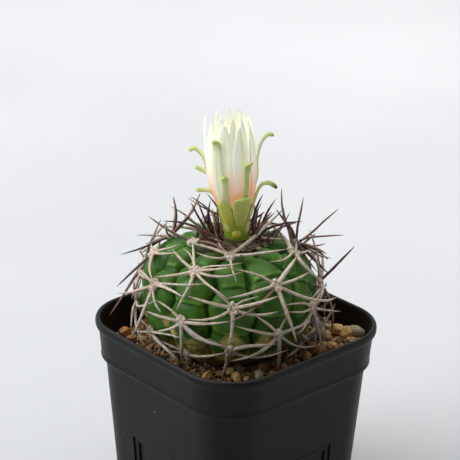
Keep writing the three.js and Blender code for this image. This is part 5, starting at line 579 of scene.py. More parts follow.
# ------------------------------------------------------------------ materials
class Tree:
    def __init__(self, name):
        self.mat = bpy.data.materials.new(name)
        self.mat.use_nodes = True
        self.t = self.mat.node_tree
        self.bsdf = self.t.nodes["Principled BSDF"]
        self.tc = self.t.nodes.new("ShaderNodeTexCoord")

    def node(self, kind, **props):
        n = self.t.nodes.new(kind)
        for k, v in props.items():
            setattr(n, k, v)
        return n

    def put(self, sock, val):
        if hasattr(val, "is_output") or isinstance(val, bpy.types.NodeSocket):
            self.t.links.new(val, sock)
        else:
            sock.default_value = val

    def noise(self, scale, detail=2.0, rough=0.5, vec=None, dist=0.0, out="Fac"):
        n = self.node("ShaderNodeTexNoise")
        self.put(n.inputs["Vector"], vec if vec is not None else self.tc.outputs["Object"])
        n.inputs["Scale"].default_value = scale
        n.inputs["Detail"].default_value = detail
        n.inputs["Roughness"].default_value = rough
        n.inputs["Distortion"].default_value = dist
        return n.outputs[out]

    def voronoi(self, scale, feature="F1", out="Distance", vec=None):
        n = self.node("ShaderNodeTexVoronoi", feature=feature)
        self.put(n.inputs["Vector"], vec if vec is not None else self.tc.outputs["Object"])
        n.inputs["Scale"].default_value = scale
        return n.outputs[out]

    def ramp(self, fac, stops, interp="LINEAR"):
        n = self.node("ShaderNodeValToRGB")
        n.color_ramp.interpolation = interp
        el = n.color_ramp.elements
        while len(el) > 1:
            el.remove(el[-1])
        for i, (p, c) in enumerate(stops):
            c = (c, c, c) if isinstance(c, (int, float)) else c
            e = el[0] if i == 0 else el.new(p)
            e.position = p
            e.color = (*c, 1)
        self.put(n.inputs["Fac"], fac)
        return n.outputs["Color"]

    def mix(self, fac, a, b, blend="MIX"):
        n = self.node("ShaderNodeMix", data_type="RGBA", blend_type=blend)
        n.clamp_factor = True
        self.put(n.inputs["Factor"], fac)
        for s, v in ((n.inputs[6], a), (n.inputs[7], b)):
            self.put(s, v if isinstance(v, bpy.types.NodeSocket) else (*v, 1))
        return n.outputs[2]

    def math(self, op, a, b=0.0, clamp=False):
        n = self.node("ShaderNodeMath", operation=op, use_clamp=clamp)
        self.put(n.inputs[0], a)
        self.put(n.inputs[1], b)
        return n.outputs[0]

    def attr(self, name, out="Fac"):
        n = self.node("ShaderNodeAttribute", attribute_name=name)
        return n.outputs[out]

    def scaled(self, x, y, z):
        n = self.node("ShaderNodeMapping")
        self.t.links.new(self.tc.outputs["Object"], n.inputs["Vector"])
        n.inputs["Scale"].default_value = (x, y, z)
        return n.outputs["Vector"]

    def bump(self, height, strength, distance, normal=None):
        n = self.node("ShaderNodeBump")
        n.inputs["Strength"].default_value = strength
        n.inputs["Distance"].default_value = distance
        self.put(n.inputs["Height"], height)
        if normal is not None:
            self.put(n.inputs["Normal"], normal)
        return n.outputs["Normal"]

    def set(self, **kw):
        names = {"color": "Base Color", "rough": "Roughness", "metal": "Metallic", "normal": "Normal", "spec": "Specular IOR Level",
                 "sss": "Subsurface Weight", "sss_r": "Subsurface Radius", "sss_s": "Subsurface Scale", "coat": "Coat Weight", "coat_r": "Coat Roughness",
                 "sheen": "Sheen Weight", "sheen_r": "Sheen Roughness", "ior": "IOR", "alpha": "Alpha", "glow": "Emission Strength", "glow_c": "Emission Color"}
        for k, v in kw.items():
            s = self.bsdf.inputs[names[k]]
            if isinstance(v, tuple) and len(v) == 3 and k in ("color", "glow_c"):
                v = (*v, 1)
            self.put(s, v)
        return self.mat


def mat_stem():
    t = Tree("stem_skin")
    big = t.noise(90, 3, 0.55)
    mid = t.noise(420, 3, 0.6)
    fine = t.noise(2600, 2, 0.6)
    base = t.ramp(big, [(0.30, (0.017, 0.069, 0.002)), (0.52, (0.031, 0.106, 0.003)), (0.75, (0.064, 0.168, 0.006))])
    base = t.mix(t.ramp(mid, [(0.45, 0.0), (0.75, 0.45)]), base, (0.062, 0.175, 0.020))
    # painted highlight: paler green on the swelling below each areole, where it catches the light
    base = t.mix(t.math("MULTIPLY", t.attr("chin"), 0.55), base, (0.076, 0.205, 0.030))
    # painted highlight: paler yellow-green along the tubercle rims where they catch the light; painted shade: darker
    # green in the furrows
    rim = t.math("MULTIPLY", t.attr("rim"), t.ramp(mid, [(0.35, 0.15), (0.65, 1.0)]))
    base = t.mix(t.math("MULTIPLY", rim, 0.75), base, (0.190, 0.420, 0.045))
    base = t.mix(t.math("MULTIPLY", t.attr("furrow"), 0.85), base, (0.006, 0.022, 0.003))
    # tiny paler dots of the skin
    dots = t.ramp(t.voronoi(2400), [(0.10, 1.0), (0.22, 0.0)])
    base = t.mix(t.math("MULTIPLY", dots, 0.16), base, (0.24, 0.38, 0.16))
    # corky yellow-brown age marks low on the body
    ck = t.math("ADD", t.attr("cork"), t.math("MULTIPLY", t.math("SUBTRACT", t.noise(330, 4, 0.7), 0.5), 0.9))
    ck = t.math("MULTIPLY", t.ramp(ck, [(0.40, 0.0), (0.80, 0.92)]), t.ramp(t.attr("cork"), [(0.02, 0.0), (0.25, 1.0)]))
    cork = t.ramp(t.noise(700, 4, 0.7), [(0.3, (0.36, 0.28, 0.07)), (0.52, (0.58, 0.48, 0.16)), (0.75, (0.82, 0.69, 0.36))])
    base = t.mix(ck, base, cork)
    # painted shade: the crown is darkened towards dark olive for the shadow of its dense spines
    crown = t.attr("crown")
    base = t.mix(t.math("MULTIPLY", crown, 0.75), base, (0.060, 0.058, 0.026))
    rough = t.ramp(t.math("ADD", mid, t.math("MULTIPLY", ck, 0.6)), [(0.35, 0.40), (0.7, 0.55), (1.0, 0.8)])
    h = t.math("ADD", t.math("MULTIPLY", fine, 0.35), t.math("ADD", t.math("MULTIPLY", mid, 0.8), t.math("MULTIPLY", ck, t.noise(1500, 3, 0.7))))
    return t.set(color=base, rough=rough, normal=t.bump(h, 0.35, 0.0004), sss=0.08, sss_r=(0.3, 1.0, 0.2), sss_s=0.0015, spec=0.24, coat=0.03, coat_r=0.35)


def mat_spine():
    t = Tree("spine_horn")
    tint = t.attr("tint", "Color")
    along = t.attr("along")
    n = t.noise(900, 3, 0.6)
    streak = t.noise(2600, 2, 0.6)
    c = t.mix(t.ramp(n, [(0.38, 0.0), (0.66, 0.80)]), tint, t.mix(1.0, tint, (0.58, 0.46, 0.44), "MULTIPLY"))
    c = t.mix(t.math("MULTIPLY", t.ramp(streak, [(0.52, 0.0), (0.72, 0.5)]), t.attr("pale")), c, (0.80, 0.76, 0.68))
    # the tip is darker horn
    c = t.mix(t.math("MULTIPLY", t.ramp(along, [(0.70, 0.0), (0.97, 1.0)]), 0.5), c, (0.13, 0.055, 0.04))
    # the root is browner where it leaves the wool
    c = t.mix(t.math("MULTIPLY", t.ramp(along, [(0.02, 1.0), (0.14, 0.0)]), 0.40), c, (0.33, 0.17, 0.10))
    h = t.math("ADD", t.math("MULTIPLY", n, 0.6), streak)
    return t.set(color=c, rough=t.ramp(streak, [(0.3, 0.42), (0.7, 0.62)]), normal=t.bump(h, 0.4, 0.00015), sss=0.10, sss_r=(1.0, 0.6, 0.4), sss_s=0.0006)


def mat_wool():
    t = Tree("areole_wool")
    n = t.noise(1500, 4, 0.7)
    c = t.ramp(n, [(0.30, (0.30, 0.185, 0.12)), (0.45, (0.68, 0.55, 0.41)), (0.62, (0.93, 0.86, 0.73))])
    c = t.mix(t.attr("age"), c, t.mix(1.0, c, (0.50, 0.42, 0.36), "MULTIPLY"))
    return t.set(color=c, rough=0.9, normal=t.bump(t.noise(3800, 3, 0.8), 0.8, 0.0004), sheen=0.15, sheen_r=0.5)


def mat_pot():
    t = Tree("pot_plastic")
    fine = t.noise(2600, 3, 0.6)
    smear = t.noise(55, 4, 0.6, dist=0.6)
    c = t.ramp(smear, [(0.3, (0.0042, 0.0038, 0.0032)), (0.7, (0.0078, 0.0072, 0.0063))])
    # faint lime film and dust in scattered patches
    dust = t.math("MULTIPLY", t.ramp(t.noise(240, 5, 0.75), [(0.52, 0.0), (0.80, 1.0)]), 0.07)
    c = t.mix(dust, c, (0.12, 0.112, 0.10))
    # a few pale specks
    sp = t.ramp(t.voronoi(150), [(0.030, 1.0), (0.055, 0.0)])
    sp = t.math("MULTIPLY", sp, t.ramp(t.noise(34, 2, 0.5), [(0.50, 0.0), (0.58, 0.8)]))
    c = t.mix(sp, c, (0.42, 0.41, 0.39))
    # painted highlight: a paler grey along the lip, the upper rim band and the collar line, from the edge mask
    edge = t.attr("edge")
    c = t.mix(t.math("MULTIPLY", edge, 0.4), c, (0.018, 0.018, 0.018))
    c = t.mix(t.math("MULTIPLY", t.attr("inside"), 0.6), c, (0.008, 0.007, 0.006))
    # long hairline scratches
    sc = t.ramp(t.noise(1.0, 2, 0.5, vec=t.scaled(1500, 1500, 60)), [(0.66, 0.0), (0.72, 1.0)])
    rough = t.math("ADD", t.ramp(smear, [(0.3, 0.40), (0.7, 0.50)]), t.math("ADD", t.math("MULTIPLY", sc, 0.10), t.math("MULTIPLY", dust, 2.0)), clamp=True)
    h = t.math("ADD", t.math("MULTIPLY", fine, 0.5), t.math("MULTIPLY", sc, -0.25))
    return t.set(color=c, rough=rough, normal=t.bump(h, 0.16, 0.0002), spec=0.20)


def mat_grain():
    t = Tree("gravel")
    tint = t.attr("tint", "Color")
    n = t.noise(1100, 4, 0.65)
    pits = t.voronoi(1800)
    c = t.mix(t.ramp(n, [(0.3, 0.0), (0.7, 0.75)]), t.mix(1.0, tint, (0.72, 0.62, 0.50), "MULTIPLY"), t.mix(1.0, tint, (1.40, 1.34, 1.20), "MULTIPLY"))
    c = t.mix(t.ramp(pits, [(0.10, 0.45), (0.26, 0.0)]), c, (0.05, 0.03, 0.018))
    h = t.math("ADD", n, t.math("MULTIPLY", pits, 0.7))
    return t.set(color=c, rough=t.ramp(n, [(0.3, 0.85), (0.7, 0.68)]), normal=t.bump(h, 0.75, 0.0006))


def mat_bed():
    t = Tree("soil_bed")
    n = t.noise(500, 5, 0.75)
    c = t.ramp(n, [(0.35, (0.012, 0.008, 0.005)), (0.55, (0.045, 0.028, 0.016)), (0.75, (0.14, 0.085, 0.045))])
    return t.set(color=c, rough=0.92, normal=t.bump(n, 0.9, 0.0012))


def mat_flower_green():
    t = Tree("flower_green")
    v = t.attr("v")
    n = t.noise(260, 3, 0.5)
    c = t.ramp(v, [(0.0, (0.13, 0.34, 0.022)), (0.22, (0.20, 0.37, 0.020)), (0.45, (0.33, 0.36, 0.022)), (1.0, (0.46, 0.42, 0.045))])
    c = t.mix(t.ramp(n, [(0.4, 0.0), (0.75, 0.4)]), c, (0.38, 0.48, 0.075))
    fine = t.noise(2500, 2, 0.5, vec=t.scaled(1, 1, 0.15))
    # painted light: the tube gives off a faint glow in its own colour, as light shining through it
    return t.set(color=c, rough=0.42, normal=t.bump(t.math("ADD", n, t.math("MULTIPLY", fine, 0.3)), 0.25, 0.0003), sss=0.18, sss_r=(0.6, 1.0, 0.2), sss_s=0.0018, coat=0.06, coat_r=0.3, glow=0.06, glow_c=c)


def mat_scale():
    t = Tree("flower_scale")
    v, x = t.attr("v"), t.attr("x")
    n = t.noise(420, 3, 0.5)
    body = t.mix(v, t.mix(t.attr("warm"), (0.34, 0.40, 0.028), (0.46, 0.40, 0.020)), (0.44, 0.53, 0.11))
    body = t.mix(t.ramp(n, [(0.4, 0.0), (0.8, 0.35)]), body, (0.54, 0.56, 0.15))
    # the petal-like ones are cream with a green midrib, and greener toward the tip
    cream = t.math("MULTIPLY", t.attr("pale"), t.ramp(v, [(0.0, 0.6), (0.20, 1.0), (0.72, 1.0), (0.92, 0.1)]))
    cream = t.math("MULTIPLY", cream, t.ramp(t.math("ABSOLUTE", x), [(0.0, 0.62), (0.30, 1.0)]))
    body = t.mix(cream, body, (0.86, 0.87, 0.66))
    rim = t.ramp(t.math("ABSOLUTE", x), [(0.72, 0.0), (1.0, 1.0)])
    body = t.mix(t.math("MULTIPLY", rim, 0.5), body, (0.64, 0.66, 0.27))
    body = t.mix(t.math("MULTIPLY", t.attr("brown"), t.ramp(v, [(0.86, 0.0), (0.97, 1.0)])), body, (0.10, 0.045, 0.02))
    # painted light: the scales give off a faint glow in their own colour, as light shining through them
    return t.set(color=body, rough=0.45, normal=t.bump(n, 0.25, 0.0003), sss=0.20, sss_r=(0.7, 1.0, 0.25), sss_s=0.0015, coat=0.05, coat_r=0.3, spec=0.35, glow=0.08, glow_c=body)


def mat_petal():
    t = Tree("petal_tissue")
    v, x = t.attr("v"), t.attr("x")
    ax = t.math("ABSOLUTE", x)
    n = t.noise(300, 3, 0.5)
    veins = t.noise(1.0, 2, 0.5, vec=t.scaled(1900, 1900, 90))
    white = t.mix(t.ramp(veins, [(0.35, 0.0), (0.7, 0.55)]), (0.83, 0.84, 0.735), (0.75, 0.76, 0.625))
    # greenish-cream midrib, stronger on the outer petals
    mid = t.math("MULTIPLY", t.ramp(ax, [(0.05, 1.0), (0.34, 0.0)]), t.attr("green"))
    c = t.mix(t.math("MULTIPLY", mid, t.ramp(v, [(0.1, 0.25), (0.55, 0.42), (0.9, 0.95)])), white, (0.60, 0.69, 0.27))
    # flush of salmon pink rising from the base
    flush = t.math("ADD", v, t.math("MULTIPLY", t.math("SUBTRACT", n, 0.5), 0.16))
    pinkness = t.ramp(flush, [(0.00, 1.0), (0.14, 0.92), (0.30, 0.50), (0.58, 0.0)])
    c = t.mix(t.math("MULTIPLY", pinkness, t.attr("pink")), c, (0.78, 0.38, 0.21))
    c = t.mix(t.math("MULTIPLY", t.ramp(v, [(0.0, 0.7), (0.10, 0.0)]), 0.8), c, (0.50, 0.46, 0.12))
    edge = t.math("MULTIPLY", t.ramp(ax, [(0.80, 0.0), (1.0, 1.0)]), t.attr("brownedge"))
    c = t.mix(t.math("MULTIPLY", edge, 0.7), c, (0.45, 0.25, 0.15))
    h = t.math("ADD", veins, t.math("MULTIPLY", n, 0.5))
    # painted light: the petals give off a strong glow in their own colour, as light shining through the thin tissue
    return t.set(color=c, rough=0.5, normal=t.bump(h, 0.30, 0.00025), sss=0.10, sss_r=(1.0, 0.95, 0.8), sss_s=0.001, sheen=0.1, sheen_r=0.4, glow=0.34, glow_c=c)


def mat_stamen():
    t = Tree("stamen")
    c = t.ramp(t.attr("v"), [(0.0, (0.55, 0.60, 0.25)), (0.75, (0.80, 0.76, 0.48)), (0.9, (0.86, 0.70, 0.30)), (1.0, (0.88, 0.72, 0.28))])
    return t.set(color=c, rough=0.6, normal=t.bump(t.noise(3000, 3, 0.7), 0.5, 0.0002), sss=0.2, sss_r=(1.0, 0.8, 0.4), sss_s=0.001)


def mat_bud():
    t = Tree("bud_skin")
    n = t.noise(1200, 3, 0.6)
    c = t.ramp(n, [(0.3, (0.15, 0.22, 0.12)), (0.7, (0.33, 0.42, 0.27))])
    return t.set(color=c, rough=0.6, normal=t.bump(n, 0.4, 0.0003))


def mat_leaf():
    t = Tree("seedling_leaf")
    n = t.noise(900, 3, 0.5)
    c = t.ramp(n, [(0.3, (0.030, 0.190, 0.020)), (0.7, (0.075, 0.330, 0.040))])
    c = t.mix(t.ramp(t.math("ABSOLUTE", t.attr("x")), [(0.0, 0.5), (0.14, 0.0)]), c, (0.22, 0.45, 0.12))
    return t.set(color=c, rough=0.45, normal=t.bump(n, 0.3, 0.0003), sss=0.2, sss_r=(0.4, 1.0, 0.2), sss_s=0.001)


M_STEM, M_SPINE, M_WOOL, M_POT = mat_stem(), mat_spine(), mat_wool(), mat_pot()
M_GRAIN, M_BED, M_TUBE, M_SCALE = mat_grain(), mat_bed(), mat_flower_green(), mat_scale()
M_PETAL, M_STAMEN, M_BUD, M_LEAF = mat_petal(), mat_stamen(), mat_bud(), mat_leaf()


# ------------------------------------------------------------------ pot
def square_ring(s, z, corner=14, panel=0.0):
    """Points of a rounded square of side s at height z, going round once, with side marks for the ledge panels."""
    rc = max(1.0, 21.5 - (90 - s) / 2)
    h = s / 2 - rc
    pts = []
    marks = [-16.0, -12.0, -8.1, -8.0, -4.0, 0.0, 4.0, 8.0, 8.1, 12.0, 16.0]
    for q in range(4):
        ca, sa = [(1, 0), (0, 1), (-1, 0), (0, -1)][q]

        def world(out, along):
            # side q faces (ca, sa); `along` runs counter-clockwise
            return (ca * out - sa * along, sa * out + ca * along, z)
        k = h / 19.0 if h < 16.6 else 1.0
        for m in marks:
            mm = m * k
            off = panel if abs(m) <= 8.0 else 0.0
            pts.append(world(s / 2 + off, mm))
        for i in range(corner + 1):
            a = math.pi / 2 * i / corner
            pts.append(world(h + rc * math.cos(a), h + rc * math.sin(a)))
    return np.array(pts)


def side_at(z):
    return np.interp(z, [0, 61], [71.5, 81.7])


def build_pot():
    prof = [(0.0, 70.2, 0), (0.15, 70.75, 0), (0.55, 71.25, 0), (1.2, 71.65, 0)]
    for z in (4, 8, 14, 20, 26, 31, 34.55):
        prof.append((z, float(side_at(z)), 0.32))
    prof.append((35.0, float(side_at(35.0)), 0.0))
    for z in (38, 42, 48, 54, 59.4):
        prof.append((z, float(side_at(z)), 0.0))
    prof += [(61.2, 81.75, 0), (62.0, 81.95, 0), (62.5, 82.4, 0), (62.95, 83.2, 0), (63.3, 84.2, 0), (63.55, 85.0, 0), (63.8, 85.5, 0), (64.1, 85.72, 0), (64.6, 85.74, 0),
             (65.1, 85.72, 0), (65.4, 85.5, 0), (66.5, 85.62, 0), (69, 86.1, 0), (72, 86.65, 0), (75.2, 87.25, 0), (75.9, 87.5, 0), (76.2, 87.9, 0), (76.35, 88.6, 0), (76.55, 89.2, 0),
             (76.95, 89.65, 0), (77.5, 89.92, 0), (78.2, 90.0, 0), (78.8, 89.9, 0), (79.35, 89.6, 0), (79.75, 89.1, 0), (79.95, 88.45, 0), (80.0, 87.7, 0), (79.93, 86.95, 0), (79.65, 86.3, 0),
             (79.2, 85.85, 0), (78.5, 85.55, 0), (77.0, 85.2, 0), (72, 84.2, 0), (66, 83.15, 0), (64.7, 82.9, 0), (64.1, 82.4, 0), (62.2, 80.1, 0), (61.6, 79.6, 0), (60.6, 79.25, 0),
             (50, 77.45, 0), (36, 75.1, 0), (20, 72.45, 0), (4, 69.75, 0), (2.6, 69.2, 0), (2.1, 68.2, 0), (2.0, 66.8, 0)]
    rings = [square_ring(s, z, panel=p) for z, s, p in prof]
    n = len(rings[0])
    V = np.vstack(rings + [np.array([[0, 0, 0.0]]), np.array([[0, 0, 2.0]])])
    F = ring_faces(len(rings), n, False, False)
    c0, c1 = len(rings) * n, len(rings) * n + 1
    for j in range(n):
        F.append((c0, (j + 1) % n, j))
        b = (len(rings) - 1) * n
        F.append((c1, b + j, b + (j + 1) % n))
    edge, inside = np.zeros(len(V)), np.zeros(len(V))
    top = [i for i, p in enumerate(prof)]
    # edge: mask for the painted highlight, paler along the lip top, the upper rim band and the collar line
    for i, (z, s, p) in enumerate(prof):
        e = 0.0
        if z > 79.3:
            e = 1.0
        elif 76.3 < z and 10 < i:
            e = 0.2
        elif 63.9 < z < 65.2 and s > 85.6:
            e = 0.25
        if i > [k for k, q in enumerate(prof) if q[0] == 80.0][0]:
            inside[i * n:(i + 1) * n] = smooth(79.6, 77.0, z) if False else (1.0 if z < 79 else 0.2)
            e *= 0.5
        edge[i * n:(i + 1) * n] = e
    inside[c1] = 1
    s = Soup()
    s.add(V, F, 0, edge=edge, inside=inside)
    ob = s.build("pot_shell", [M_POT])
    # drain slits, their recesses, and the base holes
    cut = Soup()

    def box(cx, cy, cz, sx, sy, sz, q, lean):
        b = 0.35
        P = []
        for dx in (-1, 1):
            for dy in (-1, 1):
                for dz in (-1, 1):
                    P.append((dx * sx / 2, dy * sy / 2, dz * sz / 2))
        P = np.array(P, float)
        c, sn = math.cos(lean), math.sin(lean)
        P = np.stack([P[:, 0], P[:, 1] * c - P[:, 2] * sn, P[:, 1] * sn + P[:, 2] * c], -1) + np.array([cx, cy, cz])
        a = q * math.pi / 2
        P = np.stack([P[:, 0] * math.cos(a) - P[:, 1] * math.sin(a), P[:, 0] * math.sin(a) + P[:, 1] * math.cos(a), P[:, 2]], -1)
        cut.add(P, [(0, 1, 3, 2), (4, 6, 7, 5), (0, 4, 5, 1), (2, 3, 7, 6), (0, 2, 6, 4), (1, 5, 7, 3)])
    lean = math.atan((81.7 - 71.5) / 2 / 61)
    for q in range(4):
        for dx in (-12, 12):
            zc = 35 / 2 - 2
            box(dx, -(side_at(zc) / 2 - 0.6 + 1.5), zc, 8, 3, 39, q, lean)
    rec = cut.build("cut_recess", [M_POT])
    cut = Soup()
    for q in range(4):
        for dx in (-12, 12):
            zc = 37 / 2
            box(dx, -(side_at(zc) / 2 - 0.6), zc, 3, 5, 29, q, lean)
    for x in (-17, 17):
        for y in (-17, 17):
            a = 2 * np.pi * np.arange(40) / 40
            P = np.vstack([np.stack([x + 4.5 * np.cos(a), y + 4.5 * np.sin(a), np.full(40, z)], -1) for z in (-2.0, 4.0)])
            cut.add(P, ring_faces(2, 40))
    slit = cut.build("cut_slit", [M_POT])
    for c in (rec, slit):
        m = ob.modifiers.new("cut", "BOOLEAN")
        m.operation, m.solver, m.object = "DIFFERENCE", "EXACT", c
        m.use_self = False
    dg = bpy.context.evaluated_depsgraph_get()
    me = bpy.data.meshes.new_from_object(ob.evaluated_get(dg))
    ob.modifiers.clear()
    old = ob.data
    ob.data = me
    bpy.data.meshes.remove(old)
    for c in (rec, slit):
        bpy.data.objects.remove(c)
    me.polygons.foreach_set("use_smooth", [True] * len(me.polygons))
    me.set_sharp_from_angle(angle=math.radians(32))
    me.update()
    return finish_piece(ob, ["pot"])


# ------------------------------------------------------------------ stem
SITE_P = np.array([s[1:] for s in SITES], float)
SITE_RIB = np.array([s[0] for s in SITES])
AREOLE_P = np.array(list(AREOLES.values()), float)


def relief(P):
    """Depth of the furrows, and masks, at points P of the smooth globe."""
    q = SITE_P - CEN
    r = np.hypot(q[:, 0], q[:, 1]) + 1e-9
    E = np.stack([-q[:, 1] / r, q[:, 0] / r, np.zeros(len(q))], -1)
    D = P[:, None, :] - SITE_P[None]
    across = np.einsum("pij,ij->pi", D, E)
    full = (D ** 2).sum(-1)
    along2 = np.maximum(full - across ** 2, 0)
    d = np.sqrt(across ** 2 + 0.62 * along2)
    i1 = d.argmin(1)
    d1 = d[np.arange(len(P)), i1]
    same = SITE_RIB[None, :] == SITE_RIB[i1][:, None]
    other = np.where(same, 1e9, d)
    mates = np.where(same, d, 1e9)
    mates[np.arange(len(P)), i1] = 1e9
    wob = 0.5 * vnoise(P, 6.0, 3)
    gi = np.maximum((other.min(1) - d1) / 2 + wob * 0.25, 0)
    gm = np.maximum((mates.min(1) - d1) / 2 + wob * 0.2, 0)

    a = 3.3 * np.exp(-((gi / 1.25) ** 1.15))
    b = 0.30 * np.exp(-((gm / 0.65) ** 1.2))
    depth = (a ** 3 + b ** 3) ** (1 / 3) + 0.0105 * np.minimum(d1, 9) ** 2
    # each tubercle stands a little proud of the one below it
    m1 = mates.argmin(1)
    upper = (SITE_P[i1][:, 2] > SITE_P[m1][:, 2])
    lap = np.exp(-((gm / 1.9) ** 2))
    depth = depth + np.where(upper, -0.34, 0.34) * lap * smooth(0.4, 2.0, gi)
    # mask along the lip of each tubercle over the one below, used for the painted rim highlight
    edge = np.where(upper, np.exp(-(((gm - 0.7) / 0.55) ** 2)), 0.0) * smooth(0.3, 1.5, gi)
    below = (SITE_P[i1][:, 2] - P[:, 2])
    chin = np.exp(-((across[np.arange(len(P)), i1] / 4.2) ** 2) - ((below - 1.5) / 4.2) ** 2)
    return depth, chin, gi, gm, d1, edge


def stem_surface(P0, fade=1.0):
    """The fine skin point for each smooth globe point, and its masks."""
    n = globe_normal(P0)
    depth, chin, gi, gm, d1, edge = relief(P0)
    near = np.sqrt(((P0[:, None, :] - AREOLE_P[None]) ** 2).sum(-1)).min(1)
    r = np.hypot(P0[:, 0] - CEN[0], P0[:, 1] - CEN[1])
    f = np.minimum(1, r / 11.0) * fade
    depth = depth * f
    bulge = 0.32 * chin * f - 0.35 * np.exp(-(near / 2.4) ** 2)
    bulge += 0.16 * fbm(P0, 9.0, 5) + 0.05 * fbm(P0, 2.2, 9)
    P = P0 + n * (bulge - depth - 0.15)[:, None]
    dip = (1.6 * np.exp(-((r / 6.0) ** 2)) + 1.9 * np.exp(-((r / 14.0) ** 4))) * (P0[:, 2] > CEN[2] + 10)
    P[:, 2] -= dip
    g = np.minimum(gi, gm)
    # masks for the painted shade in the furrows and the painted highlight along the tubercle rims
    furrow = np.maximum(np.exp(-((gi / 0.75) ** 1.3)), 0.10 * np.exp(-((gm / 0.45) ** 1.3))) * np.minimum(1, r / 8)
    rim = np.maximum(edge, 0.45 * np.exp(-(((gi - 1.1) / 0.5) ** 2)))
    return P, dict(furrow=furrow, rim=rim, chin=chin * f, near=near)


def build_stem():
    cols, e = 432, 2 / POW
    us = np.radians(np.r_[np.linspace(88.5, 60, 26), np.linspace(58.9, -56, 128)])
    az = 2 * np.pi * np.arange(cols) / cols
    U, Z = np.meshgrid(us, az, indexing="ij")
    P0 = globe(Z.ravel(), U.ravel())
    fade = 1 - 0.55 * smooth(-38, -56, np.degrees(U.ravel()))
    P, mk = stem_surface(P0, fade)
    cork = np.zeros(len(P))
    for (x, y, z, rad) in CORK:
        cork = np.maximum(cork, np.exp(-(((P0 - np.array([x, y, z])) ** 2).sum(-1) / rad ** 2)))
    cork = np.maximum(cork, 0.80 * smooth(85.0, 76.5, P0[:, 2]))
    # mask for the painted shade on the crown under its dense spines
    crown = smooth(17, 9, np.hypot(P0[:, 0] - CEN[0], P0[:, 1] - CEN[1])) * (P0[:, 2] > CEN[2])
    rows = len(us)
    extra = []
    last = P[-cols:]
    for k, (rr, z) in enumerate([(19.0, 69.6), (17.0, 67.5), (14, 65), (10, 61), (6.5, 54), (3, 46), (0.6, 44.5)]):
        ring = np.stack([CEN[0] + rr * np.cos(az), CEN[1] + rr * np.sin(az), np.full(cols, z)], -1)
        ring += 0.25 * fbm(ring, 5, 31)[:, None] * unit(ring - CEN)
        if k == 0:
            ring = 0.5 * ring + 0.5 * (last * np.array([0.97, 0.97, 1]) + np.array([0, 0, -1.2]))
        extra.append(ring)
    V = np.vstack([P] + extra)
    top = P[:cols].mean(0) - np.array([0, 0, 0.05])
    V = np.vstack([V, top[None], np.array([[CEN[0], CEN[1], 44.0]])])
    R = rows + len(extra)
    F = ring_faces(R, cols, False, False)
    F = [f[::-1] for f in F]
    k0, k1 = R * cols, R * cols + 1
    for j in range(cols):
        F.append((k0, j, (j + 1) % cols))
        b = (R - 1) * cols
        F.append((k1, b + (j + 1) % cols, b + j))
    pad = len(V) - len(P)
    tail = lambda a, v=0.0: np.r_[a, np.full(pad, v)]
    s = Soup()
    s.add(V, F, 0, furrow=tail(mk["furrow"]), rim=tail(mk["rim"]), chin=tail(mk["chin"]), cork=tail(cork, 1.0), crown=tail(crown))
    return finish_piece(s.build("stem_skin", [M_STEM]), ["stem"])


# ------------------------------------------------------------------ spines
TINTS = {"p": (0.635, 0.545, 0.425), "g": (0.555, 0.510, 0.430), "b": (0.260, 0.140, 0.105), "d": (0.085, 0.030, 0.024), "c": (0.70, 0.62, 0.50)}


def add_spine(s, rng, pts, r, kind, sides=10, rows=26):
    C = catmull(pts, rows)
    L = np.linalg.norm(np.diff(C, axis=0), axis=1).sum()
    t = np.linspace(0, 1, rows)
    foot = 1.25 if kind in "db" else 1.7
    R = r * np.interp(t, [0, 0.03, 0.09, 0.35, 0.65, 0.85, 0.96, 1], [foot, 0.93 * foot, 0.5 + 0.45 * foot, 1.08, 0.88, 0.60, 0.27, 0.03])
    # slight kinks and swellings of dry horn
    wob = np.stack([vnoise(C + 50 * k, 7.0, 71 + k) for k in range(3)], -1) * (0.04 * L / 18.0) * np.sin(np.pi * t)[:, None]
    C = C + wob
    R = R * (1 + 0.07 * vnoise(C * 1.0, 1.3, 83))
    V = sweep(C, R, sides, squash=0.86, twist=0.8, phase=rng.uniform(0, 6))
    V += 0.045 * r * vnoise(V, 0.7, 91)[:, None] * unit(V - np.repeat(C, sides, 0))
    F = [f[::-1] for f in ring_faces(rows, sides)]
    base = np.array(TINTS[kind]) * rng.uniform(0.82, 1.12)
    base = base * np.array([1, rng.uniform(0.94, 1.05), rng.uniform(0.92, 1.06)])
    s.add(V, F, 0, tint=np.tile(base, (len(V), 1)), along=np.repeat(t, sides), pale=np.full(len(V), 0.0 if kind in "db" else 1.0))


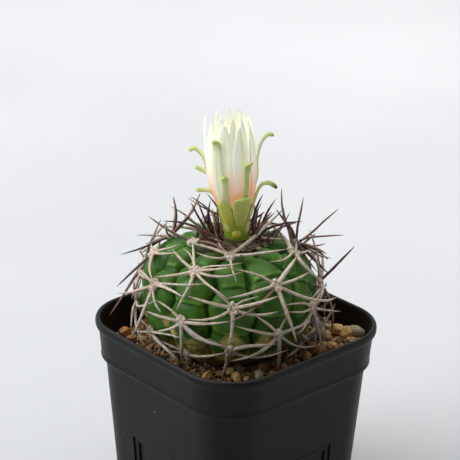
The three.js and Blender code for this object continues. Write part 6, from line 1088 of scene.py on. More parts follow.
def add_wool(s, rng, c, n, up, w, l, thick, age, fibres=46):
    e = np.cross(up, n)
    # a lumpy cushion
    rows, cols = 12, 26
    V = []
    for i in range(rows):
        ph = (i + 0.6) / rows * 0.62 * np.pi
        a = 2 * np.pi * np.arange(cols) / cols
        V.append(c + (w * np.sin(ph) * np.cos(a))[:, None] * e + (l * np.sin(ph) * np.sin(a))[:, None] * up + thick * np.cos(ph) * n)
    V = np.vstack(V)
    V += 0.38 * fbm(V, 0.9, 101)[:, None] * n + 0.22 * fbm(V, 0.55, 111)[:, None] * unit(V - c)
    F = [f[::-1] for f in ring_faces(rows, cols)]
    s.add(V, F, 1, age=np.full(len(V), age), tint=np.ones((len(V), 3)))
    for _ in range(fibres):
        a, q = rng.uniform(0, 2 * np.pi), math.sqrt(rng.uniform(0.02, 1.0))
        p0 = c + w * 0.93 * q * math.cos(a) * e + l * 0.93 * q * math.sin(a) * up + thick * math.sqrt(max(0, 1 - q * q)) * 0.85 * n
        out = unit(n * rng.uniform(0.2, 1.0) + (math.cos(a) * e + math.sin(a) * up) * rng.uniform(0.3, 1.3) + rng.normal(0, 0.35, 3))
        Lf = rng.uniform(0.5, 1.15)
        p1 = p0 + out * Lf * 0.5 + rng.normal(0, 0.12, 3)
        p2 = p1 + unit(out + rng.normal(0, 0.7, 3)) * Lf * 0.5
        C = catmull([p0 - out * 0.15, p0, p1, p2], 6)
        V = sweep(C, np.interp(np.linspace(0, 1, 6), [0, 1], [0.075, 0.03]), 4)
        s.add(V, [f[::-1] for f in ring_faces(6, 4)], 1, age=np.full(len(V), age * rng.uniform(0.5, 1)), tint=np.ones((len(V), 3)))


def build_spines():
    rng = np.random.default_rng(42)
    by = {}
    for c, r, k, *pts in SPINES:
        by.setdefault(c, []).append((r, k, np.array(pts, float)))
    for name, centre in AREOLES.items():
        c = np.array(centre, float)
        n = globe_normal(c)
        up = unit(np.array([0, 0, 1.0]) - n[2] * n)
        z = c[2]
        s = Soup()
        for r, k, pts in by.get(name, []):
            add_spine(s, rng, pts, r, k)
        age = float(np.clip((97 - z) / 22, 0, 1))
        add_wool(s, rng, c + 0.35 * n - 0.2 * up, n, up, 1.85, 2.45, 1.45, age * 0.4)
        # wool is packed into small tufts between the roots of the spines
        for k in range(5):
            a = 2 * np.pi * (k + rng.uniform(0, 0.6)) / 5
            cc = c + 1.35 * math.cos(a) * np.cross(up, n) + 1.7 * math.sin(a) * up + 0.8 * n
            add_wool(s, rng, cc, n, up, 0.85, 1.05, 1.15, age * 0.35, fibres=9)
        ob = s.build("spines_" + name + "_fine", [M_SPINE, M_WOOL])
        finish_piece(ob, ["spines_" + name])
    # crown: felt round the growing point and young dark spines
    s = Soup()
    for r, k, pts in by.get("crown", []):
        add_spine(s, rng, pts, r, k)
    for k in range(76):
        a = rng.uniform(0, 2 * np.pi)
        rr = rng.uniform(5.8, 13.5)
        base = np.array([FB[0] + rr * math.cos(a), FB[1] + rr * math.sin(a), 0])
        q = base - CEN
        rad = math.hypot(q[0], q[1])
        base[2] = CEN[2] + B * (1 - (rad / A) ** POW) ** (1 / POW) + 0.1
        out = np.array([math.cos(a), math.sin(a), 0])
        low = rng.random() < 0.45
        L = rng.uniform(5, 9) if low else rng.uniform(7, 14.5)
        lift = rng.uniform(0.12, 0.4) if low else rng.uniform(0.8, 2.2)
        turn = rng.uniform(-1.2, 1.2) if low else rng.uniform(-0.3, 0.3)
        out = np.array([math.cos(a + turn), math.sin(a + turn), 0])
        d = unit(out * 1.0 + np.array([0, 0, lift]) + rng.normal(0, 0.28, 3))
        bend = rng.normal(0, 0.10, 3) + np.array([0, 0, 0.06])
        pts = [base, base + d * L / 3, base + (d + bend * 0.6) * 2 * L / 3, base + (d + bend * 1.5) * L]
        pts = np.array(pts)
        ax = pts - FB
        rad = np.linalg.norm(ax - (ax @ FA)[:, None] * FA, axis=1)
        if (rad[1:] < 6.6).any() or np.dot(out, FF) > 0.55 and not low:
            continue
        add_spine(s, rng, pts, rng.uniform(0.38, 0.56), "d" if rng.random() < 0.75 else "b", sides=8, rows=18)
    for k in range(56):
        a = 2 * np.pi * (k + rng.uniform(-0.3, 0.3)) / 28
        rr = rng.uniform(5.2, 8.0) if k < 28 else rng.uniform(7.5, 12.5)
        x, y = FB[0] + rr * math.cos(a), FB[1] + rr * math.sin(a)
        rad = math.hypot(x - CEN[0], y - CEN[1])
        z = CEN[2] + B * (1 - (rad / A) ** POW) ** (1 / POW)
        c = np.array([x, y, z - 1.3])
        n = globe_normal(c)
        up = unit(np.array([math.cos(a), math.sin(a), 0]) - np.dot([math.cos(a), math.sin(a), 0], n) * n)
        add_wool(s, rng, c, n, up, rng.uniform(0.8, 1.5), rng.uniform(0.9, 1.6), rng.uniform(0.4, 0.8), rng.uniform(0.9, 1.0), fibres=14)
    finish_piece(s.build("crown_spines_fine", [M_SPINE, M_WOOL]), ["crown_spines"])


# ------------------------------------------------------------------ growing medium
def ico(level):
    t = (1 + 5 ** 0.5) / 2
    V = [(-1, t, 0), (1, t, 0), (-1, -t, 0), (1, -t, 0), (0, -1, t), (0, 1, t), (0, -1, -t), (0, 1, -t), (t, 0, -1), (t, 0, 1), (-t, 0, -1), (-t, 0, 1)]
    F = [(0, 11, 5), (0, 5, 1), (0, 1, 7), (0, 7, 10), (0, 10, 11), (1, 5, 9), (5, 11, 4), (11, 10, 2), (10, 7, 6), (7, 1, 8), (3, 9, 4), (3, 4, 2), (3, 2, 6), (3, 6, 8), (3, 8, 9), (4, 9, 5), (2, 4, 11), (6, 2, 10), (8, 6, 7), (9, 8, 1)]
    V = [np.array(v) / np.linalg.norm(v) for v in V]
    for _ in range(level):
        mid, G = {}, []

        def m(a, b):
            k = (min(a, b), max(a, b))
            if k not in mid:
                p = V[a] + V[b]
                V.append(p / np.linalg.norm(p))
                mid[k] = len(V) - 1
            return mid[k]
        for a, b, c in F:
            x, y, z = m(a, b), m(b, c), m(c, a)
            G += [(a, x, z), (b, y, x), (c, z, y), (x, y, z)]
        F = G
    return np.array(V), F


ICO2, ICO3 = ico(2), ico(3)
GRAINS = [(0.58, 0.345, 0.130), (0.66, 0.44, 0.20), (0.46, 0.255, 0.090), (0.34, 0.175, 0.065), (0.22, 0.130, 0.065), (0.55, 0.43, 0.24), (0.16, 0.110, 0.070), (0.060, 0.038, 0.025), (0.68, 0.53, 0.32), (0.30, 0.265, 0.19)]


def add_grain(s, rng, p, size, tint, stretch=None, level=2, lumps=0.22):
    V, F = ICO3 if level == 3 else ICO2
    st = stretch if stretch is not None else rng.uniform(0.72, 1.25, 3)
    q = rng.normal(size=4)
    q /= np.linalg.norm(q)
    w, x, y, z = q
    Rm = np.array([[1 - 2 * (y * y + z * z), 2 * (x * y - z * w), 2 * (x * z + y * w)], [2 * (x * y + z * w), 1 - 2 * (x * x + z * z), 2 * (y * z - x * w)], [2 * (x * z - y * w), 2 * (y * z + x * w), 1 - 2 * (x * x + y * y)]])
    off = rng.uniform(0, 100, 3)
    P = V * (1 + lumps * fbm(V * 1.0 + off, 0.9, 3)[:, None] * 1.4 + 0.5 * lumps * vnoise(V + off, 0.33, 8)[:, None])
    # flats, as broken baked clay has
    for _ in range(9):
        d = unit(rng.normal(size=3))
        k = rng.uniform(0.55, 0.85)
        h = P @ d
        P = P - np.maximum(h - k, 0)[:, None] * d * 0.85
    P = (P * st) @ Rm.T * size / 2 + p
    s.add(P, F, 0, tint=np.tile(np.array(tint) * rng.uniform(0.8, 1.2), (len(P), 1)))


def inner_half(x, y, z, margin):
    """True inside the pot's rounded-square hollow at height z, less a margin."""
    S = np.interp(z, [60, 64.7, 77], [79.2, 82.9, 85.2]) - 2 * margin
    rc = max(1.0, 21.5 - (90 - S) / 2)
    h = S / 2 - rc
    ax, ay = abs(x), abs(y)
    if ax > S / 2 or ay > S / 2:
        return False
    if ax > h and ay > h:
        return (ax - h) ** 2 + (ay - h) ** 2 < rc ** 2
    return True


def stem_radius(z):
    if z < 71:
        return 19.5
    return A * max(0.0, 1 - (abs(z - CEN[2]) / B) ** POW) ** (1 / POW)


def ground(x, y):
    """Height of the bed: a little hollow at the front, heaped up in the far right corner."""
    g = 69.0 + 0.5 * math.sin(x * 0.21 + 1.3) * math.cos(y * 0.17) + 0.4 * math.sin(x * 0.47 + y * 0.39)
    g += 2.6 * math.exp(-(((x - 24) / 15) ** 2 + ((y - 36) / 13) ** 2))
    g -= 2.6 * math.exp(-(((x + 36) / 13) ** 2 + ((y + 24) / 15) ** 2))
    return g


def build_soil():
    rng = np.random.default_rng(5)
    s = Soup()
    # the bed itself, down to the floor of the pot
    ks = np.r_[np.linspace(0.30, 1, 26)]
    rings = []
    for k in ks:
        ring = square_ring(83.0, 69, corner=10) * np.array([k, k, 1])
        ring[:, 2] = [ground(x, y) - 1.4 for x, y, _ in ring]
        ring[:, 2] += 0.5 * fbm(ring, 3.0, 7)
        rings.append(ring)
    n = len(rings[0])
    for z, S in ((66.0, 82.3), (64.9, 82.0), (60.4, 78.4), (40, 75.0), (20, 71.7), (2.45, 69.0)):
        rings.append(square_ring(S, z, corner=10))
    V = np.vstack(rings + [np.array([[0, 0, 60.0]]), np.array([[0, 0, 2.45]])])
    R = len(rings)
    F = ring_faces(R, n, False, False)
    F = [f[::-1] for f in F]
    for j in range(n):
        F.append((R * n, j, (j + 1) % n))
        b = (R - 1) * n
        F.append((R * n + 1, b + (j + 1) % n, b + j))
    s.add(V, F, 1, tint=np.ones((len(V), 3)))
    placed = []

    def free(p, r, k=0.78):
        for q, rq in placed:
            if (p[0] - q[0]) ** 2 + (p[1] - q[1]) ** 2 + (p[2] - q[2]) ** 2 < (k * (r + rq)) ** 2:
                return False
        return True
    # named stones first
    for x, y, z, size, tint, st in STONES:
        p = np.array([x, y, z], float)
        placed.append((p, size / 2))
        add_grain(s, rng, p, size, tint, stretch=np.array(st), level=3, lumps=0.16)
    tries = 0
    for layer, (count, lo, hi, dz) in enumerate([(300, 2.8, 4.8, -0.2), (620, 1.7, 3.1, 0.15), (760, 0.9, 1.8, 0.35), (280, 1.8, 3.6, 0.9)]):
        got = tries = 0
        while got < count and tries < count * 30:
            tries += 1
            x, y = rng.uniform(-42, 42, 2)
            size = rng.uniform(lo, hi)
            z = ground(x, y) - size * 0.22 + dz
            if not inner_half(x, y, z, size * 0.5 + 0.2):
                continue
            rad = math.hypot(x - CEN[0], y - CEN[1])
            lim = stem_radius(z + size * 0.5)
            if rad < max(lim, 19.5) + size * 0.30:
                continue
            p = np.array([x, y, z])
            if z + size * 0.55 > 74.5 or not free(p, size / 2, 0.70 if layer < 3 else 0.8):
                continue
            placed.append((p, size / 2))
            c = rng.random()
            if layer == 2:
                tint = GRAINS[int(rng.choice([2, 3, 4, 6, 7, 7, 0, 9]))]
            else:
                tint = GRAINS[int(rng.choice([0, 0, 1, 1, 2, 2, 3, 4, 5, 6, 7, 8, 9]))]
            # the grains toward the front are made darker than the heap at the right
            front_darkening = smooth(30, -12, y) * 0.28
            tint = np.array(tint) * (1 - front_darkening)
            add_grain(s, rng, p, size, tint, level=2)
            got += 1
    # dry scraps of bark and root
    for _ in range(90):
        x, y = rng.uniform(-41, 41, 2)
        z = ground(x, y) + rng.uniform(0.6, 1.6)
        if not inner_half(x, y, z, 4.0) or math.hypot(x - CEN[0], y - CEN[1]) < max(stem_radius(z + 1), 20) + 2.5:
            continue
        a = rng.uniform(0, np.pi)
        L = rng.uniform(2.5, 6.5)
        d = np.array([math.cos(a), math.sin(a), rng.uniform(-0.15, 0.2)])
        nrm = np.array([-d[1], d[0], 0])
        c = np.array([x, y, z])
        C = catmull([c - d * L / 2, c - d * L / 6 + nrm * rng.normal(0, 0.4), c + d * L / 6 + nrm * rng.normal(0, 0.4), c + d * L / 2], 9)
        r = rng.uniform(0.18, 0.5)
        V = sweep(C, r * np.interp(np.linspace(0, 1, 9), [0, .2, .8, 1], [0.4, 1, 1, 0.3]), 6, squash=0.5)
        tint = np.array([(0.09, 0.05, 0.03), (0.20, 0.12, 0.07), (0.40, 0.30, 0.19), (0.13, 0.06, 0.045)][int(rng.integers(4))])
        s.add(V, [f[::-1] for f in ring_faces(9, 6)], 0, tint=np.tile(tint, (len(V), 1)))
    finish_piece(s.build("soil_grains", [M_GRAIN, M_BED], smooth_angle=38), ["soil"])


# ------------------------------------------------------------------ flower
def shell_strip(S, stations, thick, rows=26, cols=9, warm=0.0, brown=0.0, cup=1.0, seed=0, material=0, pale=0.3, blunt=False):
    """A fleshy scale or tepal: a closed lens-section blade along the stations."""
    st = catmull([[h, rho, az, w] for h, rho, az, w in stations], rows)
    mid = flower_point(st[:, 0], st[:, 1], st[:, 2])
    T = unit(np.gradient(mid, axis=0))
    out = flower_point(st[:, 0], st[:, 1] + 1, st[:, 2]) - mid
    side = unit(np.cross(FA, out))
    m = unit(np.cross(side, T))
    m = np.where((np.einsum("ij,ij->i", m, out) < 0)[:, None] & (np.einsum("ij,j->i", T, FA) > 0)[:, None], -m, m)
    # keep the sense of the upper face steady along the blade
    for i in range(1, rows):
        if np.dot(m[i], m[i - 1]) < 0:
            m[i] = -m[i]
    t = np.linspace(0, 1, rows)
    w = np.maximum(st[:, 3], 0.05)
    end = np.sqrt(np.clip(1 - np.clip((t - 0.93) / 0.07, 0, 0.985) ** 2, 0, 1))
    w = w * (end if blunt else np.interp(t, [0, 0.93, 1], [1, 1, 0.35]))
    x = np.cos(np.pi * np.arange(cols) / (cols - 1))[::-1]
    ring = []
    for sgn, xs in ((1, x), (-1, x[::-1][1:-1])):
        for xx in xs:
            bow = cup * np.minimum(0.5 * w, w * w / (2 * np.maximum(st[:, 1], 3)))
            th = thick * np.sqrt(max(0.0, 1 - xx * xx)) * np.interp(t, [0, 0.1, 0.5, 0.85, 0.95, 1], [0.8, 1, 1.0, 1.35, 1.3, 0.7] if blunt else [0.8, 1, 1, 0.9, 0.7, 0.4])
            y = -bow * xx * xx + (0.0 if sgn > 0 else -1.0) * th + (0.35 * th if sgn > 0 else 0)
            y = y + 0.06 * vnoise(mid + 10 * xx, 2.0, 41 + seed) - (0.10 * thick * math.exp(-(xx / 0.12) ** 2) if sgn > 0 else 0)
            ring.append(mid + side * (xx * w)[:, None] + m * y[:, None])
    n = len(ring)
    V = np.stack(ring, 1).reshape(-1, 3)
    F = ring_faces(rows, n)
    xv = np.tile(np.r_[x, x[::-1][1:-1]], rows)
    # outward winding
    a, b, c = V[F[0][0]], V[F[0][1]], V[F[0][2]]
    cen = V[:n].mean(0)
    if np.dot(np.cross(b - a, c - a), a - cen) < 0:
        F = [f[::-1] for f in F]
    S.add(V, F, material, v=np.repeat(t, n), x=xv, warm=np.full(len(V), warm), brown=np.full(len(V), brown), pale=np.full(len(V), pale))


def petal_blade(S, az, half, inset, low, high, green, pink, brownedge=0.0, lean=0.0, curl=0.0, tipw=0.30, twist=0.0, rows=44, cols=15, seed=0, thick=0.34):
    t = np.linspace(0, 1, rows)
    h = low + (high - low) * t
    x = np.linspace(-1, 1, cols)
    # half width as an angle: narrow claw, widest at two thirds, pointed tip
    wide = half * np.interp(t, [0, 0.12, 0.35, 0.58, 0.74, 0.86, 0.94, 1.0], [0.72, 0.84, 0.98, 1.0, 0.84, 0.52, tipw, 0.03])
    R = envelope(h) - inset + lean * t ** 2 + curl * smooth(0.86, 1.0, t) * 1.6
    rows_v = []
    for face in (1, -1):
        for xx in (x if face > 0 else x[::-1]):
            ang = az + wide * xx + twist * t
            ripple = 0.22 * vnoise(np.stack([t * 9 + seed * 7.7, np.full(rows, xx * 1.4), np.full(rows, seed * 3.1)], -1), 1.0, 51)
            # one edge tucks under its neighbour
            r = R - 0.55 * smooth(0.3, 1.0, xx) * smooth(0.05, 0.3, t) + 0.22 * smooth(-0.3, -1.0, xx) + ripple * smooth(0.15, 0.9, t)
            r = r - 0.16 * math.exp(-(xx / 0.10) ** 2) * (1 - t)
            r = r - (0.0 if face > 0 else thick * np.interp(t, [0, 0.9, 1], [1.2, 0.8, 0.25]) * (1 - 0.7 * abs(xx) ** 3))
            hh = h - 1.2 * abs(xx) ** 2 * smooth(0.75, 1, t) * 0 + 0.15 * vnoise(np.stack([t * 5, np.full(rows, xx * 2 + seed), np.full(rows, 1.0 * seed)], -1), 1.0, 57)
            rows_v.append(flower_point(hh, r, ang))
    n = len(rows_v)
    V = np.stack(rows_v, 1).reshape(-1, 3)
    F = ring_faces(rows, n)
    F = [f[::-1] for f in F] if np.dot(np.cross(V[F[0][1]] - V[F[0][0]], V[F[0][2]] - V[F[0][0]]), V[F[0][0]] - (FB + low * FA)) < 0 else F
    xv = np.tile(np.r_[x, x[::-1]], rows)
    S.add(V, F, 0, v=np.repeat(t, n), x=xv, green=np.full(len(V), green), pink=np.full(len(V), pink), brownedge=np.full(len(V), brownedge))


def build_flower():
    # receptacle tube with small pressed scales
    s = Soup()
    rows, cols = 44, 72
    hs = np.linspace(-1.6, 16.6, rows)
    az = 360 * np.arange(cols) / cols
    V = []
    for h in hs:
        r = tube_r(h) * (1 - 0.10 * smooth(0.5, -1.6, h)) + 0.10 * np.cos(np.radians(az * 8 + 20 * h)) * smooth(1, 7, h)
        V.append(flower_point(np.full(cols, h), r, az))
    for h, k in ((16.9, 0.93), (16.8, 0.75), (15.8, 0.58), (14.4, 0.50), (13.6, 0.30)):
        V.append(flower_point(np.full(cols, h), tube_r(min(h, 16.6)) * k, az))
    V = np.vstack(V)
    V += 0.05 * fbm(V, 1.6, 61)[:, None] * FS
    R = rows + 5
    F = ring_faces(R, cols)
    if np.dot(np.cross(V[F[0][1]] - V[F[0][0]], V[F[0][2]] - V[F[0][0]]), V[F[0][0]] - V[:cols].mean(0)) < 0:
        F = [f[::-1] for f in F]
    vv = np.repeat(np.r_[np.clip(hs / 16.6, 0, 1), 1, 1, 1, 1, 1], cols)
    s.add(V, F, 0, v=vv, x=np.zeros(len(V)))
    # knobs: a round pale bump low on the front and small scales pressed to the tube
    Vi, Fi = ICO3
    for h, a, w, l, th in ((4.7, 3, 1.75, 1.7, 0.95), (0.9, 20, 1.1, 1.0, 0.6), (5.4, 150, 1.6, 1.7, 0.8), (5.0, -120, 1.6, 1.7, 0.8)):
        p = flower_point(h, tube_r(h) - 0.05, a)
        out = unit(flower_point(h, 2.0, a) - flower_point(h, 1.0, a))
        sd = unit(np.cross(FA, out))
        P = p + Vi[:, :1] * w * sd + Vi[:, 1:2] * l * FA + Vi[:, 2:3] * th * out
        P = P + 0.08 * fbm(P, 0.9, 66)[:, None] * out
        s.add(P, Fi, 1, v=np.clip(0.25 + 0.3 * Vi[:, 1], 0, 1), x=np.zeros(len(P)), warm=np.full(len(P), 1.0), brown=np.zeros(len(P)))
    for st in ([(5.4, 4.75, -42, 1.0), (6.8, 5.15, -42, 1.55), (8.4, 5.45, -42, 1.3), (9.8, 5.75, -42, 0.3)],
               [(4.4, 4.7, 66, 1.0), (6.2, 5.1, 66, 1.6), (8.2, 5.4, 66, 1.3), (9.6, 5.7, 66, 0.3)],
               [(4.8, 4.7, 118, 1.1), (6.6, 5.1, 118, 1.7), (8.6, 5.5, 118, 1.4), (10.2, 5.8, 118, 0.3)],
               [(5.0, 4.7, 196, 1.1), (7.0, 5.1, 196, 1.8), (9.0, 5.5, 196, 1.4), (10.8, 5.8, 196, 0.3)],
               [(4.6, 4.7, 250, 1.1), (6.4, 5.1, 250, 1.7), (8.4, 5.5, 250, 1.4), (10.0, 5.8, 250, 0.3)]):
        shell_strip(s, st, 0.5, rows=16, warm=0.6, material=1)
    finish_piece(s.build("flower_tube_fine", [M_TUBE, M_SCALE]), ["flower_tube"])
    # scales and outer tepals
    def surf(h):
        return float(max(envelope(h), tube_r(h))) + 0.05
    for i, (name, st) in enumerate(SCALES.items()):
        s = Soup()
        if name == "scale_1":
            a = -28
            st = [[7.2, surf(7.2) - 0.7, a, 0.8], [9.4, surf(9.4) - 0.15, a, 1.7], [12.2, surf(12.2) + 0.25, a, 2.45], [15.3, surf(15.3) + 0.45, a, 2.55], [18.2, surf(18.2) + 0.75, a, 1.75], [20.2, surf(20.2) + 0.8, a, 0.5]]
        elif name == "scale_2":
            a = 22
            st = [[7.4, surf(7.4) - 0.7, a, 0.9], [9.8, surf(9.8) - 0.1, a, 1.9], [12.8, surf(12.8) + 0.35, a, 2.9], [15.9, surf(15.9) + 0.6, a, 3.45], [18.6, surf(18.6) + 0.95, a, 3.4], [20.3, surf(20.3) + 1.8, a + 3, 2.9], [19.9, surf(20.3) + 3.0, a + 6, 1.5]]
        elif name == "scale_3":
            st = [[h + 0.6, surf(h + 0.6) + k, az, w * 1.1] for (h, rho, az, w), k in zip(st, (-0.4, 0.2, 0.3, 0.6))]
        else:
            h0, az, w = st[0][0], st[0][2], st[0][3]
            dh, da, dr = {"scale_4": (4.2, 19, 0.35), "scale_5": (2.3, -14, 0.35), "scale_6": (0.4, 30, 0.42), "scale_7": (-0.5, 0, -1.3), "scale_8": (-0.6, 0, -0.5), "scale_9": (0.2, 0, -1.2), "scale_10": (-0.4, 0, -0.9)}.get(name, (0, 0, 0.42))
            k0 = st[0][1]
            st = [[h + dh, rho + (dr if dr > 0 else dr * min(1.0, (rho - k0) / 3.0)), a + da, max(q, 0.95)] for h, rho, a, q in st]
            if dh > 1:
                st = [[h, rho + max(0.0, surf(h) - surf(h - dh)) if n < 3 else rho + 0.5, a, q] for n, (h, rho, a, q) in enumerate(st)]
            if name == "scale_6":
                st = [[h, rho, a, q * 1.15] for h, rho, a, q in st]
            st[-1][3] = 1.0
            az = st[0][2]
            h0 = st[0][0]
            foot = max(13.5, h0 - 11)
            st = [[foot, surf(foot) - 0.35, az, 0.75 * w], [(foot + h0) / 2, surf((foot + h0) / 2) + 0.15, az, 0.95 * w]] + st if h0 - foot > 2.5 else [[h0 - 2.0, surf(h0 - 2.0) - 0.4, az, 0.8 * w]] + st
        fat = {"scale_1": 0.75, "scale_2": 0.8}.get(name, 0.85)
        pale = {"scale_6": 1.0, "scale_7": 0.8, "scale_10": 0.9, "scale_4": 0.45, "scale_5": 0.35, "scale_1": 0.0, "scale_2": 0.1}.get(name, 0.4)
        shell_strip(s, st, fat, rows=38, cols=11, warm={"scale_1": 1.0, "scale_2": 0.6, "scale_4": 0.8}.get(name, 0.3), brown=1.0 if name == "scale_11" else 0.0, seed=i, pale=pale, blunt=name not in ("scale_1", "scale_3"))
        finish_piece(s.build(name + "_fine", [M_SCALE]), [name])
    # petals: an outer whorl of broad ones and inner ones with sharper tips
    rp = np.random.default_rng(12)
    whorls = [
        # bearing, half angle, inset, top, lean, green, node
        (-94, 23, 0.00, 51.2, 1.9, 0.10, 6), (-54, 25, 0.25, 48.6, 0.2, 0.35, 1), (-12, 26, 0.05, 49.4, -0.1, 0.7, 1), (30, 25, 0.25, 48.6, -0.4, 1.0, 2), (72, 25, 0.05, 50.6, -1.0, 1.0, 3),
        (118, 26, 0.25, 49.2, -0.6, 0.5, 4), (164, 26, 0.05, 50.8, 0.0, 0.5, 5), (212, 26, 0.25, 50.0, 0.3, 0.4, 5),
        (-74, 21, 1.15, 49.6, 0.7, 0.25, 10), (-32, 22, 1.35, 51.2, 0.1, 0.25, 7), (8, 22, 1.15, 51.8, -0.2, 0.9, 7), (50, 21, 1.35, 53.0, -0.9, 0.3, 8), (94, 22, 1.2, 49.8, -1.0, 0.5, 8),
        (138, 22, 1.35, 51.0, -0.4, 0.4, 9), (182, 22, 1.15, 52.0, 0.0, 0.4, 9), (228, 22, 1.35, 51.2, 0.3, 0.3, 10),
        (-50, 28, 2.6, 48.8, -0.8, 0.1, 7), (20, 28, 2.7, 50.2, -1.2, 0.2, 8), (92, 28, 2.6, 48.6, -1.4, 0.2, 8), (160, 28, 2.7, 49.8, -0.8, 0.2, 9), (236, 28, 2.6, 49.2, -0.6, 0.1, 10),
        (-10, 38, 4.0, 47.6, -1.6, 0.0, 7), (110, 38, 4.0, 48.2, -1.8, 0.0, 9), (230, 38, 4.1, 47.4, -1.6, 0.0, 10),
    ]
    nodes = {}
    for k, (az, half, inset, high, lean, green, node) in enumerate(whorls):
        s = nodes.setdefault(node, Soup())
        petal_blade(s, az=az, half=half, inset=inset, low=16.4 if inset < 1 else 17.2, high=high, lean=lean, green=green, pink=1.0 if inset < 2 else 0.3, brownedge=1.0 if 40 < az < 110 and inset < 2 else 0.15,
                    tipw=float(rp.uniform(0.18, 0.40)), twist=float(rp.uniform(-4, 4)), curl=float(rp.uniform(-0.25, 0.25)), seed=k + 1)
    for node in sorted(nodes):
        finish_piece(nodes[node].build("petal_%d_fine" % node, [M_PETAL]), ["petal_%d" % node])
    # stamens round the style
    rng = np.random.default_rng(3)
    s = Soup()
    for k in range(46):
        a, q = rng.uniform(0, 360), math.sqrt(rng.uniform(0.05, 1))
        h1 = rng.uniform(33, 40)
        C = catmull([flower_point(14.2, 1.5 * q, a), flower_point(22, 1.6 * q, a + 6), flower_point(30, 2.0 * q, a + 12), flower_point(h1, 2.5 * q, a + 20)], 12)
        V = sweep(C, np.full(12, 0.11), 5)
        s.add(V, [f[::-1] for f in ring_faces(12, 5)], 0, v=np.repeat(np.linspace(0, 0.85, 12), 5))
        P = ICO2[0] * np.array([0.28, 0.28, 0.5]) + C[-1]
        s.add(P, ICO2[1], 0, v=np.ones(len(P)))
    C = catmull([flower_point(14, 0, 0), flower_point(24, 0.1, 0), flower_point(34, 0.1, 0), flower_point(40.2, 0, 0)], 16)
    V = sweep(C, np.full(16, 0.55), 12)
    s.add(V, [f[::-1] for f in ring_faces(16, 12)], 0, v=np.full(len(V), 0.5))
    for k in range(7):
        a = 360 * k / 7
        C = catmull([flower_point(40.0, 0.1, a), flower_point(40.9, 0.6, a), flower_point(41.4, 1.3, a), flower_point(41.0, 1.9, a)], 8)
        V = sweep(C, np.interp(np.linspace(0, 1, 8), [0, 1], [0.26, 0.10]), 6)
        s.add(V, [f[::-1] for f in ring_faces(8, 6)], 0, v=np.full(len(V), 0.7))
    finish_piece(s.build("stamens_fine", [M_STAMEN]), ["stamens"])


def build_small():
    # small grey-green buds beside the crown
    s = Soup()
    for x, y, z, r, l in BUDS:
        c = np.array([x, y, z], float)
        n = globe_normal(c)
        up = unit(np.cross(n, [0.3, 0.9, 0.1]))
        e = np.cross(up, n)
        Vi, Fi = ICO3
        P = c + 0.55 * l * n + Vi[:, :1] * r * e + Vi[:, 1:2] * r * up + Vi[:, 2:3] * l * n
        a = np.arctan2(Vi[:, 1], Vi[:, 0])
        P += (0.10 * r * np.cos(5 * a + 4 * Vi[:, 2]))[:, None] * unit(P - c)
        s.add(P, Fi, 0)
        for k in range(6):
            an = 2 * np.pi * k / 6 + 0.3
            d = math.cos(an) * e + math.sin(an) * up
            b = c + 0.4 * l * n + d * r * 0.92
            C = catmull([b, b + 0.5 * r * n + 0.15 * d, b + 0.95 * r * n - 0.05 * d, b + 1.25 * r * n - 0.4 * d * r], 8)
            V = sweep(C, np.interp(np.linspace(0, 1, 8), [0, 0.4, 1], [0.30, 0.34, 0.05]) * r, 8, squash=0.45)
            s.add(V, [f[::-1] for f in ring_faces(8, 8)], 0)
    finish_piece(s.build("bud_fine", [M_BUD]), ["bud"])
    # seedling: two small oval leaves on a thin stalk
    s = Soup()
    x0, y0, z0 = LEAF
    foot = np.array([x0 - 0.2, y0, 70.3])
    top = np.array([x0, y0, z0])
    C = catmull([foot, foot * 0.6 + top * 0.4 + np.array([0.3, 0.1, 0]), foot * 0.3 + top * 0.7, top], 10)
    V = sweep(C, np.full(10, 0.28), 8)
    s.add(V, [f[::-1] for f in ring_faces(10, 8)], 0, x=np.ones(len(V)))
    for ang, L, W, tilt in ((0.73, 2.35, 1.55, 0.18), (0.73 + np.pi, 2.2, 1.45, 0.10)):
        d = np.array([math.cos(ang), math.sin(ang), tilt])
        sd = np.array([-math.sin(ang), math.cos(ang), 0.0])
        rows, cols = 16, 9
        t = np.linspace(0, 1, rows)
        w = W * np.sin(np.pi * np.clip(t * 0.94 + 0.03, 0, 1)) ** 0.7
        x = np.linspace(-1, 1, cols)
        ring = []
        for face in (1, -1):
            for xx in (x if face > 0 else x[::-1]):
                zz = 0.28 * xx * xx + 0.10 * np.sin(3 * t) + (0 if face > 0 else -0.22) - 0.35 * t * t
                ring.append(top + d * (L * t)[:, None] + sd * (xx * w)[:, None] + np.array([0, 0, 1.0]) * zz[:, None])
        n = len(ring)
        V = np.stack(ring, 1).reshape(-1, 3)
        F = ring_faces(rows, n)
        s.add(V, F, 0, x=np.tile(np.r_[x, x[::-1]], rows))
    ob = s.build("seedling_fine", [M_LEAF])
    finish_piece(ob, ["seedling"])


build_pot()
build_stem()
build_spines()
build_soil()
build_flower()
build_small()

# every closed piece has its faces turned outward
import bmesh
for o in [o for o in bpy.data.objects if o.type == "MESH" and "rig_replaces" in o]:
    bm = bmesh.new()
    bm.from_mesh(o.data)
    bmesh.ops.recalc_face_normals(bm, faces=bm.faces)
    bm.to_mesh(o.data)
    bm.free()

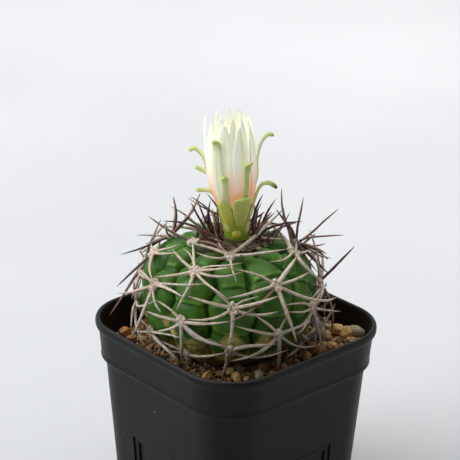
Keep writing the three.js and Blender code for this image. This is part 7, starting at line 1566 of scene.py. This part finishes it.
# ------------------------------------------------------------------ stage, light and camera
def stage_plane(name, size, z, colour, rough):
    me = bpy.data.meshes.new(name)
    h = size / 2
    me.from_pydata([(-h, -h, z), (h, -h, z), (h, h, z), (-h, h, z)], [], [(0, 1, 2, 3)])
    t = Tree(name)
    n = t.noise(3, 2, 0.5)
    # painted light: the floor is paler with distance behind and beside the pot, standing in for the brighter lit
    # backdrop
    sep = t.node("ShaderNodeVectorMath", operation="DOT_PRODUCT")
    t.put(sep.inputs[0], t.tc.outputs["Object"])
    sep.inputs[1].default_value = (-0.542, 0.892, 0.0)
    far = t.node("ShaderNodeMapRange")
    t.put(far.inputs["Value"], sep.outputs["Value"])
    far.inputs["From Min"].default_value = -0.15
    far.inputs["From Max"].default_value = 0.80
    c = t.mix(far.outputs["Result"], colour, (0.92, 0.925, 0.93))
    c = t.mix(t.ramp(n, [(0.3, 0.0), (0.7, 0.35)]), c, tuple(0.93 * c for c in colour))
    t.set(color=c, rough=rough, spec=0.2)
    me.materials.append(t.mat)
    ob = bpy.data.objects.new(name, me)
    bpy.context.scene.collection.objects.link(ob)
    return ob


stage_plane("floor", 8.0, -0.0002, (0.545, 0.555, 0.562), 0.8)

cam = bpy.data.cameras.new("camera")
cam.lens = 140.87
cam.sensor_width = 36
cam.clip_start = 0.01
cam.clip_end = 50
co = bpy.data.objects.new("camera", cam)
R2, U2, BK = Vector((0.66429834, 0.74732003, 0.01484881)), Vector((-0.2988877, 0.24737048, 0.92166913)), Vector((0.68510864, -0.6167014, 0.38769256))
mw = Matrix.Identity(4)
for i, v in enumerate((R2, U2, BK)):
    for j in range(3):
        mw[j][i] = v[j]
mw.translation = Vector((0.46711676, -0.4242094, 0.38234686))
co.matrix_world = mw
bpy.context.scene.collection.objects.link(co)
bpy.context.scene.camera = co

RIGHT = Vector((0.66902684, 0.74323825, 0.0))
FRONT = Vector((0.74323825, -0.66902684, 0.0))


def area(name, where, target, size, power, colour=(1, 1, 1), size_y=None):
    l = bpy.data.lights.new(name, "AREA")
    l.energy = power
    l.color = colour
    l.size = size
    if size_y:
        l.shape = "RECTANGLE"
        l.size_y = size_y
    o = bpy.data.objects.new(name, l)
    o.location = where
    o.rotation_euler = (Vector(target) - Vector(where)).to_track_quat("-Z", "Y").to_euler()
    bpy.context.scene.collection.objects.link(o)
    return o


T0 = Vector((0, 0, 0.1))
area("window", T0 - RIGHT * 0.9 + FRONT * 0.15 + Vector((0, 0, 0.75)), T0, 0.9, 10.5, (0.97, 0.985, 1.0))
area("top", T0 - FRONT * 0.25 + Vector((0, 0, 1.3)), T0, 1.2, 7.0, (1.0, 0.995, 0.98))
area("back_wash", T0 - FRONT * 0.75 + Vector((0, 0, 1.15)), T0 - FRONT * 0.75 - Vector((0, 0, 0.1)), 1.1, 4.5, (0.98, 0.99, 1.0))
area("right_fill", T0 + RIGHT * 1.1 + FRONT * 0.15 + Vector((0, 0, 0.28)), T0 - Vector((0, 0, 0.05)), 0.8, 1.15, (1.0, 0.99, 0.97))

w = bpy.data.worlds.new("world")
bpy.context.scene.world = w
w.use_nodes = True
nt = w.node_tree
bg = nt.nodes["Background"]
tc = nt.nodes.new("ShaderNodeTexCoord")
dotn = nt.nodes.new("ShaderNodeVectorMath")
dotn.operation = "DOT_PRODUCT"
nt.links.new(tc.outputs["Generated"], dotn.inputs[0])
# brighter towards the window side and behind the plant, dim towards the viewer's room
dotn.inputs[1].default_value = tuple(-0.75 * FRONT - 0.55 * RIGHT + Vector((0, 0, 0.35)))
rp = nt.nodes.new("ShaderNodeValToRGB")
mr = nt.nodes.new("ShaderNodeMapRange")
mr.inputs["From Min"].default_value = -1.0
mr.inputs["From Max"].default_value = 1.0
nt.links.new(dotn.outputs["Value"], mr.inputs["Value"])
nt.links.new(mr.outputs["Result"], rp.inputs["Fac"])
rp.color_ramp.elements[0].position = 0.15
rp.color_ramp.elements[0].color = (0.05, 0.05, 0.052, 1)
rp.color_ramp.elements[1].position = 0.85
rp.color_ramp.elements[1].color = (0.95, 0.97, 1.0, 1)
nt.links.new(rp.outputs["Color"], bg.inputs["Color"])
bg.inputs["Strength"].default_value = 0.62

bpy.context.scene.view_settings.view_transform = "Standard"
bpy.context.scene.view_settings.look = "None"
bpy.context.scene.view_settings.exposure = 0.0
